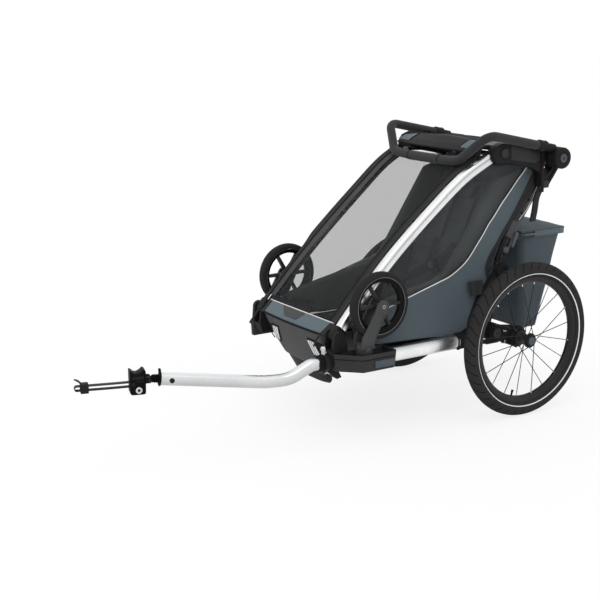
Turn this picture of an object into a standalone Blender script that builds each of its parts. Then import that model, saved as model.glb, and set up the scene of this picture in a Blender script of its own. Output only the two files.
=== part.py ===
"""Child bike trailer with stowed stroller wheels, a tow arm and a flipped push bar.

Metres, +Z up, the floor at z = 0. The trailer faces -Y, and +X is its left side, where
the tow arm sits. Sizes are written in the axle frame, whose y = 0 is the wheel axle; one
empty carries every piece, so that the row's origin lies under the middle of the box.
"""

import math

import bmesh
import bpy
from mathutils import Matrix, Vector

# Shared clearances
GAP = 0.0003            # air left between two pieces that touch
RUN_GAP = 0.0010        # air beside a face that slides or turns
ORIGIN_AHEAD = 0.4936   # the row's origin lies this far ahead of the axle

# Main wheels, 20 inch
TYRE_R = 0.250
TYRE_SECTION_R = 0.0235
TYRE_SIDES = 10
WHEEL_X = 0.315
RIM_WIDTH = 0.024
RIM_DEPTH = 0.0175
WHEEL_SEGMENTS = 40
SPOKES = 20
SPOKE_R = 0.0011
HUB_BARREL_R = 0.014
HUB_FLANGE_R = 0.024
HUB_CAP_R = 0.019
HUB_FLANGES = (-0.0240, 0.0178)
HUB_FLANGE_THICKNESS = 0.0044
BUTTON_RECESS = 0.0080
HUB_INNER = -0.030      # hub ends, measured outwards from the wheel's middle plane
HUB_OUTER = 0.0265
AXLE_PIN_R = 0.0065
HUB_BUTTON_R = 0.0130
HUB_BUTTON_TRAVEL = 0.0030
BUTTON_PROUD = 0.0025

# Lower frame
RAIL_X_IN = 0.2270
RAIL_X_OUT = 0.2550
RAIL_Z_LOW = 0.2360
RAIL_Z_HIGH = 0.2800
RAIL_Y_FRONT = -0.4997
RAIL_Y_REAR = -0.2200
RAIL_SLANT = 0.0350
BRACKET_Y_REAR = -0.0600
ARM_PIVOT = (-0.0900, 0.2750)
REAR_BEAM_R = 0.0110
ARM_THICKNESS = 0.0190
ARM_EYE_R = 0.0230
DRUM_R = 0.0340
KNOB_SEAT = 0.0015      # depth by which the pivot knob sinks into its arm
UPRIGHT_X_IN = 0.2070
UPRIGHT_THICKNESS = 0.0155
FRONT_BEAM_R = 0.0125
FRONT_BEAM_AT = (-0.6360, 0.3445)

# Fold
FOLD_PIVOT = (-0.6650, 0.3350)
FOLD_PIN_R = 0.0060
STRUT_FOOT = (-0.0300, 0.4520)
STRUT_HEAD = (0.1280, 0.7350)
STRUT_X = 0.1962
STRUT_R = 0.0095
COLLAR_R = 0.0130
COLLAR_ALONG = 0.1000
COLLAR_LENGTH = 0.0420
LEVER_LENGTH = 0.0400
LEVER_THICKNESS = 0.0060

# Front tubes
TUBE_WIDTH = 0.030
TUBE_DEPTH = 0.032
TUBE_ROUTE = (
    (0.2050, -0.6440, 0.3520),
    (0.2020, -0.5420, 0.4620),
    (0.2000, -0.4330, 0.5680),
    (0.2030, -0.2880, 0.6920),
    (0.2080, -0.1900, 0.7690),
    (0.2120, -0.0950, 0.8210),
)

# Shoulders and push bar
SHOULDER_X_IN = 0.2070
SHOULDER_X_OUT = 0.2410
PUSH_PIVOT = (0.1550, 0.8130)
PUSH_HUB_R = 0.0340
PUSH_HUB_X_OUT = 0.2850
PUSH_BUTTON_R = 0.0140
PUSH_BUTTON_TRAVEL = 0.0030
PUSH_RECESS = 0.0090
PUSH_ARM_X = 0.2560
PUSH_TUBE_R = 0.0145
PUSH_SLEEVE_R = 0.0152
PUSH_SLEEVE_HALF = 0.0750
PUSH_TOE_IN = 0.0060
PUSH_COLLAR_END = (0.0750, 0.8555)
PUSH_BEND = (-0.1300, 0.8980)
PUSH_CROSS = (-0.1745, 0.8155)
PUSH_CROSS_HALF = 0.1640

# Corner trays and stowed stroller wheels
TRAY_X_IN = 0.2240
TRAY_X_OUT = 0.3050
TRAY_Y_FRONT = -0.6900
TRAY_Y_REAR = -0.5000
TRAY_Z_LOW = 0.2380
TRAY_Z_HIGH = 0.2900
TRAY_CHAMFER = 0.0700
TRAY_WALL = 0.0055
TRAY_RECESS = 0.0200
SMALL_WHEEL_AT = (0.2560, -0.5400, 0.4220)
SMALL_TYRE_R = 0.1015
SMALL_TYRE_DEPTH = 0.0170
SMALL_TYRE_WIDTH = 0.0300
SMALL_SPOKES = 6
SMALL_HUB_R = 0.0150
SMALL_BOLT_R = 0.0040
FORK_LEG_THICKNESS = 0.0090
FORK_LEG_WIDTH = 0.0440
FORK_LEG_TOP_R = 0.0200
FORK_BASE_R = 0.0262
FORK_BASE_Y = -0.5930
FORK_BASE_HEIGHT = 0.0420

# Cabin
CLOTH = 0.0020
COVER_GAP = 0.0006       # air between the front cover and its tubes
SIDE_CLOTH_X = 0.1985
SIDE_FROM = 0.100        # the side cloth's ends, as shares of the front tube's length
SIDE_TO = 0.955
SIDE_AIR = 0.0009        # air between the side cloth's front edge and the tube
SIDE_TOP = (0.0740, 0.7860)
SIDE_REAR = (            # (y, z) from the shoulder down to the rail
    (0.0930, 0.7800), (0.0520, 0.6950), (0.0180, 0.6200), (-0.0280, 0.5300), (-0.0620, 0.4580),
    (-0.1120, 0.4050), (-0.1500, 0.3560), (-0.1720, 0.3050), (-0.1850, 0.2660),
)
SIDE_FOOT = ((-0.3600, 0.2840), (-0.5300, 0.2920), (-0.5950, 0.3100))
NOSE_TOP = (-0.6840, 0.3300)
NOSE_FOOT = (-0.6050, 0.1470)
NOSE_TO_TUBE = 0.0140    # from the nose's side to the inner face of a front tube's foot
NOSE_TOP_HALF = TUBE_ROUTE[0][0] - TUBE_WIDTH / 2 - NOSE_TO_TUBE
NOSE_FOOT_HALF = 0.1000
NOSE_WALL = 0.0040
NOSE_TAPER = 1.3
NOSE_FLOOR_Z = 0.2090
CHIN_WALL = 0.0050
HEM_HALF = 0.1790
SEAT_HALF = 0.1550
SEAT_Y = -0.3050
SEAT_DEPTH = 0.2700
SEAT_THICKNESS = 0.0440
SEAT_CROWN = 0.0060
SEAT_CHANNELS = 3
SEAT_BACK_CHANNELS = 5
SEAT_BACK_AT = (-0.0450, 0.5387)
SEAT_BACK_LENGTH = 0.4300
SEAT_BACK_THICKNESS = 0.0360
SEAT_BACK_LEAN = 65.6
PAN_LEDGE_Z = 0.2560
PAN_BELLY_Z = 0.2060
PAN_LEDGE_X = 0.1400
PAN_BELLY_X = 0.1150
PAN_WALL = 0.0040
PAN_Y_FRONT = -0.4993
PAN_Y_REAR = -0.2200

# Cargo bag
BAG_HALF = 0.1755
BAG_WALL = 0.0030
BAG_BAR_R = 0.0050
BAG_BAR_END = 0.1420
BAG_TOP_Z = 0.5600
BAG_FLOOR_Z = 0.2350
BAG_TOP_FRONT_Y = 0.0900
BAG_TOP_REAR_Y = 0.2800
BAG_FLOOR_FRONT_Y = 0.1200
BAG_FLOOR_REAR_Y = 0.2000
LID_HEIGHT = 0.0220
LID_RIM = 0.0060

# Tow arm and hitch
ARM_TUBE_R = 0.0175
RECEIVER_AT = (0.2200, -0.7350, 0.2640)
RECEIVER_LENGTH = 0.0447
RECEIVER_WALL = 0.0055
TOW_ROUTE = (
    (0.2200, -0.7380, 0.2640),
    (0.2200, -0.7600, 0.2630),
    (0.2090, -0.8200, 0.2330),
    (0.1950, -0.8800, 0.2290),
    (0.1850, -0.9130, 0.2310),
    (0.1030, -1.1830, 0.2650),
)
LOCK_PIN_R = 0.0060
NECK_R = 0.0100
COLLAR_FLARE_R = 0.0205
NECK_LENGTH = 0.0260
TONGUE_HALF = 0.0060
TONGUE_HIGH = 0.0068
TONGUE_LENGTH = 0.0150
JAW_START = 0.0180      # the jaw's body begins this far ahead of the neck
JAW_PIVOT = 0.0080
CHEEK_R = 0.0070         # the cheeks end round about the pivot, clear of the neck
JAW_SIZE = (0.0400, 0.0440, 0.0640)
BUTTON_BACK = 0.0300    # the arm's button sits this far behind its front end
BUTTON_R = 0.0060
BUTTON_SINK = 0.0030
BUTTON_TRAVEL = 0.0020
STRAP_WIDTH = 0.0200
STRAP_LENGTH = 0.1500
STRAP_DROP = -0.0120
STRAP_THICKNESS = 0.0016
STRAP_PLY_GAP = 0.0110

# Colours (sRGB hex), roughness, metallic
PAINTS = {
    "rubber": ("2B2B2B", 0.85, 0.0),
    "black_plastic": ("2E2E2F", 0.55, 0.0),
    "grey_plastic": ("4B555F", 0.45, 0.0),
    "aluminium": ("C9CACB", 0.28, 1.0),
    "steel": ("B4B6B8", 0.30, 1.0),
    "black_metal": ("232323", 0.40, 0.6),
    "slate_cloth": ("4B565D", 0.90, 0.0),
    "light_slate_cloth": ("62717A", 0.90, 0.0),
    "dark_cloth": ("393939", 0.92, 0.0),
    "tinted_film": ("5A5E60", 0.25, 0.0),
    "foam": ("303030", 0.95, 0.0),
    "reflector": ("D5D7D8", 0.15, 0.3),
}

SIDES = ((1, "left"), (-1, "right"))


def clear_scene():
    """Remove whatever the scene holds."""
    for obj in list(bpy.data.objects):
        bpy.data.objects.remove(obj, do_unlink=True)


def linear(channel):
    """sRGB channel, 0 to 1, to linear light."""
    return channel / 12.92 if channel <= 0.04045 else ((channel + 0.055) / 1.055) ** 2.4


def make_material(name, paint):
    """One Principled material for one piece."""
    colour, roughness, metallic = PAINTS[paint]
    material = bpy.data.materials.new(name + "_" + paint)
    material.use_nodes = True
    shader = material.node_tree.nodes["Principled BSDF"]
    rgb = [linear(int(colour[i:i + 2], 16) / 255) for i in (0, 2, 4)]
    shader.inputs["Base Color"].default_value = (*rgb, 1.0)
    shader.inputs["Roughness"].default_value = roughness
    shader.inputs["Metallic"].default_value = metallic
    return material


def add_piece(name, data, paint, pivot=(0, 0, 0)):
    """Link one named piece under the trailer's empty, with its origin on its pivot."""
    data.transform(Matrix.Translation(-Vector(pivot)))
    piece = bpy.data.objects.new(name, data)
    bpy.context.collection.objects.link(piece)
    piece.parent = TRAILER
    piece.location = pivot
    data.materials.append(make_material(name, paint))
    return piece


def add_mesh(name, solid, paint, pivot=(0, 0, 0), smooth_angle=35):
    """Turn a bmesh of closed bodies into a named piece."""
    bmesh.ops.recalc_face_normals(solid, faces=solid.faces)
    mesh = bpy.data.meshes.new(name)
    solid.to_mesh(mesh)
    solid.free()
    mesh.shade_smooth()
    mesh.set_sharp_from_angle(angle=math.radians(smooth_angle))
    return add_piece(name, mesh, paint, pivot)


def add_joined(name, bodies, paint, pivot=(0, 0, 0), smooth_angle=35):
    """One piece from bodies that overlap one another, joined by live Boolean unions."""
    piece = add_mesh(name, bodies[0], paint, pivot, smooth_angle)
    for number, body in enumerate(bodies[1:], 1):
        helper = add_mesh(f"{name}_join_{number}", body, paint, pivot)
        use_tool(piece, helper, "UNION")
    return piece


def use_tool(piece, tool, operation):
    """Join a helper's shape to a piece, or take it out, with a live Boolean."""
    tool.hide_render = True
    tool.display_type = "WIRE"
    boolean = piece.modifiers.new(operation.title(), "BOOLEAN")
    boolean.operation = operation
    boolean.solver = "EXACT"
    boolean.object = tool


def bore(piece, start, end, radius, segments, pivot):
    """Drill a round hole through a piece."""
    drill = bmesh.new()
    cylinder(drill, start, end, radius, segments)
    use_tool(piece, add_mesh(f"{piece.name}_bore", drill, "steel", pivot), "DIFFERENCE")


def body_of(builder, *args, **options):
    """A bmesh that holds one body."""
    body = bmesh.new()
    builder(body, *args, **options)
    return body


def block(solid, low, high):
    """Add a box between two corners."""
    low, high = Vector(low), Vector(high)
    size = Matrix.Diagonal((*(abs(a - b) for a, b in zip(high, low)), 1))
    bmesh.ops.create_cube(solid, size=1, matrix=Matrix.Translation((low + high) / 2) @ size)


def rounded_block(solid, low, high, radius, steps=2):
    """Add a box whose edges are all rounded."""
    part = bmesh.new()
    block(part, low, high)
    bmesh.ops.bevel(part, geom=part.edges, offset=radius, segments=steps, affect="EDGES",
                    profile=0.5)
    merge(solid, part)


def merge(solid, part):
    """Copy one bmesh into another and free it."""
    mesh = bpy.data.meshes.new("scratch")
    part.to_mesh(mesh)
    part.free()
    solid.from_mesh(mesh)
    bpy.data.meshes.remove(mesh)


def square_to(axis):
    """Two unit vectors square to an axis and to each other."""
    axis = Vector(axis).normalized()
    helper = Vector((0, 0, 1)) if abs(axis.z) < 0.9 else Vector((0, 1, 0))
    first = axis.cross(helper).normalized()
    return first, axis.cross(first).normalized()


def turned(solid, centre, axis, profile, segments, closed_ring=False):
    """Add a turned body. profile holds (distance along the axis, radius).

    A closed ring joins its last point to its first; otherwise flat caps close the ends.
    """
    centre, axis = Vector(centre), Vector(axis).normalized()
    first, second = square_to(axis)
    rings = []
    for along, radius in profile:
        ring = []
        for step in range(segments):
            angle = 2 * math.pi * step / segments
            out = first * math.cos(angle) + second * math.sin(angle)
            ring.append(solid.verts.new(centre + axis * along + out * radius))
        rings.append(ring)
    if closed_ring:
        rings.append(rings[0])
    else:
        solid.faces.new(rings[0])
        solid.faces.new(rings[-1])
    for ring, following in zip(rings, rings[1:]):
        for step in range(segments):
            after = (step + 1) % segments
            solid.faces.new((ring[step], ring[after], following[after], following[step]))


def cylinder(solid, start, end, radius, segments=16, edge=0.0):
    """Add a round bar between two points, with its end edges chamfered by edge."""
    start, end = Vector(start), Vector(end)
    length = (end - start).length
    profile = [(0, radius), (length, radius)]
    if edge:
        profile = [(0, radius - edge), (edge, radius), (length - edge, radius), (length, radius - edge)]
    turned(solid, start, end - start, profile, segments)


def circle(centre, radius, count, start=0.0, end=360.0):
    """Points on an arc, in degrees; a full turn leaves out its last point."""
    full = abs(end - start) >= 360
    steps = count if full else count - 1
    angles = [math.radians(start + (end - start) * i / steps) for i in range(count)]
    return [(centre[0] + radius * math.cos(a), centre[1] + radius * math.sin(a)) for a in angles]


def prism(solid, plane, outline, low, high, holes=()):
    """Add an outline, drawn square to the named axis, between two heights along it."""
    part = bmesh.new()
    for loop in (outline, *holes):
        if plane == "x":
            points = [Vector((low, a, b)) for a, b in loop]
        elif plane == "y":
            points = [Vector((a, low, b)) for a, b in loop]
        else:
            points = [Vector((a, b, low)) for a, b in loop]
        verts = [part.verts.new(p) for p in points]
        for i, vert in enumerate(verts):
            part.edges.new((vert, verts[(i + 1) % len(verts)]))
    bmesh.ops.triangle_fill(part, use_beauty=True, use_dissolve=False, edges=part.edges[:])
    top = bmesh.ops.extrude_face_region(part, geom=part.faces[:])
    shift = {"x": (high - low, 0, 0), "y": (0, high - low, 0), "z": (0, 0, high - low)}[plane]
    moved = [v for v in top["geom"] if isinstance(v, bmesh.types.BMVert)]
    bmesh.ops.translate(part, verts=moved, vec=shift)
    bmesh.ops.recalc_face_normals(part, faces=part.faces)
    merge(solid, part)


def sided(side, low, high):
    """Two x limits of a piece on one side, in rising order."""
    return sorted((side * low, side * high))


def smooth_route(points, count):
    """Points read from one smooth curve through the given ones (Catmull-Rom)."""
    pts = [Vector(p) for p in points]
    pts = [2 * pts[0] - pts[1], *pts, 2 * pts[-1] - pts[-2]]
    spans = len(points) - 1
    route = []
    for i in range(count):
        place = spans * i / (count - 1)
        k = min(int(place), spans - 1)
        t = place - k
        a, b, c, d = pts[k:k + 4]
        route.append(0.5 * (2 * b + (c - a) * t + (2 * a - 5 * b + 4 * c - d) * t ** 2
                            + (3 * b - a - 3 * c + d) * t ** 3))
    return route


def rounded_route(points, radii, steps=5):
    """A polyline whose inner corners are rounded by the given radii."""
    pts = [Vector(p) for p in points]
    route = [pts[0]]
    for before, corner, after, radius in zip(pts, pts[1:], pts[2:], radii):
        back, ahead = (before - corner).normalized(), (after - corner).normalized()
        half = back.angle(ahead) / 2
        reach = radius / math.tan(half)
        centre = corner + (back + ahead).normalized() * (radius / math.sin(half))
        start, end = corner + back * reach - centre, corner + ahead * reach - centre
        turn = start.angle(end)
        for i in range(steps + 1):
            t = i / steps
            arm = (start * math.sin((1 - t) * turn) + end * math.sin(t * turn)) / math.sin(turn)
            route.append(centre + arm)
    route.append(pts[-1])
    return route


def tube_curve(name, route, radius, paint, resolution=2, pivot=(0, 0, 0)):
    """A bent round bar: a POLY curve with a bevel and filled caps."""
    curve = bpy.data.curves.new(name, "CURVE")
    curve.dimensions = "3D"
    curve.bevel_depth = radius
    curve.bevel_resolution = resolution
    curve.use_fill_caps = True
    spline = curve.splines.new("POLY")
    spline.points.add(len(route) - 1)
    for point, place in zip(spline.points, route):
        point.co = (*place, 1)
    return add_piece(name, curve, paint, pivot)


def swept(solid, route, section, side_axis=(1, 0, 0)):
    """Add a section, drawn along side_axis and the route's normal, swept along a route."""
    side_axis = Vector(side_axis)
    rings = []
    for i, place in enumerate(route):
        before, after = route[max(i - 1, 0)], route[min(i + 1, len(route) - 1)]
        tangent = (after - before).normalized()
        across = (side_axis - tangent * side_axis.dot(tangent)).normalized()
        normal = across.cross(tangent)
        rings.append([solid.verts.new(place + across * u + normal * v) for u, v in section])
    count = len(section)
    sides = []
    for ring, following in zip(rings, rings[1:]):
        for step in range(count):
            after = (step + 1) % count
            sides.append(solid.faces.new((ring[step], ring[after], following[after], following[step])))
    bmesh.ops.triangulate(solid, faces=sides)
    solid.faces.new(rings[0])
    solid.faces.new(rings[-1])


def grid_sheet(solid, rows, thickness):
    """Add a thin closed sheet over a grid of points, thickened against its normals."""
    part = bmesh.new()
    verts = [[part.verts.new(p) for p in row] for row in rows]
    for row, following in zip(verts, verts[1:]):
        for i in range(len(row) - 1):
            part.faces.new((row[i], row[i + 1], following[i + 1], following[i]))
    bmesh.ops.recalc_face_normals(part, faces=part.faces)
    bmesh.ops.solidify(part, geom=part.faces[:], thickness=thickness)
    bmesh.ops.recalc_face_normals(part, faces=part.faces)
    merge(solid, part)


def blended(start, end, share):
    """A point between two, at a share of the way."""
    return tuple(a + (b - a) * share for a, b in zip(start, end))


def strut_direction():
    """Unit (y, z) from the strut's foot to its head."""
    dy, dz = STRUT_HEAD[0] - STRUT_FOOT[0], STRUT_HEAD[1] - STRUT_FOOT[1]
    length = math.hypot(dy, dz)
    return dy / length, dz / length


# Main wheels

def make_tyre(side, tag):
    """Rubber tyre, a ring whose round section sits in the rim."""
    solid = bmesh.new()
    centre_r = TYRE_R - TYRE_SECTION_R
    ring = circle((0, centre_r), TYRE_SECTION_R / math.cos(math.pi / TYRE_SIDES), TYRE_SIDES)
    turned(solid, (side * WHEEL_X, 0, TYRE_R), (side, 0, 0), ring, WHEEL_SEGMENTS, True)
    add_mesh(f"tyre_{tag}", solid, "rubber", (side * WHEEL_X, 0, TYRE_R), 60)


def rim_outer_radius():
    """The rim sits just inside the tyre's flat inner facet."""
    return TYRE_R - 2 * TYRE_SECTION_R - GAP


def make_rim(side, tag):
    """Black rim with a tapered bed, and the valve stem that stands on it."""
    outer = rim_outer_radius()
    inner = outer - RIM_DEPTH
    half = RIM_WIDTH / 2
    ring = [(-half, outer), (half, outer), (0.9 * half, inner + RIM_DEPTH * 0.3), (0.5 * half, inner),
            (-0.5 * half, inner), (-0.9 * half, inner + RIM_DEPTH * 0.3)]
    centre = Vector((side * WHEEL_X, 0, TYRE_R))
    rim = body_of(turned, centre, (side, 0, 0), ring, WHEEL_SEGMENTS, True)
    valve_angle = math.radians(-106.5)
    out = Vector((0, math.cos(valve_angle), math.sin(valve_angle)))
    valve = body_of(cylinder, centre + out * (inner - 0.026), centre + out * (inner + 0.004), 0.0032, 8)
    add_joined(f"rim_{tag}", [rim, valve], "black_metal", centre)


def spoke_ends(side, spoke):
    """Hub end and rim end of one crossed spoke."""
    rim_end = (rim_outer_radius() - RIM_DEPTH) * math.cos(math.pi / WHEEL_SEGMENTS) - GAP
    rim_angle = 2 * math.pi * (spoke + 0.5) / SPOKES
    lead = 1 if (spoke // 2) % 2 else -1
    hub_angle = rim_angle + lead * math.radians(52)
    flange = HUB_FLANGES[spoke % 2]
    apart = lead * (SPOKE_R + GAP / 2)
    ends = []
    for x, radius, angle in ((flange + apart, HUB_FLANGE_R - 0.0025, hub_angle),
                             (math.copysign(0.0030, flange) + apart, rim_end, rim_angle)):
        ends.append((side * (WHEEL_X + x), radius * math.cos(angle), TYRE_R + radius * math.sin(angle)))
    return ends


def make_hub(side, tag):
    """Turned hub with two flanges, its bore and button recess, and the spokes laced in it."""
    bore_r = AXLE_PIN_R + GAP
    recess = HUB_OUTER - BUTTON_RECESS
    inner_flange, outer_flange = HUB_FLANGES
    half = HUB_FLANGE_THICKNESS / 2
    profile = [
        (HUB_INNER, bore_r), (HUB_INNER, 0.0160), (inner_flange - half, 0.0160),
        (inner_flange - half, HUB_FLANGE_R), (inner_flange + half, HUB_FLANGE_R),
        (inner_flange + half, HUB_BARREL_R), (outer_flange - half, HUB_BARREL_R),
        (outer_flange - half, HUB_FLANGE_R), (outer_flange + half, HUB_FLANGE_R),
        (outer_flange + half, HUB_CAP_R), (HUB_OUTER - 0.0015, HUB_CAP_R), (HUB_OUTER, HUB_CAP_R - 0.0015),
        (HUB_OUTER, HUB_BUTTON_R + GAP), (recess, HUB_BUTTON_R + GAP), (recess, bore_r),
    ]
    centre = (side * WHEEL_X, 0, TYRE_R)
    hub = body_of(turned, centre, (side, 0, 0), profile, 24, True)
    spokes = bmesh.new()
    for spoke in range(SPOKES):
        cylinder(spokes, *spoke_ends(side, spoke), SPOKE_R, 4)
    add_joined(f"hub_{tag}", [hub, spokes], "black_metal", centre)


def make_hub_button(side, tag):
    """Quick release button in the hub's outer end."""
    solid = bmesh.new()
    inner = HUB_OUTER - BUTTON_RECESS + HUB_BUTTON_TRAVEL + GAP
    outer = HUB_OUTER + BUTTON_PROUD
    profile = [(inner, HUB_BUTTON_R), (outer - 0.001, HUB_BUTTON_R), (outer, HUB_BUTTON_R - 0.0025)]
    centre = (side * WHEEL_X, 0, TYRE_R)
    turned(solid, centre, (side, 0, 0), profile, 20)
    add_mesh(f"hub_button_{tag}", solid, "grey_plastic", (side * (WHEEL_X + inner), 0, TYRE_R))


# Suspension and lower frame

def arm_x_limits():
    """Inner and outer |x| of the suspension arm plate."""
    inner = RAIL_X_OUT - 0.0035 + GAP
    return inner, inner + ARM_THICKNESS


def make_suspension_arm(side, tag):
    """Trailing arm from its pivot to the axle, with drum, axle pin and pivot knob."""
    inner, outer = arm_x_limits()
    axle = (0.0, TYRE_R)
    lean = math.degrees(math.atan2(axle[1] - ARM_PIVOT[1], axle[0] - ARM_PIVOT[0]))
    outline = circle(ARM_PIVOT, ARM_EYE_R, 9, lean + 90, lean + 270)
    outline += circle(axle, DRUM_R, 11, lean - 90, lean + 90)
    hole = circle(ARM_PIVOT, REAR_BEAM_R + GAP, 16)
    plate = body_of(prism, "x", outline, *sided(side, inner, outer), holes=[hole])
    drum_end = WHEEL_X + HUB_INNER - GAP
    drum_start = outer - ARM_THICKNESS / 2
    drum_length = drum_end - drum_start
    drum = body_of(turned, (side * drum_start, *axle), (side, 0, 0),
                   [(0, DRUM_R - 0.002), (drum_length - 0.003, DRUM_R - 0.002),
                    (drum_length, DRUM_R - 0.005)], 24)
    pin_end = WHEEL_X + HUB_OUTER - BUTTON_RECESS - GAP
    pin = body_of(cylinder, (side * outer, *axle), (side * pin_end, *axle), AXLE_PIN_R, 16)
    knob = body_of(cylinder, (side * (outer - KNOB_SEAT), *ARM_PIVOT), (side * (outer + 0.009), *ARM_PIVOT),
                   0.0175, 18, 0.002)
    add_joined(f"suspension_arm_{tag}", [plate, drum, pin, knob], "black_plastic",
               (side * inner, *ARM_PIVOT))


def make_side_rail(side, tag):
    """Bright side rail with rounded edges and a slanted front end."""
    solid = bmesh.new()
    x_in, x_out = RAIL_X_IN, RAIL_X_OUT
    middle = (RAIL_Z_LOW + RAIL_Z_HIGH) / 2
    section = [
        (x_in, RAIL_Z_LOW + 0.003), (x_in + 0.003, RAIL_Z_LOW), (x_out - 0.009, RAIL_Z_LOW),
        (x_out - 0.003, RAIL_Z_LOW + 0.006), (x_out, middle - 0.006), (x_out, middle + 0.006),
        (x_out - 0.003, RAIL_Z_HIGH - 0.006), (x_out - 0.009, RAIL_Z_HIGH),
        (x_in + 0.003, RAIL_Z_HIGH), (x_in, RAIL_Z_HIGH - 0.003),
    ]
    rise = RAIL_Z_HIGH - RAIL_Z_LOW
    fronts, rears = [], []
    for x, z in section:
        front = RAIL_Y_FRONT + RAIL_SLANT * (RAIL_Z_HIGH - z) / rise
        fronts.append(solid.verts.new((side * x, front, z)))
        rears.append(solid.verts.new((side * x, RAIL_Y_REAR, z)))
    for i in range(len(section)):
        j = (i + 1) % len(section)
        solid.faces.new((fronts[i], fronts[j], rears[j], rears[i]))
    solid.faces.new(fronts)
    solid.faces.new(rears)
    add_mesh(f"side_rail_{tag}", solid, "aluminium")


def make_rear_bracket(side, tag):
    """Black bracket behind the rail, with the upright that carries the rear strut."""
    y_front = RAIL_Y_REAR + GAP
    bracket = [(y_front, RAIL_Z_LOW), (BRACKET_Y_REAR - 0.010, RAIL_Z_LOW + 0.002),
               (BRACKET_Y_REAR, RAIL_Z_LOW + 0.014), (BRACKET_Y_REAR, RAIL_Z_HIGH + 0.004),
               (BRACKET_Y_REAR - 0.012, RAIL_Z_HIGH + 0.018), (-0.150, RAIL_Z_HIGH + 0.018),
               (-0.190, RAIL_Z_HIGH + 0.002), (y_front, RAIL_Z_HIGH)]
    foot_y, foot_z = STRUT_FOOT
    upright = [(-0.178, 0.243), (-0.072, 0.243), (-0.066, 0.300), (-0.044, 0.385),
               (foot_y + 0.018, foot_z - 0.004), (foot_y + 0.013, foot_z + 0.014),
               (foot_y - 0.002, foot_z + 0.020), (foot_y - 0.018, foot_z + 0.014),
               (-0.088, 0.420), (-0.128, 0.372), (-0.158, 0.320)]
    upright_out = UPRIGHT_X_IN + UPRIGHT_THICKNESS
    x_out = arm_x_limits()[0] - GAP
    bodies = [body_of(prism, "x", bracket, *sided(side, upright_out - 0.002, x_out)),
              body_of(prism, "x", upright, *sided(side, UPRIGHT_X_IN, upright_out))]
    piece = add_joined(f"rear_bracket_{tag}", bodies, "black_plastic")
    bore(piece, (side * (UPRIGHT_X_IN - 0.01), *ARM_PIVOT), (side * (x_out + 0.01), *ARM_PIVOT),
         REAR_BEAM_R + GAP, 16, (0, 0, 0))


def make_rear_beam():
    """Cross tube through the brackets, on which both suspension arms turn."""
    reach = arm_x_limits()[1] - KNOB_SEAT - GAP
    solid = body_of(cylinder, (-reach, *ARM_PIVOT), (reach, *ARM_PIVOT), REAR_BEAM_R, 16)
    add_mesh("rear_beam", solid, "black_metal")


def make_front_knuckles():
    """Front corner knuckles whose cheeks hold the fold pins, and the beam between them."""
    y, z = FOLD_PIVOT
    beam_y, beam_z = FRONT_BEAM_AT
    half = TUBE_WIDTH / 2 + RUN_GAP
    middle = TUBE_ROUTE[0][0]
    inner_low = z - 0.074
    block_top = z - 0.046
    inner_cheek = circle((y, z), 0.0185, 7, 40, 190)
    inner_cheek += [(y - 0.024, z - 0.040), (y - 0.016, inner_low), (y + 0.034, inner_low)]
    inner_cheek += circle((beam_y, beam_z), FRONT_BEAM_R + 0.004, 6, -50, 90)
    outer_cheek = circle((y, z), 0.0190, 9, -10, 190)
    outer_cheek += [(y - 0.022, TRAY_Z_HIGH + GAP), (y + 0.030, TRAY_Z_HIGH + GAP), (y + 0.026, z - 0.018)]
    foot = [(y - 0.024, block_top), (y - 0.016, inner_low), (y + 0.034, inner_low), (y + 0.030, block_top)]
    riser = [(y - 0.020, block_top - 0.004), (y + 0.026, block_top - 0.004), (y + 0.026, block_top + 0.010),
             (y - 0.020, block_top + 0.010)]
    reach = middle - half - 0.001
    bodies = [body_of(cylinder, (-reach, beam_y, beam_z), (reach, beam_y, beam_z), FRONT_BEAM_R, 16)]
    for side, _ in SIDES:
        for outline, low, high in ((inner_cheek, NOSE_TOP_HALF + 0.004 + GAP, middle - half),
                                   (foot, middle - half - 0.004, TRAY_X_IN - GAP),
                                   (riser, middle + half, TRAY_X_IN - GAP),
                                   (outer_cheek, middle + half + 0.0005, middle + half + 0.014)):
            bodies.append(body_of(prism, "x", outline, *sided(side, low, high)))
        start, end = middle - half - 0.010, middle + half + 0.016
        bodies.append(body_of(cylinder, (side * start, y, z), (side * end, y, z), FOLD_PIN_R, 12, 0.001))
    add_joined("front_knuckles", bodies, "black_plastic")


def tray_outline(inset=0.0):
    """Plan of the left corner tray, moved inwards by inset."""
    chamfer = TRAY_CHAMFER
    return [
        (TRAY_X_IN + inset, TRAY_Y_REAR - inset), (TRAY_X_IN + inset, TRAY_Y_FRONT + inset),
        (TRAY_X_IN + 0.016, TRAY_Y_FRONT + inset),
        (TRAY_X_OUT - inset, TRAY_Y_FRONT + chamfer + inset * 0.4),
        (TRAY_X_OUT - inset, TRAY_Y_REAR - 0.012), (TRAY_X_OUT - 0.012, TRAY_Y_REAR - inset),
    ]


def make_tray(side, tag):
    """Corner tray with a raised rim and a recess, where the fork's base stands."""
    solid = bmesh.new()
    floor = TRAY_Z_HIGH - TRAY_RECESS
    loops = []
    for inset, z in ((0.006, TRAY_Z_LOW), (0.0, TRAY_Z_LOW + 0.008), (0.0, TRAY_Z_HIGH),
                     (TRAY_WALL, TRAY_Z_HIGH), (TRAY_WALL, floor)):
        loops.append([solid.verts.new((side * x, y, z)) for x, y in tray_outline(inset)])
    for loop, following in zip(loops, loops[1:]):
        for i in range(len(loop)):
            j = (i + 1) % len(loop)
            solid.faces.new((loop[i], loop[j], following[j], following[i]))
    solid.faces.new(loops[0])
    solid.faces.new(loops[-1])
    add_mesh(f"corner_tray_{tag}", solid, "black_plastic", smooth_angle=25)


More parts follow.
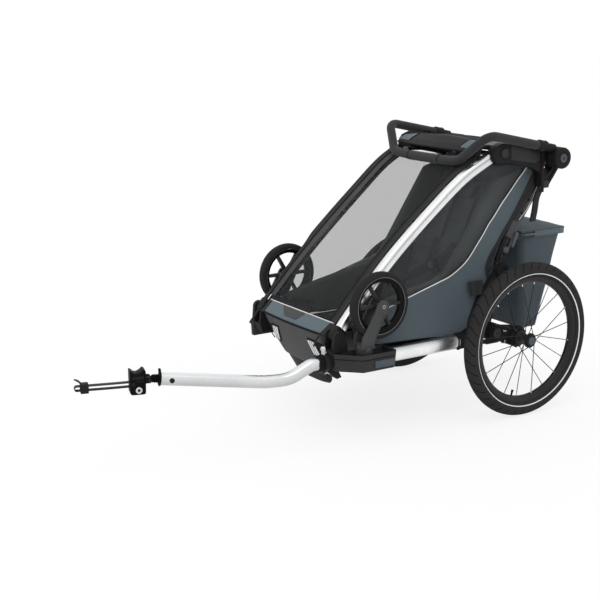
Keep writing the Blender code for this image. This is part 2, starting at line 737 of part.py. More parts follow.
def make_floor_pan():
    """Shallow belly pan between the side rails, whose ledges carry the seat."""
    solid = bmesh.new()
    half = RAIL_X_IN - GAP
    top = [(-half, PAN_LEDGE_Z), (-PAN_LEDGE_X, PAN_LEDGE_Z), (-PAN_BELLY_X, PAN_BELLY_Z)]
    top += [(-x, z) for x, z in top[::-1]]
    lower = [(x + math.copysign(0.002, x) * (abs(x) < half), z - PAN_WALL) for x, z in top]
    prism(solid, "y", top + lower[::-1], PAN_Y_FRONT, PAN_Y_REAR)
    add_mesh("floor_pan", solid, "black_plastic")


def nose_line(share):
    """Front of the nose at a share of its height: y, z and half its width."""
    y, z = blended(NOSE_TOP, NOSE_FOOT, share)
    return y, z, NOSE_TOP_HALF + (NOSE_FOOT_HALF - NOSE_TOP_HALF) * share ** NOSE_TAPER


def make_footwell():
    """Nose and footwell: a tapered tub, open at its back and top, with a chin plate under it."""
    rear_y = PAN_Y_FRONT - 2 * GAP
    floor = (NOSE_TOP[1] - NOSE_FLOOR_Z) / (NOSE_TOP[1] - NOSE_FOOT[1])
    rows = []
    steps = 4
    for i in range(steps + 1):
        y, z, half = nose_line(floor * i / steps)
        rows.append([
            (-half - 0.004, rear_y, z), (-half, (y + rear_y) / 2, z), (-half + 0.006, y + 0.010, z),
            (-half + 0.026, y, z), (0, y - 0.006, z), (half - 0.026, y, z),
            (half - 0.006, y + 0.010, z), (half, (y + rear_y) / 2, z), (half + 0.004, rear_y, z),
        ])
    rows.append([(x * 0.97, y if y == rear_y else y + 0.004, z - NOSE_WALL) for x, y, z in rows[-1]])
    tub = bmesh.new()
    verts = [[tub.verts.new(p) for p in row] for row in rows]
    for row, following in zip(verts, verts[1:]):
        for i in range(len(row) - 1):
            tub.faces.new((row[i], row[i + 1], following[i + 1], following[i]))
    tub.faces.new(verts[-1])
    bmesh.ops.recalc_face_normals(tub, faces=tub.faces)
    bmesh.ops.solidify(tub, geom=tub.faces[:], thickness=NOSE_WALL)
    plate = []
    for share, spread in ((floor - 0.10, 0.92), ((1 + floor) / 2, 0.96), (0.97, 0.94), (1.0, 0.84)):
        y, z, half = nose_line(share)
        plate.append([Vector((half * spread * u, y - 0.004 + 0.014 * u ** 4, z)) for u in (-1, -0.7, 0, 0.7, 1)])
    chin = body_of(grid_sheet, plate, CHIN_WALL)
    add_joined("footwell", [tub, chin], "dark_cloth", smooth_angle=40)


# Upper frame

def tube_route(side):
    """Centre line of one front tube."""
    return [Vector((side * p.x, p.y, p.z)) for p in smooth_route(TUBE_ROUTE, 15)]


def make_front_tube(side, tag):
    """Bright front tube with one groove along its outer face, and the foot on its pin."""
    w, d = TUBE_WIDTH / 2, TUBE_DEPTH / 2
    section = [
        (-w + 0.003, -d), (w - 0.004, -d), (w, -d + 0.004), (w, 0.000), (w - 0.0015, 0.0018),
        (w, 0.0036), (w, d - 0.007), (w - 0.005, d), (-w + 0.004, d), (-w, d - 0.004),
        (-w, -d + 0.003),
    ]
    route = tube_route(side)
    tube = body_of(swept, route, [(side * u, v) for u, v in section])
    start, tangent = route[0], (route[1] - route[0]).normalized()
    normal = Vector((0, -tangent.z, tangent.y))
    y, z = FOLD_PIVOT
    top = start + tangent * 0.012
    outline = [((top + normal * (d + 0.0015)).y, (top + normal * (d + 0.0015)).z),
               ((top - normal * (d + 0.0015)).y, (top - normal * (d + 0.0015)).z)]
    lean = math.degrees(math.atan2(tangent.z, tangent.y))
    outline += circle((y, z), 0.0150, 8, lean - 80, lean - 280)
    middle, half = TUBE_ROUTE[0][0], TUBE_WIDTH / 2 - 0.0005
    foot = body_of(prism, "x", outline, *sided(side, middle - half, middle + half))
    pivot = (side * middle, y, z)
    piece = add_joined(f"front_tube_{tag}", [tube, foot], "aluminium", pivot)
    bore(piece, (side * (middle - 0.03), y, z), (side * (middle + 0.03), y, z), FOLD_PIN_R + GAP, 12, pivot)


def tube_top():
    """The top end of the left front tube and its direction there."""
    route = tube_route(1)
    return route[-1], (route[-1] - route[-2]).normalized()


def shoulder_outline():
    """Side view of the shoulder, from the tube's top end back to the push bar's hub."""
    end, tangent = tube_top()
    normal = Vector((0, -tangent.z, tangent.y))
    start = end + tangent * (GAP + 0.0006)
    d = TUBE_DEPTH / 2 + 0.0015
    front_low, front_high = start - normal * d, start + normal * d
    head_y, head_z = STRUT_HEAD
    hub = circle(PUSH_PIVOT, PUSH_HUB_R, 9, -70, 100)
    return [
        (front_low.y, front_low.z), (-0.020, 0.8020), (0.060, 0.7860),
        (head_y - 0.026, head_z + 0.030),
        (head_y - 0.022, head_z - 0.012), (head_y - 0.008, head_z - 0.020),
        (head_y + 0.014, head_z - 0.014),
        (head_y + 0.030, head_z + 0.016), *hub, (0.110, 0.8420), (0.000, 0.8600),
        (-0.060, 0.8680), (front_high.y + 0.012, front_high.z + 0.020), (front_high.y, front_high.z),
    ]


def make_shoulder(side, tag):
    """Shoulder housing that joins the front tube, the rear strut and the push bar."""
    notch = [(0.1180, 0.7960), (0.1040, 0.7700), (0.1250, 0.7560), (0.1480, 0.7760)]
    knob = (-0.0560, 0.8380)
    pin_end = STRUT_X + STRUT_R + GAP
    sink = 0.002
    bodies = [
        body_of(prism, "x", shoulder_outline(), *sided(side, SHOULDER_X_IN, SHOULDER_X_OUT), holes=[notch]),
        body_of(cylinder, (side * (SHOULDER_X_OUT - sink), *knob), (side * (SHOULDER_X_OUT + 0.006), *knob),
                0.0140, 18, 0.0015),
        body_of(cylinder, (side * (SHOULDER_X_IN + sink), *STRUT_HEAD), (side * pin_end, *STRUT_HEAD),
                0.0085, 12),
    ]
    add_joined(f"shoulder_{tag}", bodies, "black_plastic", (side * SHOULDER_X_IN, *FOLD_PIVOT))


CANOPY_HEM = (-0.1300, 0.8385)
CANOPY_HEM_BOW = 0.0350  # how far the hem's middle stands ahead of its ends
CANOPY_BROW = (-0.1180, 0.8500)
CANOPY_FRONT = (-0.1000, 0.8580)
CANOPY_REAR = (0.1020, 0.8350)


def make_canopy():
    """Crowned roof between the shoulders: a bowed front hem, two rolled ribs and a rear drop."""
    solid = bmesh.new()
    half = SHOULDER_X_IN - GAP
    rows = []
    for (y, z), bow, rise in ((CANOPY_HEM, CANOPY_HEM_BOW, 0.0), (CANOPY_BROW, 0.020, 0.008)):
        spots = [(-1 + j / 4, 1 - (-1 + j / 4) ** 2) for j in range(9)]
        rows.append([Vector((half * across, y - bow * high, z + rise * high)) for across, high in spots])
    for i in range(11):
        share = i / 10
        y, z = blended(CANOPY_FRONT, CANOPY_REAR, share)
        rib = 0.0045 * sum(math.exp(-((share - at) / 0.045) ** 2) for at in (0.34, 0.66))
        row = []
        for j in range(9):
            across = -1 + j / 4
            crown = 0.018 * (1 - across ** 2)
            row.append(Vector((half * across, y, z + crown + rib)))
        rows.append(row)
    drop = [Vector((p.x, p.y + 0.006, p.z - 0.040)) for p in rows[-1]]
    grid_sheet(solid, rows + [drop], 0.0060)
    add_mesh("canopy", solid, "dark_cloth", (0, *FOLD_PIVOT), 50)


def make_canopy_bar():
    """Cross tube between the shoulders, under the roof."""
    solid = bmesh.new()
    reach = SHOULDER_X_IN - GAP
    at = (-0.0200, 0.8240)
    cylinder(solid, (-reach, *at), (reach, *at), 0.0080, 12)
    add_mesh("canopy_bar", solid, "black_metal", (0, *FOLD_PIVOT))


def make_rear_strut(side, tag):
    """Rear strut with its lock collar, hinged on the upright, and the bar that holds the bag."""
    dy, dz = strut_direction()
    foot, head = Vector((side * STRUT_X, *STRUT_FOOT)), Vector((side * STRUT_X, *STRUT_HEAD))
    along = Vector((0, dy, dz))
    profile = [
        (0, STRUT_R), (COLLAR_ALONG, STRUT_R), (COLLAR_ALONG, COLLAR_R),
        (COLLAR_ALONG + COLLAR_LENGTH, COLLAR_R), (COLLAR_ALONG + COLLAR_LENGTH, STRUT_R),
        ((head - foot).length, STRUT_R),
    ]
    tube = body_of(turned, foot, along, profile, 14)
    pin = body_of(cylinder, foot, (side * (UPRIGHT_X_IN - GAP), *STRUT_FOOT), 0.0060, 12)
    seat = foot + along * (COLLAR_ALONG + 0.010)
    bar_x = side * (BAG_HALF + GAP + BAG_BAR_R)
    bar = body_of(cylinder, (bar_x, seat.y - 0.004, seat.z), (bar_x, BAG_BAR_END, seat.z), BAG_BAR_R, 10)
    add_joined(f"rear_strut_{tag}", [tube, pin, bar], "black_metal", foot)


def lever_pivot():
    """(y, z) of the lock lever's hinge, at the top of its collar."""
    dy, dz = strut_direction()
    along = COLLAR_ALONG + COLLAR_LENGTH - 0.006
    return STRUT_FOOT[0] + dy * along, STRUT_FOOT[1] + dz * along


def make_lock_lever(side, tag):
    """Small lever on the collar's outer side that frees the strut."""
    solid = bmesh.new()
    dy, dz = strut_direction()
    y, z = lever_pivot()
    lean = math.degrees(math.atan2(dz, dy))
    tip = (y - dy * LEVER_LENGTH + dz * 0.004, z - dz * LEVER_LENGTH - dy * 0.004)
    outline = circle((y, z), 0.0070, 7, lean - 90, lean + 90)
    outline += circle(tip, 0.0050, 7, lean + 90, lean + 270)
    start = STRUT_X + COLLAR_R + GAP
    prism(solid, "x", outline, *sided(side, start, start + LEVER_THICKNESS))
    add_mesh(f"lock_lever_{tag}", solid, "grey_plastic", (side * start, y, z))


# Push bar

def push_arm_ends(side):
    """Ends of the straight arm on one side: at the hub's spigot and at the front bend."""
    bend_x = PUSH_ARM_X - PUSH_TOE_IN
    return Vector((side * PUSH_ARM_X, *PUSH_COLLAR_END)), Vector((side * bend_x, *PUSH_BEND))


def make_push_hub(side, tag):
    """Turning hub of the push bar, with a recess for its button and a spigot for the tube."""
    start = SHOULDER_X_OUT + RUN_GAP
    length = PUSH_HUB_X_OUT - start
    floor = length - PUSH_RECESS
    profile = [(0, PUSH_HUB_R), (length - 0.004, PUSH_HUB_R), (length, PUSH_HUB_R - 0.004),
               (length, PUSH_BUTTON_R + GAP), (floor, PUSH_BUTTON_R + GAP)]
    hub = body_of(turned, (side * start, *PUSH_PIVOT), (side, 0, 0), profile, 28)
    end, bend = push_arm_ends(side)
    back = (end - bend).normalized()
    to_pivot = Vector((side * PUSH_ARM_X, *PUSH_PIVOT)) - end
    foot = end + back * (to_pivot.dot(back) - PUSH_HUB_R / 2)
    spigot = body_of(cylinder, foot, end, PUSH_TUBE_R - 0.0008, 14)
    add_joined(f"push_hub_{tag}", [hub, spigot], "black_plastic", (side * start, *PUSH_PIVOT))


def make_push_bar():
    """Foam covered push bar: two arms, a dropped front and a grip sleeve in its middle."""
    end, bend = push_arm_ends(1)
    cross = Vector((PUSH_CROSS_HALF, *PUSH_CROSS))
    start = end + (bend - end).normalized() * GAP
    half = rounded_route([start, bend, cross, Vector((PUSH_SLEEVE_HALF, *PUSH_CROSS))], (0.040, 0.045), 7)
    step = Vector((0.0010, 0, 0))
    half += [half[-1] - step, Vector((0, *PUSH_CROSS))]
    mirrored = [Vector((-p.x, p.y, p.z)) for p in half[-2::-1]]
    bar = tube_curve("push_bar", half + mirrored, PUSH_TUBE_R, "foam", 3, (0, *PUSH_PIVOT))
    for point in bar.data.splines[0].points:
        point.radius = PUSH_SLEEVE_R / PUSH_TUBE_R if abs(point.co.x) < PUSH_SLEEVE_HALF - 0.0005 else 1.0


def make_push_button(side, tag):
    """Button in the push bar's hub that frees its tilt."""
    solid = bmesh.new()
    inner = PUSH_HUB_X_OUT - PUSH_RECESS + PUSH_BUTTON_TRAVEL + GAP
    outer = PUSH_HUB_X_OUT + BUTTON_PROUD
    high = outer - inner
    profile = [(0, PUSH_BUTTON_R), (high - 0.001, PUSH_BUTTON_R), (high, PUSH_BUTTON_R - 0.003)]
    centre = (side * inner, *PUSH_PIVOT)
    turned(solid, centre, (side, 0, 0), profile, 20)
    add_mesh(f"push_button_{tag}", solid, "grey_plastic", centre)


# Stowed stroller wheels

def make_small_tyre(side, tag):
    """Solid rubber tyre of a stroller wheel."""
    solid = bmesh.new()
    x, y, z = SMALL_WHEEL_AT
    half = SMALL_TYRE_WIDTH / 2
    inner = SMALL_TYRE_R - SMALL_TYRE_DEPTH
    outer = SMALL_TYRE_R
    ring = [(-half + 0.003, inner), (-half, inner + 0.004), (-half + 0.002, outer - 0.006),
            (-half + 0.008, outer), (half - 0.008, outer), (half - 0.002, outer - 0.006),
            (half, inner + 0.004), (half - 0.003, inner)]
    turned(solid, (side * x, y, z), (side, 0, 0), ring, 32, True)
    add_mesh(f"stroller_tyre_{tag}", solid, "rubber", (side * x, y, z), 40)


def make_small_rim(side, tag):
    """Moulded stroller wheel: a rim, six spokes and a bored hub, in one piece."""
    x, y, z = SMALL_WHEEL_AT
    outer = SMALL_TYRE_R - SMALL_TYRE_DEPTH - GAP
    inner = outer - 0.0085
    thick = 0.0110
    bore = circle((0, 0), SMALL_BOLT_R + GAP, 12)
    rim_outline = circle((0, 0), outer, 32)
    step = 360 / SMALL_SPOKES
    spoke_half = math.degrees(math.asin(0.0052 / inner))
    hub_half = math.degrees(math.asin(0.0052 / SMALL_HUB_R))
    windows = []
    for i in range(SMALL_SPOKES):
        start = i * step
        window = circle((0, 0), inner, 6, start + spoke_half, start + step - spoke_half)
        window += circle((0, 0), SMALL_HUB_R, 3, start + step - hub_half, start + hub_half)
        windows.append(window)
    solid = bmesh.new()
    prism(solid, "x", rim_outline, -thick, thick, holes=[bore, *windows])
    mirrored = Matrix.Translation((side * x, y, z))
    bmesh.ops.transform(solid, matrix=mirrored, verts=solid.verts)
    add_mesh(f"stroller_rim_{tag}", solid, "black_plastic", (side * x, y, z), 25)


def make_fork(side, tag):
    """Stroller fork: a round base, two legs that lean back to the wheel, and its bolt."""
    x, y, z = SMALL_WHEEL_AT
    base_z = TRAY_Z_HIGH - TRAY_RECESS + GAP
    base_top = base_z + FORK_BASE_HEIGHT
    base_y = FORK_BASE_Y
    bodies = [body_of(cylinder, (side * x, base_y, base_z), (side * x, base_y, base_top),
                      FORK_BASE_R, 24, 0.003)]
    lean = math.degrees(math.atan2(z - base_top, y - base_y))
    half = FORK_LEG_WIDTH / 2
    leg_inner = SMALL_TYRE_WIDTH / 2 + RUN_GAP
    leg_outer = leg_inner + FORK_LEG_THICKNESS
    across = Vector((0, math.sin(math.radians(lean)), -math.cos(math.radians(lean))))
    foot_z = base_top - 0.012
    knee = Vector((0, base_y, base_top + 0.012))
    rear, front = knee + across * half, knee - across * half
    outline = [(base_y - half, foot_z), (base_y + half, foot_z), (rear.y, rear.z)]
    outline += circle((y, z), FORK_LEG_TOP_R, 9, lean - 85, lean + 85)
    outline.append((front.y, front.z))
    for sign in (1, -1):
        limits = sorted((side * x + sign * leg_inner, side * x + sign * leg_outer))
        bodies.append(body_of(prism, "x", outline, *limits))
    reach = leg_outer + 0.002
    bodies.append(body_of(cylinder, (side * x - reach, y, z), (side * x + reach, y, z),
                          SMALL_BOLT_R, 12, 0.0008))
    add_joined(f"stroller_fork_{tag}", bodies, "black_plastic", (side * x, base_y, base_z))


# Cabin

def front_x(share):
    """Distance of the front tubes' centre line from the middle plane at a share of its length."""
    route = smooth_route(TUBE_ROUTE, 41)
    k = min(int(share * 40), 39)
    return route[k].lerp(route[k + 1], share * 40 - k).x


def front_line(share, inset=0.0):
    """(y, z) on the front tubes' centre line at a share of its length, moved forwards."""
    route = smooth_route(TUBE_ROUTE, 41)
    place = share * 40
    k = min(int(place), 39)
    point = route[k].lerp(route[k + 1], place - k)
    tangent = (route[k + 1] - route[k]).normalized()
    return point.y - tangent.z * inset, point.z + tangent.y * inset


COVER_START = 0.045
COVER_END = 0.930


def cover_rows():
    """Grid rows of the front cover: the hem from the nose up, then the window between the tubes."""
    top_y, top_z = front_line(COVER_START, 0.006)
    nose_y, nose_z = NOSE_TOP
    rows = []
    for i in range(3):
        y, z = blended((nose_y - RUN_GAP, nose_z + 3 * RUN_GAP), (top_y, top_z), i / 3)
        bow_y, bow_z = blended((0.006, 0.0), (0.008, 0.004), i / 3)
        rows.append([Vector((HEM_HALF * u, y - bow_y * (1 - u ** 2), z + bow_z * (1 - u ** 2)))
                     for u in (-1 + j / 4 for j in range(9))])
    for i in range(12):
        share = COVER_START + (COVER_END - COVER_START) * i / 11
        half = front_x(share) - TUBE_WIDTH / 2 - COVER_GAP
        row = []
        for u in (-1 + j / 4 for j in range(9)):
            y, z = front_line(share, 0.006 + 0.008 * (1 - u ** 2))
            row.append(Vector((half * u, y, z)))
        rows.append(row)
    return rows


def make_front_cover():
    """Front cover stretched between the front tubes: a hem at the nose and a tinted window."""
    solid = bmesh.new()
    grid_sheet(solid, cover_rows(), CLOTH)
    add_mesh("front_cover", solid, "tinted_film", smooth_angle=60)


def behind_tube(first, last, count, away):
    """Points beside the front tube's rear face, away from it."""
    points = []
    for i in range(count):
        y, z = front_line(first + (last - first) * i / (count - 1), -(TUBE_DEPTH / 2 + away))
        points.append((y, z))
    return points


def make_side_panel(side, tag):
    """Side wall of the cabin: tinted window and slate cloth, from the front tube to the rail."""
    outline = [*behind_tube(SIDE_FROM, SIDE_TO, 15, SIDE_AIR), SIDE_TOP, *SIDE_REAR, *SIDE_FOOT]
    solid = body_of(prism, "x", outline, *sided(side, SIDE_CLOTH_X, SIDE_CLOTH_X + CLOTH))
    add_mesh(f"side_panel_{tag}", solid, "slate_cloth")


def make_back_cloth():
    """Rear wall of the cabin, from the roof down to the rear beam."""
    solid = bmesh.new()
    line = [(0.0900, 0.7900), (0.0500, 0.7000), (0.0100, 0.6100), (-0.0350, 0.5100), (-0.0780, 0.4200),
            (-0.1000, 0.3400), (-0.0920, 0.2866)]
    half = STRUT_X - COLLAR_R - 0.004
    rows = []
    for y, z in line:
        rows.append([Vector((half * (-1 + j / 3), y, z)) for j in range(7)])
    grid_sheet(solid, rows, CLOTH)
    add_mesh("back_cloth", solid, "dark_cloth", smooth_angle=60)


def cushion_height(u, v, thickness, crown, channels):
    """Height of a cushion's top over its middle plane, at u across and v along it."""
    swell = (1 - u ** 4) * (1 - v ** 4)
    ridge = 0.75 + 0.25 * abs(math.cos(channels * math.pi * (v + 1) / 2))
    return thickness / 2 * (0.35 + 0.65 * swell * ridge) + crown * swell


def cushion(solid, centre, size, crown, lean, channels):
    """Add a padded block: a flat back, a crowned top with sewn channels and drawn-in sides."""
    part = bmesh.new()
    across, along = 10, 10
    grid = {}
    for face in (1, -1):
        for i in range(across + 1):
            for j in range(along + 1):
                u, v = -1 + 2 * i / across, -1 + 2 * j / along
                height = cushion_height(u, v, size[2], crown, channels) if face == 1 else size[2] / 2
                pull = 1 - 0.03 * (1 - (1 - u ** 4) * (1 - v ** 4))
                point = Vector((u * size[0] / 2 * (1 - 0.035 * v * v) * pull,
                                v * size[1] / 2 * (1 - 0.035 * u * u), face * height))
                grid[face, i, j] = part.verts.new(point)
    for face in (1, -1):
        for i in range(across):
            for j in range(along):
                part.faces.new((grid[face, i, j], grid[face, i + 1, j], grid[face, i + 1, j + 1],
                                grid[face, i, j + 1]))
    border = [(i, 0) for i in range(across)] + [(across, j) for j in range(along)]
    border += [(i, along) for i in range(across, 0, -1)] + [(0, j) for j in range(along, 0, -1)]
    for k, (i, j) in enumerate(border):
        m, n = border[(k + 1) % len(border)]
        part.faces.new((grid[1, i, j], grid[1, m, n], grid[-1, m, n], grid[-1, i, j]))
    bmesh.ops.recalc_face_normals(part, faces=part.faces)
    turn = Matrix.Translation(centre) @ Matrix.Rotation(math.radians(lean), 4, "X")
    bmesh.ops.transform(part, matrix=turn, verts=part.verts)
    merge(solid, part)


def seat_back_point(x, along, lift):
    """A point beside the seat back's middle plane, in front of it by lift."""
    lean = math.radians(SEAT_BACK_LEAN)
    up, ahead = Vector((0, math.cos(lean), math.sin(lean))), Vector((0, -math.sin(lean), math.cos(lean)))
    return Vector((x, *SEAT_BACK_AT)) + up * along + ahead * lift


def make_seat():
    """Seat cushion on the pan's ledges and a seat back that leans against the back cloth."""
    thick = SEAT_THICKNESS
    centre = (0, SEAT_Y, PAN_LEDGE_Z + GAP + thick / 2)
    seat = body_of(cushion, centre, (2 * SEAT_HALF, SEAT_DEPTH, thick), SEAT_CROWN, 0, SEAT_CHANNELS)
    add_mesh("seat_cushion", seat, "dark_cloth", smooth_angle=80)
    size = (2 * SEAT_HALF, SEAT_BACK_LENGTH, SEAT_BACK_THICKNESS)
    back = body_of(cushion, (0, *SEAT_BACK_AT), size, SEAT_CROWN, SEAT_BACK_LEAN, SEAT_BACK_CHANNELS)
    add_mesh("seat_back", back, "dark_cloth", smooth_angle=80)


def make_harness():
    """Shoulder straps and crotch strap that meet in one buckle."""
    web = [(-0.0125, 0), (0.0125, 0), (0.0125, 0.0016), (-0.0125, 0.0016)]
    lift = SEAT_BACK_THICKNESS / 2 + SEAT_CROWN + GAP
    buckle = seat_back_point(0, -0.1150, lift + 0.0195)
    half = Vector((0.027, 0.009, 0.026))
    bodies = [body_of(rounded_block, buckle - half, buckle + half, 0.005, 1)]
    for side, _ in SIDES:
        route = [buckle + Vector((side * 0.014, 0, 0.018)), seat_back_point(side * 0.046, -0.030, lift),
                 seat_back_point(side * 0.050, 0.170, lift)]
        bodies.append(body_of(swept, route, web))
    ahead = 0.5
    seat_top = (PAN_LEDGE_Z + GAP + SEAT_THICKNESS / 2 + RUN_GAP
                + cushion_height(0, ahead, SEAT_THICKNESS, SEAT_CROWN, SEAT_CHANNELS))
    crotch = [Vector((0, SEAT_Y + ahead * SEAT_DEPTH / 2, seat_top)), buckle - Vector((0, 0, 0.016))]
    bodies.append(body_of(swept, crotch, web))
    add_joined("harness", bodies, "black_plastic")


# Cargo bag

def bag_ring(share, inset):
    """One level ring of the cargo bag, at a share of its height, moved inwards."""
    front = BAG_FLOOR_FRONT_Y + (BAG_TOP_FRONT_Y - BAG_FLOOR_FRONT_Y) * share + inset
    rear = BAG_FLOOR_REAR_Y + (BAG_TOP_REAR_Y - BAG_FLOOR_REAR_Y) * share ** 0.85 - inset
    half = BAG_HALF * (0.93 + 0.07 * share) - inset
    z = BAG_FLOOR_Z + (BAG_TOP_Z - BAG_FLOOR_Z) * share
    corner = 0.022
    points = []
    middles = ((half - corner, rear - corner), (-half + corner, rear - corner),
               (-half + corner, front + corner), (half - corner, front + corner))
    for quarter, middle in enumerate(middles):
        turn = 90 * quarter
        points += [Vector((px, py, z)) for px, py in circle(middle, corner, 3, turn, turn + 90)]
    return points


def make_cargo_bag():
    """Tapered cargo bag, open at its top under the lid."""
    solid = bmesh.new()
    levels = (0.0, 0.25, 0.5, 0.75, 1.0)
    rings = [bag_ring(s, 0) for s in levels]
    inner = [bag_ring(s, BAG_WALL) for s in levels[::-1]]
    for point in inner[-1]:
        point.z += BAG_WALL
    loops = [[solid.verts.new(p) for p in ring] for ring in rings + inner]
    for loop, following in zip(loops, loops[1:]):
        for i in range(len(loop)):
            j = (i + 1) % len(loop)
            solid.faces.new((loop[i], loop[j], following[j], following[i]))
    solid.faces.new(loops[0])
    solid.faces.new(loops[-1])
    add_mesh("cargo_bag", solid, "slate_cloth", smooth_angle=50)


def make_bag_lid():
    """Crowned lid on the cargo bag, hinged along its front edge."""
    solid = bmesh.new()
    half = BAG_HALF + 0.003
    z = BAG_TOP_Z + GAP
    y0, y1 = BAG_TOP_FRONT_Y - 0.002, BAG_TOP_REAR_Y + 0.006
    rows = []
    for i in range(7):
        share = i / 6
        row = []
        for j in range(9):
            u = -1 + j / 4
            swell = (1 - u ** 4) * (1 - (2 * share - 1) ** 4)
            height = LID_RIM + (LID_HEIGHT - LID_RIM) * swell
            row.append(Vector((half * u, y0 + (y1 - y0) * share, z + height)))
        rows.append(row)
    part = bmesh.new()
    top = [[part.verts.new(p) for p in row] for row in rows]
    low = [[part.verts.new((p.x, p.y, z)) for p in row] for row in rows]
    for grid in (top, low):
        for row, following in zip(grid, grid[1:]):
            for j in range(len(row) - 1):
                part.faces.new((row[j], row[j + 1], following[j + 1], following[j]))
    border = [(0, j) for j in range(8)] + [(i, 8) for i in range(6)] + [(6, j) for j in range(8, 0, -1)]
    border += [(i, 0) for i in range(6, 0, -1)]
    for k, (i, j) in enumerate(border):
        m, n = border[(k + 1) % len(border)]
        part.faces.new((top[i][j], top[m][n], low[m][n], low[i][j]))
    merge(solid, part)
    add_mesh("bag_lid", solid, "slate_cloth", (0, y0, z), 50)


# Tow arm and hitch

def make_tow_receiver():
    """Socket on the left front corner that the tow arm slides into."""
    bore_r = ARM_TUBE_R + GAP
    profile = [(0, bore_r), (0, bore_r + RECEIVER_WALL), (RECEIVER_LENGTH, bore_r + RECEIVER_WALL),
               (RECEIVER_LENGTH, bore_r)]
    solid = body_of(turned, RECEIVER_AT, (0, 1, 0), profile, 24, True)
    add_mesh("tow_receiver", solid, "black_plastic", RECEIVER_AT)


def tow_points():
    """The tow arm's centre line, from inside the receiver to the hitch."""
    x, y, z = RECEIVER_AT
    rear = y + RECEIVER_LENGTH - 0.005
    inside = [Vector((x, rear + (y - rear) * i / 2, z)) for i in range(3)]
    return inside + smooth_route(TOW_ROUTE, 24)


def tow_head():
    """The tow arm's front end and the direction in which it points."""
    route = tow_points()
    return route[-1], (route[-1] - route[-2]).normalized()


def make_tow_arm():
    """Bright bent tow arm, with a pocket for its button near the hitch."""
    section = circle((0, 0), ARM_TUBE_R, 14)
    tube = body_of(swept, tow_points(), section, (0, 0, 1))
    piece = add_mesh("tow_arm", tube, "aluminium", RECEIVER_AT)
    centre, across = button_place()
    bore(piece, centre + across * (ARM_TUBE_R - BUTTON_SINK - BUTTON_TRAVEL - GAP),
         centre + across * (ARM_TUBE_R + 0.005), BUTTON_R + GAP, 14, RECEIVER_AT)


def button_place():
    """Centre of the arm under its button, and the direction in which the button stands."""
    head, along = tow_head()
    return head - along * BUTTON_BACK, hitch_frame().to_3x3() @ Vector((1, 0, 0))


def hitch_frame():
    """Matrix at the neck's front end: local -Y points along the arm, level, and +Z is up."""
    head, along = tow_head()
    back = -Vector((along.x, along.y, 0)).normalized()
    side = back.cross(Vector((0, 0, 1))).normalized()
    turn = Matrix((side, back, Vector((0, 0, 1)))).transposed().to_4x4()
    return Matrix.Translation(head + along * (GAP + NECK_LENGTH)) @ turn


def add_at_hitch(name, part, paint, pivot_local):
    """Place a bmesh drawn in the hitch's frame, with its origin on a pivot there."""
    place = hitch_frame()
    bmesh.ops.transform(part, matrix=place, verts=part.verts)
    add_mesh(name, part, paint, place @ Vector(pivot_local))


def make_coupling_neck():
    """Flared collar and neck that carry the hitch on the tow arm's end."""
    head, along = tow_head()
    flare = COLLAR_FLARE_R
    profile = [(0.0, ARM_TUBE_R), (0.0035, flare), (0.0055, flare), (0.0100, NECK_R), (NECK_LENGTH, NECK_R)]
    neck = body_of(turned, head + along * GAP, along, profile, 18)
    tongue = body_of(block, (-TONGUE_HALF, -TONGUE_LENGTH, -TONGUE_HIGH), (TONGUE_HALF, 0.0040, TONGUE_HIGH))
    place = hitch_frame()
    bmesh.ops.transform(tongue, matrix=place, verts=tongue.verts)
    add_joined("coupling_neck", [neck, tongue], "black_plastic", place.translation)


def make_hitch_jaw():
    """Hitch body: cheeks round the neck's tongue, a saddle on top, a closed foot and its pin."""
    wide, deep, high = JAW_SIZE
    start = -JAW_START
    front = start - deep
    top, foot = high * 0.48, -high * 0.62
    saddle = [(start, top - 0.002), (start - 0.006, top + 0.002), (start - 0.012, top - 0.004),
              (start - 0.022, top - 0.010), (start - 0.034, top - 0.008), (front, top),
              (front, foot + 0.004), (front + 0.004, foot), (start - 0.004, foot), (start, foot + 0.004)]
    bodies = [body_of(prism, "x", saddle, -wide / 2, wide / 2)]
    for sign in (1, -1):
        nose = circle((-JAW_PIVOT, 0), CHEEK_R, 7, -80, 80)
        cheek = [(start - 0.004, -0.0160), *nose, (start - 0.004, 0.0160)]
        sides = sorted((sign * (TONGUE_HALF + RUN_GAP), sign * wide / 2))
        bodies.append(body_of(prism, "x", cheek, *sides))
    y = start - deep * 0.45
    x = wide / 2 - 0.002
    low = foot * 0.65
    bodies.append(body_of(cylinder, (x, y, low), (x + 0.0070, y, low), 0.0085, 18, 0.001))
    place = hitch_frame()
    for body in bodies:
        bmesh.ops.transform(body, matrix=place, verts=body.verts)
    add_joined("hitch_jaw", bodies, "black_plastic", place @ Vector((0, -JAW_PIVOT, 0)))


def strap_start():
    """Distance ahead of the neck at which the safety strap leaves the hitch."""
    return -JAW_START - JAW_SIZE[1] - GAP


def make_safety_strap():
    """Safety strap: one web that runs out from the hitch, round its keeper and back."""
    part = bmesh.new()
    start = strap_start()
    thick, half_gap = STRAP_THICKNESS, STRAP_PLY_GAP / 2
    turn_y = start - STRAP_LENGTH + half_gap
    middle_r = half_gap + thick / 2
    route = [Vector((0, start, middle_r + STRAP_DROP))]
    route += [Vector((0, turn_y - middle_r * math.sin(a), STRAP_DROP + middle_r * math.cos(a)))
              for a in (math.pi * i / 8 for i in range(9))]
    route.append(Vector((0, start, -middle_r + STRAP_DROP)))
    half = STRAP_WIDTH / 2
    swept(part, route, [(-half, -thick / 2), (half, -thick / 2), (half, thick / 2), (-half, thick / 2)])
    add_at_hitch("safety_strap", part, "black_plastic", (0, start, 0))


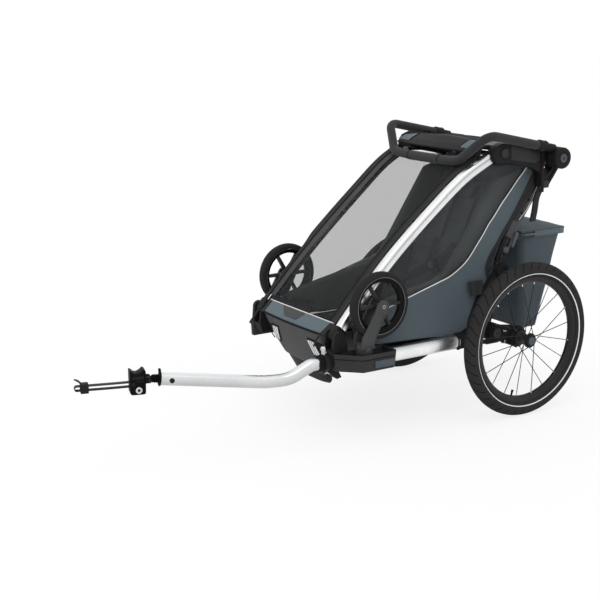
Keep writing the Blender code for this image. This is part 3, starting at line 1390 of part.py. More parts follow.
def make_strap_keeper():
    """Keeper on the strap's far end, a flat ring round both plies."""
    start = strap_start()
    y = start - STRAP_LENGTH + 0.026
    half = STRAP_WIDTH / 2 + GAP
    inner, outer = STRAP_PLY_GAP / 2 + STRAP_THICKNESS + GAP, 0.0115
    side = half + 0.0032
    outline = [(-side, -outer), (side, -outer), (side, outer), (-side, outer)]
    hole = [(-half, -inner), (half, -inner), (half, inner), (-half, inner)]
    ring = body_of(prism, "y", [(a, b + STRAP_DROP) for a, b in outline], y - 0.0230, y,
                   holes=[[(a, b + STRAP_DROP) for a, b in hole]])
    add_at_hitch("strap_keeper", ring, "black_plastic", (0, y, STRAP_DROP))


def make_tow_lock_pin():
    """Spring pin that locks the tow arm in its receiver, with a bright head."""
    solid = bmesh.new()
    x, y, z = RECEIVER_AT
    start = ARM_TUBE_R + GAP + RECEIVER_WALL + GAP
    at_y = y + RECEIVER_LENGTH / 2
    profile = [(start, LOCK_PIN_R), (start + 0.014, LOCK_PIN_R), (start + 0.014, 0.0085),
               (start + 0.024, 0.0085), (start + 0.026, 0.0060)]
    turned(solid, (x, at_y, z), (0, 0, 1), profile, 16)
    add_mesh("tow_lock_pin", solid, "steel", (x, at_y, z + start))


def make_arm_button():
    """Round button in the tow arm's side near the hitch."""
    centre, across = button_place()
    start, end = centre + across * (ARM_TUBE_R - BUTTON_SINK), centre + across * (ARM_TUBE_R + BUTTON_PROUD)
    add_mesh("tow_arm_button", body_of(cylinder, start, end, BUTTON_R, 14, 0.0008), "black_plastic", start)


def make_brake_pedal():
    """Parking brake pedal under the rear beam, on the left."""
    y, z = ARM_PIVOT
    pin_z = z - REAR_BEAM_R - 0.004 - GAP
    x0, x1 = 0.150, 0.196
    pad = pin_z - 0.0440
    bodies = [body_of(cylinder, (x0, y, pin_z), (x1, y, pin_z), 0.0040, 10),
              body_of(rounded_block, (x0, y + 0.0320, pad - 0.004), (x1, y + 0.0860, pad + 0.004), 0.002, 1)]
    for x in (x0 + 0.001, x1 - 0.011):
        arm = [(y - 0.003, pin_z - 0.002), (y + 0.003, pin_z + 0.001), (y + 0.048, pad + 0.002),
               (y + 0.038, pad - 0.002)]
        bodies.append(body_of(prism, "x", arm, x, x + 0.010))
    add_joined("brake_pedal", bodies, "black_plastic", (x0, y, pin_z))


def make_wrist_strap():
    """Looped web that hangs from the left shoulder."""
    solid = bmesh.new()
    y, z = STRUT_HEAD
    top = z - 0.0203
    x = SHOULDER_X_IN + 0.016
    route = [Vector((x, y - 0.008, top)), Vector((x + 0.001, y - 0.024, top - 0.030)),
             Vector((x + 0.001, y - 0.030, top - 0.070)), Vector((x, y - 0.036, top - 0.108))]
    swept(solid, route, [(-0.003, -0.012), (0.003, -0.012), (0.003, 0.012), (-0.003, 0.012)])
    add_mesh("wrist_strap", solid, "black_plastic")


def build():
    """Make the whole trailer."""
    for side, tag in SIDES:
        make_tyre(side, tag)
        make_rim(side, tag)
        make_hub(side, tag)
        make_hub_button(side, tag)
        make_suspension_arm(side, tag)
        make_side_rail(side, tag)
        make_rear_bracket(side, tag)
        make_tray(side, tag)
        make_small_tyre(side, tag)
        make_small_rim(side, tag)
        make_fork(side, tag)
        make_front_tube(side, tag)
        make_shoulder(side, tag)
        make_rear_strut(side, tag)
        make_lock_lever(side, tag)
        make_push_hub(side, tag)
        make_push_button(side, tag)
        make_side_panel(side, tag)
    make_rear_beam()
    make_front_knuckles()
    make_floor_pan()
    make_footwell()
    make_canopy()
    make_canopy_bar()
    make_push_bar()
    make_front_cover()
    make_back_cloth()
    make_seat()
    make_harness()
    make_cargo_bag()
    make_bag_lid()
    make_tow_receiver()
    make_tow_arm()
    make_coupling_neck()
    make_hitch_jaw()
    make_safety_strap()
    make_strap_keeper()
    make_tow_lock_pin()
    make_arm_button()
    make_brake_pedal()
    make_wrist_strap()


clear_scene()
TRAILER = bpy.data.objects.new("trailer", None)
bpy.context.collection.objects.link(TRAILER)
TRAILER.location = (0, ORIGIN_AHEAD, 0)
build()
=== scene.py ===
"""Studio scene of a child bike trailer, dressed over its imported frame.

Metres. Sizes are written in the axle frame, whose y = 0 is the wheel axle, and a
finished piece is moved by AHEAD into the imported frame. +X is the trailer's left side,
where the tow arm sits, and it faces -Y.
"""

import logging
import math
from dataclasses import dataclass, field
from enum import Enum
from typing import Callable, Optional, Sequence

import bmesh
import bpy
from mathutils import Matrix, Vector, noise


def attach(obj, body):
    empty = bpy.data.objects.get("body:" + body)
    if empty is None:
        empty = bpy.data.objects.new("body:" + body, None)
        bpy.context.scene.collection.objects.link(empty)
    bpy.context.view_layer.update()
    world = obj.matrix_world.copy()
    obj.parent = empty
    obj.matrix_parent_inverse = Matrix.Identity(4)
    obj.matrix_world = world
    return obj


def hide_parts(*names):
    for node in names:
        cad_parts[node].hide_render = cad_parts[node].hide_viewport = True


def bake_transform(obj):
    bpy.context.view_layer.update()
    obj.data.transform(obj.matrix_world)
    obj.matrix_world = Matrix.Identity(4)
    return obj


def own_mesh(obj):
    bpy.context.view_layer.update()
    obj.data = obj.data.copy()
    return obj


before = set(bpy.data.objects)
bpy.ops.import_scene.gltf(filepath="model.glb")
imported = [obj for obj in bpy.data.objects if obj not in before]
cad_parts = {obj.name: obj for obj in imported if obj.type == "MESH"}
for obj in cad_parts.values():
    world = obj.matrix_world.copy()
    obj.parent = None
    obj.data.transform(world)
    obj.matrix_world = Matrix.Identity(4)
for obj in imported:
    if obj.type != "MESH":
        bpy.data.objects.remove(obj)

LOG = logging.getLogger("trailer")
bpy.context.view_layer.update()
AHEAD = 0.4936
SIDES = ((1, "left"), (-1, "right"))
Point = tuple[float, float]
Piece = bpy.types.Object

AXLE_Z = 0.250
WHEEL_X = 0.315
FOLD_PIVOT = (-0.6650, 0.3350)
STRUT_FOOT = (-0.0300, 0.4520)
STRUT_HEAD = (0.1280, 0.7350)
TUBE_KEYS = ((0.2050, -0.6440, 0.3520), (0.2020, -0.5420, 0.4620), (0.2000, -0.4330, 0.5680),
             (0.2030, -0.2880, 0.6920), (0.2080, -0.1900, 0.7690), (0.2120, -0.0950, 0.8210))


# Finishes

class Grain(Enum):
    """How a surface was made, which is what its relief shows."""

    MOULDED = "spark eroded mould, fine and even"
    BRUSHED = "drawn along, then anodised"
    WOVEN = "warp and weft of a coated polyester"
    MESH = "open knit that one sees through"
    KNIT = "brushed fabric over foam, with no set direction"
    FOAM = "closed cells of a grip foam"
    TREAD = "rubber with sipes cut across its shoulder"
    POLISHED = "smooth from the mould or the roller"


def linear(colour: str) -> tuple[float, float, float, float]:
    """Turn an sRGB hex colour to linear light.

    Args:
        colour: Six hex digits.

    Returns:
        Red, green, blue and a full alpha.
    """
    channels = [int(colour[i:i + 2], 16) / 255 for i in (0, 2, 4)]
    return (*(c / 12.92 if c <= 0.04045 else ((c + 0.055) / 1.055) ** 2.4 for c in channels), 1.0)


def add_node(tree: bpy.types.NodeTree, kind: str, inputs: Optional[dict] = None,
             **settings) -> bpy.types.Node:
    """Add a node with its settings and links.

    Args:
        tree: The material's node tree.
        kind: The node's type name.
        inputs: Socket name or number to a value, or to the socket that feeds it.
        **settings: Properties of the node.

    Returns:
        The new node.
    """
    node = tree.nodes.new(kind)
    for key, value in settings.items():
        setattr(node, key, value)
    for key, value in (inputs or {}).items():
        if isinstance(value, bpy.types.NodeSocket):
            tree.links.new(value, node.inputs[key])
        else:
            node.inputs[key].default_value = value
    return node


@dataclass(frozen=True)
class Finish:
    """A material by its common name, and how its surface was made.

    colour and tint are sRGB; the tint clouds the colour over span metres. grain_mm is
    the relief's real pitch and relief_mm its height. gloss is the share of a mirror's
    reflection that a dull, dusty surface still gives, 0.5 being a clean one. The bands are
    painted shade and reflection: shades at shares round an extrusion's section, which is
    section metres about.
    """

    name: str
    slot: str
    colour: str
    tint: str
    roughness: float
    grain: Grain = Grain.MOULDED
    grain_mm: float = 1.6
    relief_mm: float = 0.05
    metallic: float = 0.0
    sheen: float = 0.0
    coat: float = 0.0
    alpha: float = 1.0
    span: float = 0.09
    gloss: float = 0.5
    section: float = 0.0
    shade_bands: tuple[Point, ...] = ()

    def material(self) -> bpy.types.Material:
        """Make this finish's material once, and give it again when asked."""
        known = bpy.data.materials.get(self.name)
        if known:
            return known
        made = bpy.data.materials.new(self.name)
        made.use_nodes = True
        tree = made.node_tree
        shader = tree.nodes["Principled BSDF"]
        place = add_node(tree, "ShaderNodeTexCoord")
        clouds = add_node(tree, "ShaderNodeTexNoise", {"Vector": place.outputs["Object"],
                                                       "Scale": 1 / self.span, "Detail": 3.0})
        share = add_node(tree, "ShaderNodeMapRange", {"Value": clouds.outputs["Fac"], "From Min": 0.35,
                                                      "From Max": 0.65})
        blend = add_node(tree, "ShaderNodeMix", {0: share.outputs["Result"], 6: linear(self.colour),
                                                 7: linear(self.tint)}, data_type="RGBA")
        height, colour = self._relief(tree, place, self._paint_shade_bands(tree, place, blend.outputs[2]))
        tree.links.new(colour, shader.inputs["Base Color"])
        worn = add_node(tree, "ShaderNodeMapRange", {"Value": clouds.outputs["Fac"], "From Min": 0.3,
                                                     "From Max": 0.7, "To Min": self.roughness * 0.88,
                                                     "To Max": min(1.0, self.roughness * 1.12)})
        tree.links.new(worn.outputs["Result"], shader.inputs["Roughness"])
        if height:
            bump = add_node(tree, "ShaderNodeBump", {"Height": height, "Strength": 1.0,
                                                     "Distance": self.relief_mm / 1000})
            tree.links.new(bump.outputs["Normal"], shader.inputs["Normal"])
        shader.inputs["Metallic"].default_value = self.metallic
        shader.inputs["Sheen Weight"].default_value = self.sheen
        shader.inputs["Coat Weight"].default_value = self.coat
        shader.inputs["Alpha"].default_value = self.alpha
        shader.inputs["Specular IOR Level"].default_value = self.gloss
        return made

    def _paint_shade_bands(self, tree: bpy.types.NodeTree, place: bpy.types.Node,
                colour: bpy.types.NodeSocket) -> bpy.types.NodeSocket:
        """Paint shade and reflection into the colour round an extrusion's section, by its UVs.

        Args:
            tree: The material's node tree.
            place: The Texture Coordinate node.
            colour: The socket of the clouded colour.

        Returns:
            The shaded colour's socket.
        """
        if not self.shade_bands:
            return colour
        parts = add_node(tree, "ShaderNodeSeparateXYZ", {"Vector": place.outputs["UV"]})
        share = add_node(tree, "ShaderNodeMath", {0: parts.outputs["X"], 1: self.section},
                         operation="DIVIDE")
        ramp = add_node(tree, "ShaderNodeValToRGB", {"Fac": share.outputs[0]})
        keys = ramp.color_ramp.elements
        while len(keys) < len(self.shade_bands):
            keys.new(0.5)
        for key, (at, shade) in zip(keys, self.shade_bands):
            key.position = at
            key.color = (shade, shade, shade, 1.0)
        return add_node(tree, "ShaderNodeVectorMath", {0: colour, 1: ramp.outputs["Color"]},
                        operation="MULTIPLY").outputs[0]

    def _relief(self, tree: bpy.types.NodeTree, place: bpy.types.Node,
                colour: bpy.types.NodeSocket) -> tuple:
        """Draw the grain's height, and its shade in the colour.

        Args:
            tree: The material's node tree.
            place: The Texture Coordinate node.
            colour: The socket of the clouded colour.

        Returns:
            The height's socket or None, and the colour's socket.
        """
        pitch = self.grain_mm / 1000
        at = place.outputs["Object"]
        if self.grain is Grain.POLISHED:
            return None, colour
        if self.grain in (Grain.WOVEN, Grain.MESH):
            flat = place.outputs["UV"]
            waves = [add_node(tree, "ShaderNodeTexWave", {"Vector": flat, "Scale": 0.314 / pitch,
                                                          "Distortion": 0.4, "Detail": 1.0},
                              wave_type="BANDS", bands_direction=way).outputs["Fac"] for way in ("X", "Y")]
            height = add_node(tree, "ShaderNodeMath", {0: waves[0], 1: waves[1]},
                              operation="MULTIPLY").outputs[0]
            low, high = (0.88, 1.10) if self.grain is Grain.WOVEN else (0.88, 1.12)
        elif self.grain is Grain.BRUSHED:
            drawn = add_node(tree, "ShaderNodeMapping", {"Vector": at, "Scale": (1.0, 0.06, 0.06)})
            height = add_node(tree, "ShaderNodeTexNoise", {"Vector": drawn.outputs[0], "Scale": 1 / pitch,
                                                           "Detail": 2.0}).outputs["Fac"]
            low, high = 0.93, 1.05
        elif self.grain is Grain.TREAD:
            height = self._sipes(tree, at)
            # The sipes are darkened to a quarter in the colour: painted shade in the cuts
            low, high = 0.25, 1.0
        else:
            height = add_node(tree, "ShaderNodeTexNoise", {"Vector": at, "Scale": 1 / pitch,
                                                           "Detail": 4.0, "Roughness": 0.6}).outputs["Fac"]
            low, high = 0.85, 1.18
        shade = add_node(tree, "ShaderNodeMapRange", {"Value": height, "To Min": low, "To Max": high})
        mixed = add_node(tree, "ShaderNodeVectorMath", {0: colour, "Scale": shade.outputs["Result"]},
                         operation="SCALE")
        return height, mixed.outputs[0]

    def _sipes(self, tree: bpy.types.NodeTree, at: bpy.types.NodeSocket) -> bpy.types.NodeSocket:
        """Draw curved sipes across a main tyre's shoulder, seen from its axle.

        Args:
            tree: The material's node tree.
            at: The Object coordinates.

        Returns:
            A socket that is 0 in a sipe and 1 beside it.
        """
        def sums(kind: str, first, second=0.0) -> bpy.types.NodeSocket:
            """One Math node on two values or sockets."""
            return add_node(tree, "ShaderNodeMath", {0: first, 1: second}, operation=kind).outputs[0]

        hub = add_node(tree, "ShaderNodeMapping", {"Vector": at, "Location": (0, -AHEAD, -AXLE_Z)})
        parts = add_node(tree, "ShaderNodeSeparateXYZ", {"Vector": hub.outputs[0]})
        turn = sums("ARCTAN2", parts.outputs["Z"], parts.outputs["Y"])
        reach = sums("SQRT", sums("ADD", sums("POWER", parts.outputs["Y"], 2.0),
                                  sums("POWER", parts.outputs["Z"], 2.0)))
        out = sums("SUBTRACT", reach, 0.226)
        lean = sums("MULTIPLY", sums("POWER", sums("MULTIPLY", out, 44.0), 2.0), 0.62)
        wave = sums("FRACT", sums("ADD", sums("MULTIPLY", turn, 44 / (2 * math.pi)), lean))
        near = sums("LESS_THAN", sums("ABSOLUTE", sums("SUBTRACT", wave, 0.5)), 0.055)
        shoulder = sums("GREATER_THAN", out, 0.004)
        return sums("SUBTRACT", 1.0, sums("MULTIPLY", near, shoulder))


# Butyl rubber from a mould: dull, with a faint grey bloom, and painted shade in its sipes
TYRE_RUBBER = Finish("butyl_tread", "tyre_rubber", "2a2a2a", "303030", 0.82, Grain.TREAD, 44, 0.5,
                     gloss=0.1)
SOFT_RUBBER = Finish("moulded_rubber", "tyre_rubber", "1f1f1f", "272727", 0.78, Grain.MOULDED, 2.2, 0.08,
                     gloss=0.15)
# Glass-bead reflective tape, printed on the sidewall: pale and matt
REFLECTIVE_TAPE = Finish("reflective_tape", "tyre_rubber", "e9e9e6", "d9dad8", 0.45, Grain.MOULDED,
                         1.2, 0.02)
# Aluminium rim, black anodised: satin, cool where it catches light
RIM_BLACK = Finish("black_anodised_rim", "black_metal", "1a1a1b", "222223", 0.42, Grain.BRUSHED, 1.4, 0.03,
                   0.2, gloss=0.3)
STEEL_PAINT = Finish("powder_coated_steel", "black_metal", "1c1c1d", "252526", 0.50, Grain.MOULDED, 2.4,
                     0.06, gloss=0.3)
SPOKE_STEEL = Finish("black_oxide_spokes", "dark_steel", "1c1d1e", "2a2b2c", 0.36, Grain.BRUSHED, 1.0,
                     0.01, 0.8)
BRIGHT_STEEL = Finish("nickel_plated_steel", "bright_steel", "d2d3d4", "c0c2c4", 0.24, Grain.BRUSHED, 1.0,
                      0.01, 1.0)
# Bright metal rings laid on the stroller tyres' edges: painted highlights there
RIM_EDGE_HIGHLIGHT = Finish("rim_edge_highlight", "bright_steel", "8b8d90", "6f7174", 0.30, Grain.BRUSHED,
                  1.0, 0.01, 0.9)
# Glass-filled nylon from an eroded mould: a little sheen, never a clean highlight
NYLON = Finish("glass_filled_nylon", "black_plastic", "1a1a1b", "212122", 0.52, Grain.MOULDED, 2.0, 0.07,
               gloss=0.1)
# A paler copy of the black nylon, for trays, dials, clips and struts
NYLON_PALER = Finish("paler_nylon", "black_plastic", "252526", "2e2e30", 0.58, Grain.MOULDED, 2.6, 0.10,
                    gloss=0.25)
JAW_NYLON = Finish("jaw_nylon", "black_plastic", "0c0c0d", "111112", 0.50, Grain.MOULDED, 2.4, 0.06,
                   gloss=0.05)
FORK_NYLON = Finish("fork_nylon", "black_plastic", "323334", "3a3b3c", 0.54, Grain.MOULDED, 2.4, 0.08,
                    gloss=0.4)
GREY_PLASTIC = Finish("slate_abs", "grey_plastic", "3c444c", "454e57", 0.46, Grain.MOULDED, 1.8, 0.05,
                      gloss=0.35)
# Clear anodised extrusion, drawn along its length: near white, with painted shade and reflection
# across its section where its facets turn from the light
TUBE_ALUMINIUM = Finish("tube_aluminium", "aluminium", "f2f3f3", "e9ebec", 0.28, Grain.BRUSHED, 1.2, 0.02,
                        1.0, section=0.1182,
                        shade_bands=((0.00, 1.0), (0.20, 1.0), (0.23, 0.60), (0.50, 0.50), (0.70, 0.80),
                               (0.77, 1.0), (0.83, 0.82), (0.90, 0.34), (0.955, 0.42), (0.985, 0.95)))
# Rail extrusion: its bands are painted shade and reflection round its section
RAIL_ALUMINIUM = Finish("rail_aluminium", "aluminium", "f4f5f5", "eceeef", 0.28, Grain.BRUSHED, 1.2, 0.02,
                        1.0, section=0.1280,
                        shade_bands=((0.00, 0.5), (0.22, 0.60), (0.31, 0.80), (0.38, 1.0), (0.52, 1.0),
                               (0.60, 0.80), (0.66, 0.52), (0.75, 0.40), (0.90, 0.40)))
# Tow arm extrusion: its bands are painted shade and reflection, darker along one face
ARM_ALUMINIUM = Finish("arm_aluminium", "aluminium", "eff0f1", "e6e8e9", 0.30, Grain.BRUSHED, 1.2, 0.02,
                       1.0, section=0.1190,
                       shade_bands=((0.00, 0.96), (0.10, 0.88), (0.20, 0.86), (0.26, 0.66), (0.34, 0.66),
                              (0.44, 0.86), (0.55, 1.0), (0.80, 0.90), (1.00, 0.96)))
# Coated polyester; its 0.5 mm thread is drawn at 2.4 mm so that the weave shows at this size
SLATE_CLOTH = Finish("slate_polyester", "slate_cloth", "47535a", "4d5a61", 0.86, Grain.WOVEN, 2.4, 0.16, 0,
                     0.12, span=0.16)
LIGHT_SLATE = Finish("pale_slate_polyester", "slate_cloth", "54626a", "5b6a72", 0.84, Grain.WOVEN, 2.4,
                     0.12, 0, 0.10)
BAG_CLOTH = Finish("bag_polyester", "slate_cloth", "3f4a51", "465259", 0.88, Grain.WOVEN, 2.4, 0.16, 0,
                   0.10, span=0.14)
DARK_CLOTH = Finish("charcoal_polyester", "dark_cloth", "2a2a2a", "313131", 0.88, Grain.WOVEN, 2.4, 0.12,
                    0, 0.08, gloss=0.08)
PAD_CLOTH = Finish("charcoal_brushed_knit", "dark_cloth", "3f4342", "464a49", 0.95, Grain.KNIT, 2.8, 0.03,
                   0, 0.05, gloss=0.2)
# Open polyester mesh; holes of 1 mm are drawn at 3 mm, and its see-through share is its alpha
COVER_MESH = Finish("open_polyester_mesh", "tinted_film", "3d3e3f", "454647", 0.80, Grain.MESH, 3.0, 0.03,
                    alpha=0.21, gloss=0.2)
# Clear vinyl film, calendered: glossy; its waves are in its mesh
CLEAR_FILM = Finish("clear_vinyl_film", "tinted_film", "55585a", "606466", 0.22, Grain.POLISHED, alpha=0.15)
PIPING = Finish("white_piping", "webbing", "dcdcd8", "e8e8e4", 0.62, Grain.KNIT, 1.6, 0.05)
BLACK_PIPING = Finish("black_piping", "webbing", "141414", "1c1c1c", 0.74, Grain.KNIT, 1.6, 0.05, gloss=0.2)
WEBBING = Finish("polyester_webbing", "webbing", "1e1e1e", "282828", 0.82, Grain.WOVEN, 2.0, 0.2, 0, 0.1,
                 gloss=0.25)
# Closed cell foam sleeve: dull, with pin holes
FOAM = Finish("closed_cell_foam", "foam", "282829", "303031", 0.90, Grain.FOAM, 1.5, 0.22, 0, 0.12,
              gloss=0.3)
REFLECTOR = Finish("prismatic_reflector", "grey_plastic", "e4e6e8", "c9ccd0", 0.22, Grain.MOULDED, 5.0,
                   0.6, 0.2, 0, 0.5)
# Nylon darker than the rest, for trims, seams, slots, pockets, rims and the receiver's mouth: partly their
# own black, partly painted shade where they sit back from the light
BLACK_AND_SHADE_NYLON = Finish("black_and_shade_nylon", "black_plastic", "101011", "161617", 0.62, Grain.MOULDED, 2.4, 0.06,
                     gloss=0.08)
NOSE_PLASTIC = Finish("charcoal_polyethylene", "black_plastic", "363637", "3d3d3e", 0.58, Grain.MOULDED,
                      2.6, 0.08, gloss=0.3)
# White studio sweep: matt paint
FLOOR = Finish("white_sweep", "black_plastic", "ffffff", "ffffff", 0.9, Grain.POLISHED)


# Modelling as by hand

def deselect_all() -> None:
    """Leave edit mode with nothing selected."""
    if bpy.context.object and bpy.context.object.mode != "OBJECT":
        bpy.ops.object.mode_set(mode="OBJECT")
    bpy.ops.object.select_all(action="DESELECT")


def take(*pieces: Piece) -> Piece:
    """Select these pieces alone, the first one active.

    Args:
        *pieces: Objects to select.

    Returns:
        The active piece.
    """
    deselect_all()
    for piece in pieces:
        piece.select_set(True)
    bpy.context.view_layer.objects.active = pieces[0]
    return pieces[0]


def edit(piece: Piece) -> None:
    """Enter edit mode on one piece, in vertex mode, all of it selected."""
    take(piece)
    bpy.ops.object.mode_set(mode="EDIT")
    bpy.ops.mesh.select_mode(type="VERT")
    bpy.ops.mesh.select_all(action="SELECT")


def made(name: str) -> Piece:
    """Name the piece just made, with its place put into its mesh."""
    piece = bpy.context.object
    piece.name = piece.data.name = name
    bpy.ops.object.mode_set(mode="OBJECT")
    bpy.ops.object.transform_apply(location=True, rotation=True, scale=True)
    return piece


def apply_modifier(piece: Piece, kind: str, **settings) -> Piece:
    """Add a modifier and apply it.

    Args:
        piece: The piece it changes.
        kind: The modifier's type name.
        **settings: Its properties.

    Returns:
        The piece.
    """
    take(piece)
    modifier = piece.modifiers.new(kind.title(), kind)
    for key, value in settings.items():
        setattr(modifier, key, value)
    bpy.ops.object.modifier_apply(modifier=modifier.name)
    return piece


def pick_faces(piece: Piece, test: Callable[[Vector, Vector], bool]) -> None:
    """Select faces, in edit mode, by their middle and normal.

    Args:
        piece: The piece in edit mode.
        test: Takes a face's middle and normal, and says whether to select it.
    """
    bpy.ops.mesh.select_mode(type="FACE")
    bpy.ops.mesh.select_all(action="DESELECT")
    shape = bmesh.from_edit_mesh(piece.data)
    for face in shape.faces:
        face.select_set(bool(test(face.calc_center_median(), face.normal)))
    bmesh.update_edit_mesh(piece.data)


def soften(piece: Piece, width: float, steps: int = 2, angle: float = 30.0) -> Piece:
    """Round a piece's sharp edges, as its mould does."""
    return apply_modifier(piece, "BEVEL", width=width, segments=steps, limit_method="ANGLE",
                          angle_limit=math.radians(angle), use_clamp_overlap=True)


def shift_outline(piece: Piece, corners: Sequence[Vector]) -> None:
    """Move a primitive's corners, in their own order, onto given points."""
    for vert, corner in zip(piece.data.vertices, corners):
        vert.co = corner


def slab(name: str, axis: str, outline: Sequence[Point], low: float, high: float, edge: float = 0.0,
         steps: int = 2) -> Piece:
    """Extrude an outline along an axis and round its edges.

    Args:
        name: The piece's name.
        axis: The axis it is extruded along, "x", "y" or "z".
        outline: Corners in the other two axes, in order.
        low: Where it starts on the axis.
        high: Where it ends.
        edge: Radius of its edges.
        steps: Segments of that radius.

    Returns:
        The piece.
    """
    at = {"x": lambda a, b: Vector((low, a, b)), "y": lambda a, b: Vector((a, low, b)),
          "z": lambda a, b: Vector((a, b, low))}[axis]
    deselect_all()
    bpy.ops.mesh.primitive_circle_add(vertices=len(outline), fill_type="NGON")
    piece = bpy.context.object
    shift_outline(piece, [at(a, b) for a, b in outline])
    edit(piece)
    way = {"x": (high - low, 0, 0), "y": (0, high - low, 0), "z": (0, 0, high - low)}[axis]
    bpy.ops.mesh.extrude_region_move(TRANSFORM_OT_translate={"value": way})
    bpy.ops.mesh.select_all(action="SELECT")
    bpy.ops.mesh.normals_make_consistent(inside=False)
    made(name)
    return soften(piece, edge, steps) if edge else piece


def lathe(name: str, profile: Sequence[Point], centre: Sequence[float], axis: Sequence[float],
          steps: int = 48, ring: bool = False) -> Piece:
    """Turn a profile about an axis with the Spin tool.

    Args:
        name: The piece's name.
        profile: Points as distance along the axis and radius. An open profile ends on the axis.
        centre: A point on the axis.
        axis: The axis's direction.
        steps: Segments round it.
        ring: Whether the profile closes on itself.

    Returns:
        The piece.
    """
    middle, way = Vector(centre), Vector(axis).normalized()
    side = way.cross(Vector((0, 0, 1)) if abs(way.z) < 0.9 else Vector((0, 1, 0))).normalized()
    points = list(profile) if ring else [(profile[0][0], 0.0), *profile, (profile[-1][0], 0.0)]
    places = [middle + way * along + side * radius for along, radius in points]
    if ring:
        places.append(places[0])
    deselect_all()
    bpy.ops.mesh.primitive_plane_add(size=0.01)
    edit(bpy.context.object)
    bpy.ops.mesh.merge(type="CENTER")
    bpy.ops.transform.translate(value=places[0])
    for before, after in zip(places, places[1:]):
        bpy.ops.mesh.extrude_vertices_move(TRANSFORM_OT_translate={"value": after - before})
    bpy.ops.mesh.select_all(action="SELECT")
    bpy.ops.mesh.spin(steps=steps, angle=2 * math.pi, center=middle, axis=way)
    bpy.ops.mesh.select_all(action="SELECT")
    bpy.ops.mesh.remove_doubles(threshold=1e-6)
    bpy.ops.mesh.normals_make_consistent(inside=False)
    return made(name)


def rod(name: str, routes: Sequence[Sequence[Sequence[float]]], radius: float, sides: int = 3,
        radii: Optional[Sequence[float]] = None) -> Piece:
    """Bend round bars along routes, as one piece.

    Args:
        name: The piece's name.
        routes: One list of points for each bar.
        radius: The bars' radius.
        sides: The curve's bevel resolution.
        radii: Each point's share of the radius, for a bar that swells.

    Returns:
        The piece, as a mesh.
    """
    deselect_all()
    bpy.ops.curve.primitive_nurbs_path_add()
    curve = bpy.context.object
    curve.data.splines.clear()
    for route in routes:
        spline = curve.data.splines.new("POLY")
        spline.points.add(len(route) - 1)
        for number, place in enumerate(route):
            spline.points[number].co = (*place, 1)
            spline.points[number].radius = radii[number] if radii else 1.0
    curve.data.bevel_depth = radius
    curve.data.bevel_resolution = sides
    curve.data.use_fill_caps = True
    bpy.ops.object.convert(target="MESH")
    edit(curve)
    bpy.ops.mesh.remove_doubles(threshold=1e-7)
    bpy.ops.mesh.normals_make_consistent(inside=False)
    return made(name)


def bar(name: str, start: Sequence[float], end: Sequence[float], radius: float, edge: float = 0.0008,
        steps: int = 32) -> Piece:
    """Turn a round bar between two points, with its ends broken by edge."""
    length = (Vector(end) - Vector(start)).length
    profile = [(0, radius - edge), (edge, radius), (length - edge, radius), (length, radius - edge)]
    return lathe(name, profile, start, Vector(end) - Vector(start), steps)


def block(name: str, low: Sequence[float], high: Sequence[float], edge: float, steps: int = 3) -> Piece:
    """Shape a box between two corners, with every edge rounded."""
    low, high = Vector(low), Vector(high)
    deselect_all()
    bpy.ops.mesh.primitive_cube_add(size=1, location=(low + high) / 2)
    bpy.context.object.scale = [abs(a - b) for a, b in zip(high, low)]
    return soften(made(name), edge, steps)


def facing(rows: Sequence[Sequence[Vector]], side: int) -> Sequence[Sequence[Vector]]:
    """The rows as they are on the left, and with their points turned round on the right."""
    return rows if side > 0 else [row[::-1] for row in rows]


def skin(name: str, rows: Sequence[Sequence[Vector]], thickness: float = 0.0, ring: bool = False,
         caps: bool = False, smooth: int = 0) -> Piece:
    """Stretch a grid primitive over rows of points, with UVs in metres.

    Args:
        name: The piece's name.
        rows: Rows of points, all of one length.
        thickness: Wall given to an open sheet, about its middle.
        ring: Whether each row closes on itself, its last point on its first.
        caps: Whether the open ends are filled.
        smooth: Levels of Subdivision Surface.

    Returns:
        The piece.
    """
    wide, long = len(rows[0]), len(rows)
    deselect_all()
    bpy.ops.mesh.primitive_grid_add(x_subdivisions=wide - 1, y_subdivisions=long - 1, size=2, calc_uvs=True)
    piece = bpy.context.object
    shift_outline(piece, [point for row in rows for point in row])
    across = sum((b - a).length for a, b in zip(rows[long // 2], rows[long // 2][1:]))
    middle = [row[wide // 2] for row in rows]
    along = sum((b - a).length for a, b in zip(middle, middle[1:]))
    for corner in piece.data.uv_layers[0].data:
        corner.uv = (corner.uv[0] * across, corner.uv[1] * along)
    edit(piece)
    if ring:
        bpy.ops.mesh.remove_doubles(threshold=1e-6)
    if caps:
        bpy.ops.mesh.select_all(action="DESELECT")
        bpy.ops.mesh.select_mode(type="EDGE")
        bpy.ops.mesh.select_non_manifold()
        bpy.ops.mesh.edge_face_add() if not ring else bpy.ops.mesh.fill_holes(sides=0)
    bpy.ops.mesh.select_all(action="SELECT")
    bpy.ops.mesh.normals_make_consistent(inside=False)
    made(name)
    if thickness:
        apply_modifier(piece, "SOLIDIFY", thickness=thickness, offset=0.0, use_even_offset=True)
    if smooth:
        apply_modifier(piece, "SUBSURF", levels=smooth, render_levels=smooth)
    return piece


def join(name: str, pieces: Sequence[Piece]) -> Piece:
    """Join pieces that were cast or bolted into one, and name it."""
    take(*pieces)
    bpy.ops.object.join()
    return made(name)


def copy_of(name: str, piece: Piece, matrix: Matrix) -> Piece:
    """Copy a piece with its own mesh and move the copy; a mirror turns its faces back out."""
    take(piece)
    bpy.ops.object.duplicate()
    twin = bpy.context.object
    twin.data.transform(matrix)
    if matrix.determinant() < 0:
        edit(twin)
        bpy.ops.mesh.flip_normals()
    return made(name)


def cut(piece: Piece, tool: Piece) -> Piece:
    """Take one piece's shape out of another, and remove it."""
    apply_modifier(piece, "BOOLEAN", object=tool, operation="DIFFERENCE", solver="EXACT")
    bpy.data.objects.remove(tool, do_unlink=True)
    return piece


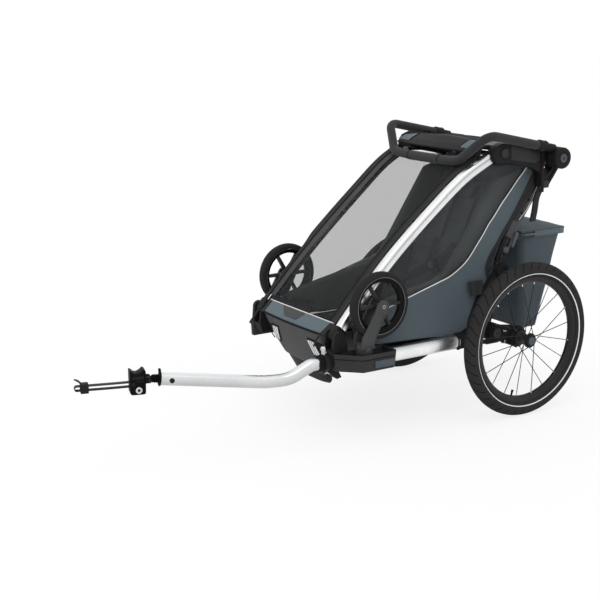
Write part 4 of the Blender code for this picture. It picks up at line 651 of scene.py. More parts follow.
def dress(piece: Piece, finish: Finish, body: Optional[str], stands_for: Sequence[str] = (),
          angle: float = 40.0) -> Piece:
    """Smooth a piece, give it its finish, and fix it to the body it rides on.

    Args:
        piece: The finished piece, in the axle frame.
        finish: Its finish.
        body: The body it moves with, or None to leave it unfixed.
        stands_for: CAD nodes that it replaces.
        angle: Edges sharper than this, in degrees, stay sharp.

    Returns:
        The piece.
    """
    piece.data.transform(Matrix.Translation((0, AHEAD, 0)))
    take(piece)
    bpy.ops.object.shade_smooth_by_angle(angle=math.radians(angle))
    piece.data.materials.clear()
    piece.data.materials.append(finish.material())
    if stands_for:
        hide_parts(*stands_for)
    if body:
        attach(piece, body)
    deselect_all()
    return piece


def dress_node(name: str, finish: Finish) -> Piece:
    """Give a kept CAD node its finish."""
    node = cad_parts[name]
    for place in node.material_slots:
        place.material = finish.material()
    return node


def hang(piece: Piece) -> Piece:
    """Bake a cabin cloth piece's place into its mesh."""
    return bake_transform(piece)


def crumple(piece: Piece) -> Piece:
    """Give a soft piece a mesh of its own."""
    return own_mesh(piece)


# Curves

def smooth_route(keys: Sequence[Sequence[float]], count: int) -> list[Vector]:
    """Read points from one smooth curve through the given ones.

    Args:
        keys: Points that the curve passes through.
        count: How many points to read.

    Returns:
        The points, the ends included.
    """
    pts = [Vector(p) for p in keys]
    pts = [2 * pts[0] - pts[1], *pts, 2 * pts[-1] - pts[-2]]
    spans = len(keys) - 1
    route = []
    for i in range(count):
        place = spans * i / (count - 1)
        k = min(int(place), spans - 1)
        t = place - k
        a, b, c, d = pts[k:k + 4]
        route.append(0.5 * (2 * b + (c - a) * t + (2 * a - 5 * b + 4 * c - d) * t ** 2
                            + (3 * b - a - 3 * c + d) * t ** 3))
    return route


def rounded_route(corners: Sequence[Sequence[float]], radii: Sequence[float],
                  steps: int = 12) -> list[Vector]:
    """Round a polyline's inner corners, as a tube bender does.

    Args:
        corners: The polyline.
        radii: Bend radius at each inner corner.
        steps: Segments in each bend.

    Returns:
        The rounded route.
    """
    pts = [Vector(p) for p in corners]
    route = [pts[0]]
    for before, corner, after, radius in zip(pts, pts[1:], pts[2:], radii):
        back, ahead = (before - corner).normalized(), (after - corner).normalized()
        half = back.angle(ahead) / 2
        centre = corner + (back + ahead).normalized() * (radius / math.sin(half))
        start = corner + back * (radius / math.tan(half)) - centre
        end = corner + ahead * (radius / math.tan(half)) - centre
        turn = start.angle(end)
        for i in range(steps + 1):
            t = i / steps
            route.append(centre + (start * math.sin((1 - t) * turn) + end * math.sin(t * turn))
                         / math.sin(turn))
    return [*route, pts[-1]]


def arc(centre: Point, radius: float, count: int, start: float = 0.0, end: float = 360.0) -> list[Point]:
    """Points on an arc, in degrees; a full turn leaves out its last point."""
    steps = count if abs(end - start) >= 360 else count - 1
    angles = [math.radians(start + (end - start) * i / steps) for i in range(count)]
    return [(centre[0] + radius * math.cos(a), centre[1] + radius * math.sin(a)) for a in angles]


def read_line(keys: Sequence[Sequence[float]], share: float) -> Vector:
    """Read one point of a smooth curve through the keys, at a share of its length.

    Args:
        keys: Points that the curve passes through, of two or three numbers.
        share: From 0 at its start to 1 at its end.

    Returns:
        The point.
    """
    solid = [(*k, 0.0) if len(k) == 2 else tuple(k) for k in keys]
    route = smooth_route(solid, 20 * len(keys))
    lengths = [0.0]
    for a, b in zip(route, route[1:]):
        lengths.append(lengths[-1] + (b - a).length)
    want = share * lengths[-1]
    for i in range(len(route) - 1):
        if lengths[i + 1] >= want - 1e-9:
            span = lengths[i + 1] - lengths[i]
            return route[i].lerp(route[i + 1], (want - lengths[i]) / span if span else 0.0)
    return route[-1]


def tube_at(share: float, ahead: float = 0.0) -> Vector:
    """A point on the left front tube's centre line, moved ahead of it."""
    route = TUBE_ROUTE
    place = min(max(share, 0.0), 1.0) * (len(route) - 1)
    k = min(int(place), len(route) - 2)
    point = route[k].lerp(route[k + 1], place - k)
    way = (route[k + 1] - route[k]).normalized()
    return Vector((point.x, point.y - way.z * ahead, point.z + way.y * ahead))


TUBE_ROUTE = smooth_route(TUBE_KEYS, 41)


def sweep(name: str, route: Sequence[Vector], section: Sequence[Point],
          side_axis: Sequence[float] = (1, 0, 0)) -> Piece:
    """Draw a closed section along a route.

    Args:
        name: The piece's name.
        route: The centre line.
        section: Points across side_axis and the route's normal.
        side_axis: The direction that the section keeps.

    Returns:
        The piece, its ends capped.
    """
    keep = Vector(side_axis)
    rows = []
    for i, place in enumerate(route):
        before, after = route[max(i - 1, 0)], route[min(i + 1, len(route) - 1)]
        way = (Vector(after) - Vector(before)).normalized()
        across = (keep - way * keep.dot(way)).normalized()
        normal = across.cross(way)
        row = [Vector(place) + across * u + normal * v for u, v in section]
        rows.append([*row, row[0].copy()])
    return skin(name, rows, ring=True, caps=True)


def soft_section(half_u: float, half_v: float, corner: float, steps: int = 4) -> list[Point]:
    """A rectangle section with round corners."""
    points = []
    for (u, v), start in (((half_u - corner, half_v - corner), 0), ((-half_u + corner, half_v - corner), 90),
                          ((-half_u + corner, -half_v + corner), 180),
                          ((half_u - corner, -half_v + corner), 270)):
        points += arc((u, v), corner, steps, start, start + 90)
    return points


# Running gear

@dataclass
class MainWheel:
    """A 20 inch wheel: tyre, rim, crossed spokes, hub and its release button."""

    side: int
    tag: str
    section_radius: float = 0.0235
    tyre_middle: float = 0.2265
    spokes: int = 20
    rim_profile: tuple[Point, ...] = (
        (-0.0125, 0.2055), (-0.0108, 0.2055), (-0.0095, 0.2030), (0.0095, 0.2030), (0.0108, 0.2055),
        (0.0125, 0.2055), (0.0122, 0.1985), (0.0100, 0.1915), (0.0055, 0.1865), (0.0030, 0.1854),
        (-0.0030, 0.1854), (-0.0055, 0.1865), (-0.0100, 0.1915), (-0.0122, 0.1985))
    hub_profile: tuple[Point, ...] = (
        (-0.0300, 0.0068), (-0.0300, 0.0160), (-0.0265, 0.0165), (-0.0262, 0.0240), (-0.0220, 0.0240),
        (-0.0205, 0.0150), (-0.0100, 0.0138), (0.0100, 0.0138), (0.0148, 0.0152), (0.0156, 0.0240),
        (0.0200, 0.0240), (0.0200, 0.0068))
    cap_profile: tuple[Point, ...] = (
        (0.0202, 0.0195), (0.0252, 0.0195), (0.0265, 0.0182), (0.0265, 0.0140), (0.0202, 0.0140))
    button_profile: tuple[Point, ...] = (
        (0.0242, 0.0130), (0.0280, 0.0130), (0.0290, 0.0120), (0.0290, 0.0108), (0.0281, 0.0100),
        (0.0281, 0.0052), (0.0287, 0.0044), (0.0289, 0.0020))
    tape_radii: tuple[float, float, float] = (0.2142, 0.2156, 0.2170)
    tape_lift: float = 0.0005
    flange_x: Point = (-0.0240, 0.0178)
    flange_radius: float = 0.0215
    rim_x: float = 0.003
    rim_radius: float = 0.1850
    crossing_deg: float = 52
    spoke_radius: float = 0.0013
    nipple_length: float = 0.007
    nipple_radius: float = 0.0021
    valve_deg: float = -106.5
    valve_at: float = 0.1862

    def build(self) -> list[Piece]:
        """Make the wheel's pieces and fix them to the wheel's body."""
        body = f"wheel_{self.tag}"
        tyre = self._turn("tyre", arc((0, self.tyre_middle), self.section_radius, 28), 112, True)
        rim = self._turn("rim", self.rim_profile, 96, True)
        hub = self._turn("hub_shell", self.hub_profile, 40, True)
        cap = self._turn("hub_cap", self.cap_profile, 48, True)
        button = self._turn("hub_button", self.button_profile, 40, False)
        pieces = [dress(tyre, TYRE_RUBBER, body, (f"tyre_{self.tag}",)),
                  dress(rim, RIM_BLACK, body, (f"rim_{self.tag}",), 25),
                  dress(hub, STEEL_PAINT, body, (f"hub_{self.tag}",), 30),
                  dress(cap, NYLON, body, angle=30),
                  dress(button, GREY_PLASTIC, f"hub_button_{self.tag}", (f"hub_button_{self.tag}",), 30)]
        for sign, place in ((1, "outer"), (-1, "inner")):
            pieces.append(dress(self._band(sign, place), REFLECTIVE_TAPE, body))
        return pieces + self._laced(body)

    def _turn(self, name: str, profile: Sequence[Point], steps: int, ring: bool) -> Piece:
        """Turn a profile about this wheel's axle."""
        return lathe(f"{name}_{self.tag}_form", profile, (self.side * WHEEL_X, 0, AXLE_Z), (self.side, 0, 0),
                     steps, ring)

    def _band(self, sign: int, place: str) -> Piece:
        """Lay the reflective ring on one sidewall."""
        points = []
        for lift in (self.tape_lift, -self.tape_lift):
            for radius in self.tape_radii if lift > 0 else self.tape_radii[::-1]:
                drop = self.tyre_middle - radius
                points.append((sign * (math.sqrt(self.section_radius ** 2 - drop ** 2) + lift), radius))
        return self._turn(f"reflective_ring_{place}", points, 96, True)

    def _ends(self, spoke: int) -> tuple[Vector, Vector]:
        """Hub end and rim end of one crossed spoke."""
        rim_angle = 2 * math.pi * (spoke + 0.5) / self.spokes
        lead = 1 if (spoke // 2) % 2 else -1
        hub_angle = rim_angle + lead * math.radians(self.crossing_deg)
        flange, aside = self.flange_x[spoke % 2], lead * self.spoke_radius
        ends = []
        for x, radius, angle in ((flange + aside, self.flange_radius, hub_angle),
                                 (math.copysign(self.rim_x, flange) + aside, self.rim_radius, rim_angle)):
            ends.append(Vector((self.side * (WHEEL_X + x), radius * math.cos(angle),
                                AXLE_Z + radius * math.sin(angle))))
        return ends[0], ends[1]

    def _laced(self, body: str) -> list[Piece]:
        """Lace the spokes with their nipples, and set the valve and the cap's ribs."""
        ends = [self._ends(i) for i in range(self.spokes)]
        spokes = rod(f"spokes_{self.tag}", ends, self.spoke_radius, 1)
        heads = [(rim, rim + (hub - rim).normalized() * self.nipple_length) for hub, rim in ends]
        nipples = rod(f"nipples_{self.tag}", heads, self.nipple_radius, 2)
        turn = math.radians(self.valve_deg)
        out = Vector((0, math.cos(turn), math.sin(turn)))
        middle = Vector((self.side * WHEEL_X, 0, AXLE_Z))
        valve = lathe(f"valve_{self.tag}", [(0, 0.0032), (0.010, 0.0032), (0.011, 0.0040), (0.018, 0.0040),
                                            (0.019, 0.0030)], middle + out * self.valve_at, -out, 16)
        x0, x1 = self.side * (WHEEL_X + 0.0204), self.side * (WHEEL_X + 0.0250)
        ribs = [[(x0, y, z), (x1, y, z)] for y, z in arc((0, AXLE_Z), 0.0192, 24)]
        return [dress(spokes, SPOKE_STEEL, body), dress(nipples, BRIGHT_STEEL, body),
                dress(valve, NYLON, body), dress(rod(f"cap_ribs_{self.tag}", ribs, 0.0013, 1), NYLON, body)]


@dataclass
class Suspension:
    """One trailing arm with its drum, and the rail and bracket that carry it."""

    side: int
    tag: str
    pivot: Point = (-0.0900, 0.2750)
    rail_y: Point = (-0.4997, -0.2200)
    rail_section: tuple[Point, ...] = (
        (0.2270, 0.2390), (0.2280, 0.2368), (0.2300, 0.2360), (0.2440, 0.2360), (0.2490, 0.2374),
        (0.2522, 0.2410), (0.2543, 0.2470), (0.2550, 0.2540), (0.2550, 0.2620), (0.2543, 0.2690),
        (0.2522, 0.2750), (0.2490, 0.2786), (0.2440, 0.2800), (0.2300, 0.2800), (0.2280, 0.2792),
        (0.2270, 0.2770))

    def build(self) -> list[Piece]:
        """Make this side's rail and dress its arm, bracket and drum."""
        s, tag, arm = self.side, self.tag, f"suspension_{self.tag}"
        front, rear = self.rail_y
        rows = []
        for share in (0.0, 0.02, 0.98, 1.0):
            row = []
            for x, z in self.rail_section:
                slant = 0.035 * (0.280 - z) / 0.044 * (1 - share)
                row.append(Vector((s * x, front + slant + (rear - front) * share, z)))
            rows.append([*row, row[0].copy()])
        rail = soften(skin(f"side_rail_{tag}_extrusion", rows, ring=True, caps=True), 0.0008, 2, 50)
        sleeve = block(f"rail_sleeve_{tag}", (s * 0.2262, -0.2300, 0.2345),
                       (s * 0.2558, -0.2205, 0.2815), 0.003)
        pieces = [dress(rail, RAIL_ALUMINIUM, "chassis", (f"side_rail_{tag}",), 30),
                  dress(sleeve, NYLON, "chassis"),
                  dress_node(f"suspension_arm_{tag}", NYLON), dress_node(f"rear_bracket_{tag}", NYLON)]
        y, z = self.pivot
        knob = lathe(f"pivot_dial_{tag}", [(0, 0.0150), (0.0012, 0.0142), (0.0012, 0.0100), (0.0004, 0.0092),
                                           (0.0004, 0.0040)], (s * 0.2798, y, z), (s, 0, 0), 40)
        dot = lathe(f"pivot_bolt_{tag}", [(0, 0.0036), (0.0016, 0.0036), (0.0020, 0.0030)],
                    (s * 0.2800, y, z), (s, 0, 0), 6)
        lumps = [[(s * 0.2722, a, b), (s * 0.2812, a, b)] for a, b in arc((0, AXLE_Z), 0.0316, 14)]
        pin = bar(f"lock_pin_{tag}", (s * 0.2700, -0.0570, 0.2760), (s * 0.2700, -0.0440, 0.2725), 0.0028)
        hook = rod(f"spring_hook_{tag}", [[(s * 0.2725, -0.0640, 0.2380), (s * 0.2725, -0.0520, 0.2350),
                                           (s * 0.2725, -0.0500, 0.2450)]], 0.0020, 2)
        plate = lathe(f"drum_ring_{tag}", [(0, 0.0345), (0.0030, 0.0345), (0.0045, 0.0330), (0.0045, 0.0270),
                                           (0.0020, 0.0260), (0.0020, 0.0180)], (s * 0.2709, 0, AXLE_Z),
                      (s, 0, 0), 48)
        return pieces + [dress(knob, NYLON_PALER, arm), dress(dot, SPOKE_STEEL, arm),
                         dress(rod(f"drum_ribs_{tag}", lumps, 0.0042, 2), NYLON, arm),
                         dress(plate, NYLON, arm, angle=30),
                         dress(pin, BRIGHT_STEEL, arm), dress(hook, BRIGHT_STEEL, arm)]


@dataclass
class StrollerWheel:
    """A stowed stroller wheel, its fork and the corner tray that it stands in."""

    side: int
    tag: str
    centre: tuple[float, float, float] = (0.2560, -0.5400, 0.4220)
    base_y: float = -0.5930
    knee_z: float = 0.3123
    leg_faces: Point = (0.0160, 0.0250)
    bolt_half: float = 0.0265
    bolt_radius: float = 0.0040
    spokes: int = 6
    tyre_profile: tuple[Point, ...] = (
        (-0.0125, 0.0846), (-0.0148, 0.0870), (-0.0150, 0.0925), (-0.0138, 0.0965), (-0.0110, 0.0995),
        (-0.0060, 0.1012), (0.0, 0.1016), (0.0060, 0.1012), (0.0110, 0.0995), (0.0138, 0.0965),
        (0.0150, 0.0925), (0.0148, 0.0870), (0.0125, 0.0846))
    rim_profile: tuple[Point, ...] = (
        (-0.0122, 0.0843), (0.0122, 0.0843), (0.0124, 0.0812), (0.0085, 0.0750), (0.0055, 0.0712),
        (-0.0055, 0.0712), (-0.0085, 0.0750), (-0.0124, 0.0812))

    def build(self) -> list[Piece]:
        """Make the wheel, its fork and its tray."""
        return [*self._wheel(), *self._fork(), *self._tray()]

    def _at(self) -> Vector:
        """The wheel's centre on its own side."""
        x, y, z = self.centre
        return Vector((self.side * x, y, z))

    def _wheel(self) -> list[Piece]:
        """Turn the tyre and rim, and set six moulded spokes round the hub."""
        s, tag, body, middle = self.side, self.tag, f"stroller_wheel_{self.tag}", self._at()
        tyre = lathe(f"stroller_tyre_{tag}_form", self.tyre_profile, middle, (s, 0, 0), 80, True)
        rim = lathe(f"stroller_rim_{tag}_ring", self.rim_profile, middle, (s, 0, 0), 72, True)
        hub = lathe(f"stroller_hub_{tag}", [(-0.0135, 0.0044), (-0.0135, 0.0120), (-0.0110, 0.0150),
                                            (0.0110, 0.0150), (0.0135, 0.0120), (0.0135, 0.0044)],
                    middle, (s, 0, 0), 36, True)
        one = slab(f"stroller_spoke_{tag}_0", "x", [(0.0120, -0.0062), (0.0740, -0.0048), (0.0740, 0.0048),
                                                    (0.0120, 0.0062)], -0.0070, 0.0070, 0.0022)
        web = slab(f"stroller_web_{tag}_0", "x", [(0.0100, -0.0024), (0.0730, -0.0020), (0.0730, 0.0020),
                                                  (0.0100, 0.0024)], -0.0088, 0.0088, 0.0010)
        one = join(one.name, [one, web])
        spokes = []
        for i in range(self.spokes):
            turned = Matrix.Translation(middle) @ Matrix.Rotation(math.radians(360 / self.spokes * i), 4, "X")
            spokes.append(copy_of(f"stroller_spoke_{tag}_{i + 1}", one, turned))
        bpy.data.objects.remove(one, do_unlink=True)
        star = join(f"stroller_spokes_{tag}", [*spokes, hub])
        # Two thin bright rings on the tyre's edges, which paint its highlights
        line = [(0.0152, 0.0852), (0.0152, 0.0864), (0.0140, 0.0864), (0.0140, 0.0852)]
        rings = [lathe(f"stroller_line_{tag}_{n}", [(sign * a, r) for a, r in line], middle,
                       (s, 0, 0), 72, True)
                 for n, sign in enumerate((1, -1))]
        return [dress(tyre, SOFT_RUBBER, body, (f"stroller_tyre_{tag}",)),
                dress(rim, BLACK_AND_SHADE_NYLON, body, (f"stroller_rim_{tag}",), 25),
                dress(star, NYLON_PALER, body, angle=30),
                *(dress(ring, RIM_EDGE_HIGHLIGHT, body) for ring in rings)]

    def _fork(self) -> list[Piece]:
        """Mould the fork: a round base, two legs that lean back to the wheel, and the bolt."""
        s, tag, body = self.side, self.tag, f"fork_{self.tag}"
        x, y, z = self.centre
        top, (inner, outer) = self.knee_z, self.leg_faces
        base = lathe(f"fork_base_{tag}", [(0, 0.0240), (0.0030, 0.0262), (0.0300, 0.0262), (0.0385, 0.0245),
                                          (0.0420, 0.0205)], (s * x, self.base_y, 0.2703), (0, 0, 1), 56)
        crown = block(f"fork_crown_{tag}", (s * (x - outer), self.base_y - 0.0210, 0.2950),
                      (s * (x + outer), self.base_y + 0.0210, 0.3170), 0.006)
        lean = math.degrees(math.atan2(z - top, y - self.base_y))
        across = Vector((math.sin(math.radians(lean)), -math.cos(math.radians(lean))))
        knee = Vector((self.base_y, top + 0.012))
        rear, front = knee + across * 0.022, knee - across * 0.022
        outline = [(self.base_y - 0.0270, 0.3000), (self.base_y + 0.0270, 0.3000), tuple(rear),
                   *arc((y, z), 0.0200, 15, lean - 85, lean + 85), tuple(front)]
        legs = []
        for sign, name in ((1, "outer"), (-1, "inner")):
            low, high = s * x + sign * inner, s * x + sign * outer
            leg = slab(f"fork_leg_{tag}_{name}", "x", outline, low, high, 0.0022, 3)
            along = Vector((math.cos(math.radians(lean)), math.sin(math.radians(lean))))
            hollow = []
            for u, v in soft_section(0.0360, 0.0140, 0.0060, 5):
                spot = Vector((y, z)) - along * (0.0560 - u) + across * v
                hollow.append(tuple(spot))
            face = high - sign * 0.0012
            legs.append(cut(leg, slab("panel_tool", "x", hollow, face, high + sign * 0.004)))
        bolt = bar(f"fork_bolt_{tag}", (s * x - self.bolt_half, y, z), (s * x + self.bolt_half, y, z),
                   self.bolt_radius)
        rings = [lathe(f"bolt_ring_{tag}_{n}",
                       [(0, 0.0030), (0, 0.0052), (0.0008, 0.0052), (0.0008, 0.0030)],
                       (s * x + sign * outer, y, z), (sign, 0, 0), 32, True)
                 for n, sign in enumerate((1, -1))]
        pieces = [dress(base, FORK_NYLON, body, (f"stroller_fork_{tag}",)), dress(crown, FORK_NYLON, body),
                  dress(bolt, STEEL_PAINT, body), *(dress(ring, BRIGHT_STEEL, body) for ring in rings)]
        return pieces + [dress(leg, FORK_NYLON, body, angle=30) for leg in legs]

    def _tray(self) -> list[Piece]:
        """Mould the corner tray with its recess, fork socket and side reflector."""
        s, tag = self.side, self.tag
        outline = [(0.2240, -0.5000), (0.2240, -0.6900), (0.2400, -0.6900), (0.2520, -0.6810),
                   (0.3050, -0.6270), (0.3050, -0.6050), (0.3050, -0.5120), (0.2930, -0.5000)]
        tray = slab(f"tray_{tag}_form", "z", [(s * a, b) for a, b in outline], 0.2380, 0.2900)
        edit(tray)
        pick_faces(tray, lambda middle, normal: normal.z > 0.9)
        bpy.ops.mesh.inset(thickness=0.0075)
        bpy.ops.mesh.extrude_region_move(TRANSFORM_OT_translate={"value": (0, 0, -0.020)})
        pick_faces(tray, lambda middle, normal: normal.z < -0.9)
        bpy.ops.transform.resize(value=(0.94, 0.96, 1.0), center_override=(s * 0.2600, -0.5900, 0.2380))
        bpy.ops.object.mode_set(mode="OBJECT")
        soften(tray, 0.0032, 3, 25)
        socket = lathe(f"fork_socket_{tag}", [(0, 0.0272), (0, 0.0315), (0.0040, 0.0305), (0.0040, 0.0272)],
                       (s * self.centre[0], self.base_y, 0.2700), (0, 0, 1), 48, True)
        lens = block(f"side_reflector_{tag}", (s * 0.3030, -0.5860, 0.2475),
                     (s * 0.3062, -0.5150, 0.2690), 0.0012)
        seam = rod(f"tray_seam_{tag}", [[(s * 0.2330, -0.6915, 0.2760), (s * 0.2560, -0.6800, 0.2760),
                                         (s * 0.3057, -0.6265, 0.2760), (s * 0.3057, -0.5140, 0.2760)]],
                   0.0009, 1)
        return [dress(tray, NYLON_PALER, "chassis", (f"corner_tray_{tag}",), 30),
                dress(socket, NYLON, "chassis"), dress(lens, GREY_PLASTIC, "chassis"),
                dress(seam, BLACK_AND_SHADE_NYLON, "chassis")]


# Upper frame

@dataclass
class FrontTube:
    """A bright front tube with the step drawn along its outer face, on its black foot."""

    side: int
    tag: str
    half_wide: float = 0.0150
    half_deep: float = 0.0160

    def build(self) -> list[Piece]:
        """Draw the tube and mould its foot."""
        s, w, d = self.side, self.half_wide, self.half_deep
        section = arc((w - 0.005, d - 0.005), 0.005, 5, 0, 90)
        section += arc((-w + 0.004, d - 0.004), 0.004, 4, 90, 180)
        section += arc((-w + 0.004, -d + 0.004), 0.004, 4, 180, 270)
        section += arc((w - 0.005, -d + 0.005), 0.005, 5, 270, 360)
        section += [(w - 0.0006, -0.0060), (w - 0.0016, -0.0010), (w - 0.0028, 0.0028), (w - 0.0024, 0.0042),
                    (w, 0.0050)]
        route = [Vector((s * p.x, p.y, p.z)) for p in TUBE_ROUTE]
        tube = sweep(f"front_tube_{self.tag}_extrusion", route, [(s * u, v) for u, v in section])
        way = (TUBE_ROUTE[1] - TUBE_ROUTE[0]).normalized()
        normal = Vector((0, -way.z, way.y))
        top = TUBE_ROUTE[0] + way * 0.003
        y, z = FOLD_PIVOT
        lean = math.degrees(math.atan2(way.z, way.y))
        outline = [((top + normal * (d + 0.0022)).y, (top + normal * (d + 0.0022)).z),
                   ((top - normal * (d + 0.0022)).y, (top - normal * (d + 0.0022)).z)]
        outline += arc((y, z), 0.0150, 14, lean - 80, lean - 280)
        foot = slab(f"tube_foot_{self.tag}", "x", outline, s * (0.2050 - w - 0.0004),
                    s * (0.2050 + w + 0.0004), 0.0025)
        return [dress(tube, TUBE_ALUMINIUM, "upper_frame", (f"front_tube_{self.tag}",), 24),
                dress(foot, NYLON, "upper_frame")]


@dataclass
class Shoulder:
    """The housing that joins a front tube, a rear strut and the push bar, with its dial."""

    side: int
    tag: str
    x: Point = (0.2070, 0.2410)
    hub: Point = (0.1550, 0.8130)
    knob: Point = (-0.0560, 0.8380)

    def build(self) -> list[Piece]:
        """Mould the housing with its notch, raised panel and dial, and its rib, brace, clip and hook."""
        s, tag = self.side, self.tag
        end, way = TUBE_ROUTE[-1], (TUBE_ROUTE[-1] - TUBE_ROUTE[-2]).normalized()
        normal = Vector((0, -way.z, way.y))
        low, high = end + way * 0.001 - normal * 0.0175, end + way * 0.001 + normal * 0.0175
        hy, hz = STRUT_HEAD
        outline = [(low.y, low.z), (-0.0200, 0.8020), (0.0600, 0.7860), (hy - 0.026, hz + 0.030),
                   (hy - 0.022, hz - 0.012), (hy - 0.008, hz - 0.020), (hy + 0.014, hz - 0.014),
                   (hy + 0.030, hz + 0.016), *arc(self.hub, 0.0340, 19, -70, 100), (0.1100, 0.8420),
                   (0.0000, 0.8600), (-0.0600, 0.8680), (high.y + 0.014, high.z + 0.022), (high.y, high.z)]
        shell = slab(f"shoulder_{tag}_shell", "x", outline, s * self.x[0], s * self.x[1], 0.0045, 3)
        notch = [(0.1170, 0.8010), (0.1020, 0.7700), (0.1240, 0.7540), (0.1520, 0.7770)]
        shell = cut(shell, slab("notch_tool", "x", notch, s * 0.19, s * 0.26, 0.003))
        pieces = [dress(shell, NYLON, "upper_frame", (f"shoulder_{tag}",), 35)]
        plate = [(-0.0300, 0.8600), (0.0900, 0.8395), (0.0940, 0.8060), (0.0740, 0.7990), (-0.0270, 0.8150)]
        panel = slab(f"shoulder_panel_{tag}", "x", plate, s * 0.2400, s * 0.2424, 0.0011)
        y, z = self.knob
        dial = lathe(f"shoulder_dial_{tag}",
                     [(0, 0.0150), (0.0050, 0.0150), (0.0066, 0.0138), (0.0066, 0.0110),
                      (0.0056, 0.0104), (0.0056, 0.0030)], (s * 0.2405, y, z), (s, 0, 0), 44)
        rib = slab(f"shoulder_rib_{tag}", "x",
                   [(0.1000, 0.8330), (0.1110, 0.8330), (0.1130, 0.7260), (0.1030, 0.7260)],
                   s * 0.2400, s * 0.2450, 0.0018)
        brace = slab(f"shoulder_brace_{tag}", "x",
                     [(0.1700, 0.7860), (0.1780, 0.7770), (0.1420, 0.7300), (0.1330, 0.7370)],
                     s * 0.2160, s * 0.2440, 0.0025)
        clip = block(f"strut_clip_{tag}", (s * 0.2060, hy - 0.0150, hz - 0.0190),
                     (s * 0.2445, hy + 0.0110, hz + 0.006), 0.004)
        bent = ((-0.0150, 0.8600), (-0.0050, 0.8680), (0.0200, 0.8650), (0.0260, 0.8560))
        hook = rod(f"top_hook_{tag}", [[(s * 0.2230, along, up) for along, up in bent]], 0.0026, 2)
        return pieces + [dress(panel, NYLON_PALER, "upper_frame"),
                         dress(dial, NYLON_PALER, "upper_frame", angle=30),
                         dress(rib, NYLON, "upper_frame"), dress(brace, NYLON, "upper_frame"),
                         dress(clip, NYLON_PALER, "upper_frame"), dress(hook, NYLON, "upper_frame")]


@dataclass
class PushBar:
    """The flipped push bar: foam over a bent tube, hubs with buttons, and their clamps."""

    pivot: Point = (0.1550, 0.8130)
    bend_radii: Point = (0.040, 0.045)
    foam_radius: float = 0.0145
    sleeve_radius: float = 0.0152
    corners: tuple[tuple[float, float, float], ...] = (
        (0.2560, 0.0750, 0.8555), (0.2500, -0.1300, 0.8980), (0.1640, -0.1745, 0.8140),
        (0.0750, -0.1755, 0.8095))
    grip_half: float = 0.0740
    seam_at: float = 0.0755

    def build(self) -> list[Piece]:
        """Bend the bar, and turn its hubs and buttons."""
        half = rounded_route(self.corners, self.bend_radii, 14)
        mirrored = [Vector((-p.x, p.y, p.z)) for p in half[::-1]]
        foam = rod("push_bar_foam", [half + mirrored], self.foam_radius, 6)
        grip = self.corners[-1][1:]
        sleeve = bar("grip_sleeve", (-self.grip_half, *grip), (self.grip_half, *grip),
                     self.sleeve_radius, 0.0012, 48)
        pieces = [dress(foam, FOAM, "push_bar", ("push_bar",)), dress(sleeve, FOAM, "push_bar")]
        for x in (-self.seam_at, self.seam_at):
            ring = lathe(f"sleeve_seam_{'left' if x > 0 else 'right'}",
                         [(-0.0010, 0.0140), (-0.0010, 0.0157), (0.0010, 0.0157), (0.0010, 0.0140)],
                         (x, *grip), (1, 0, 0), 40, True)
            pieces.append(dress(ring, BLACK_AND_SHADE_NYLON, "push_bar"))
        for side, tag in SIDES:
            pieces += self._hub(side, tag)
        return pieces

    def _hub(self, side: int, tag: str) -> list[Piece]:
        """Turn one hub with its spigot, clamp and button."""
        y, z = self.pivot
        hub = lathe(f"push_hub_{tag}_shell", [
            (0.0000, 0.0140), (0.0000, 0.0335), (0.0008, 0.0340), (0.0150, 0.0340), (0.0158, 0.0330),
            (0.0170, 0.0330), (0.0178, 0.0340), (0.0385, 0.0340), (0.0420, 0.0325), (0.0430, 0.0300),
            (0.0430, 0.0210), (0.0418, 0.0200), (0.0418, 0.0143), (0.0340, 0.0143)],
            (side * 0.2420, y, z), (side, 0, 0), 64, True)
        end, bend = (Vector((side * across, along, up)) for across, along, up in self.corners[:2])
        back = (end - bend).normalized()
        spigot = rod(f"push_spigot_{tag}", [[end, end + back * 0.062]], 0.0137, 5)
        clamp = lathe(f"push_clamp_{tag}", [(-0.0060, 0.0148), (-0.0060, 0.0172), (-0.0045, 0.0182),
                                            (0.0150, 0.0182), (0.0165, 0.0172), (0.0165, 0.0138)], end, back,
                      40, True)
        lug = block(f"clamp_lug_{tag}", (side * 0.2500, 0.0920, 0.8540),
                    (side * 0.2620, 0.1100, 0.8665), 0.003)
        bolt = lathe(f"clamp_bolt_{tag}", [(0, 0.0038), (0.0030, 0.0038), (0.0036, 0.0030)],
                     (side * 0.2560, 0.1010, 0.8660), (0, 0, 1), 20)
        button = lathe(f"push_button_{tag}_form", [
            (0.0000, 0.0139), (0.0070, 0.0139), (0.0082, 0.0128), (0.0082, 0.0110), (0.0072, 0.0104),
            (0.0070, 0.0020)], (side * 0.2793, y, z), (side, 0, 0), 48)
        dial = lathe(f"push_mark_{tag}", [(0, 0.0045), (0.0008, 0.0042)], (side * 0.2862, y, z),
                     (side, 0, 0), 32)
        return [dress(hub, NYLON, "push_bar", (f"push_hub_{tag}",), 30), dress(spigot, NYLON, "push_bar"),
                dress(clamp, NYLON, "push_bar", angle=30), dress(lug, NYLON, "push_bar"),
                dress(bolt, SPOKE_STEEL, "push_bar"), dress(dial, NYLON_PALER, f"push_button_{tag}"),
                dress(button, GREY_PLASTIC, f"push_button_{tag}", (f"push_button_{tag}",), 30)]


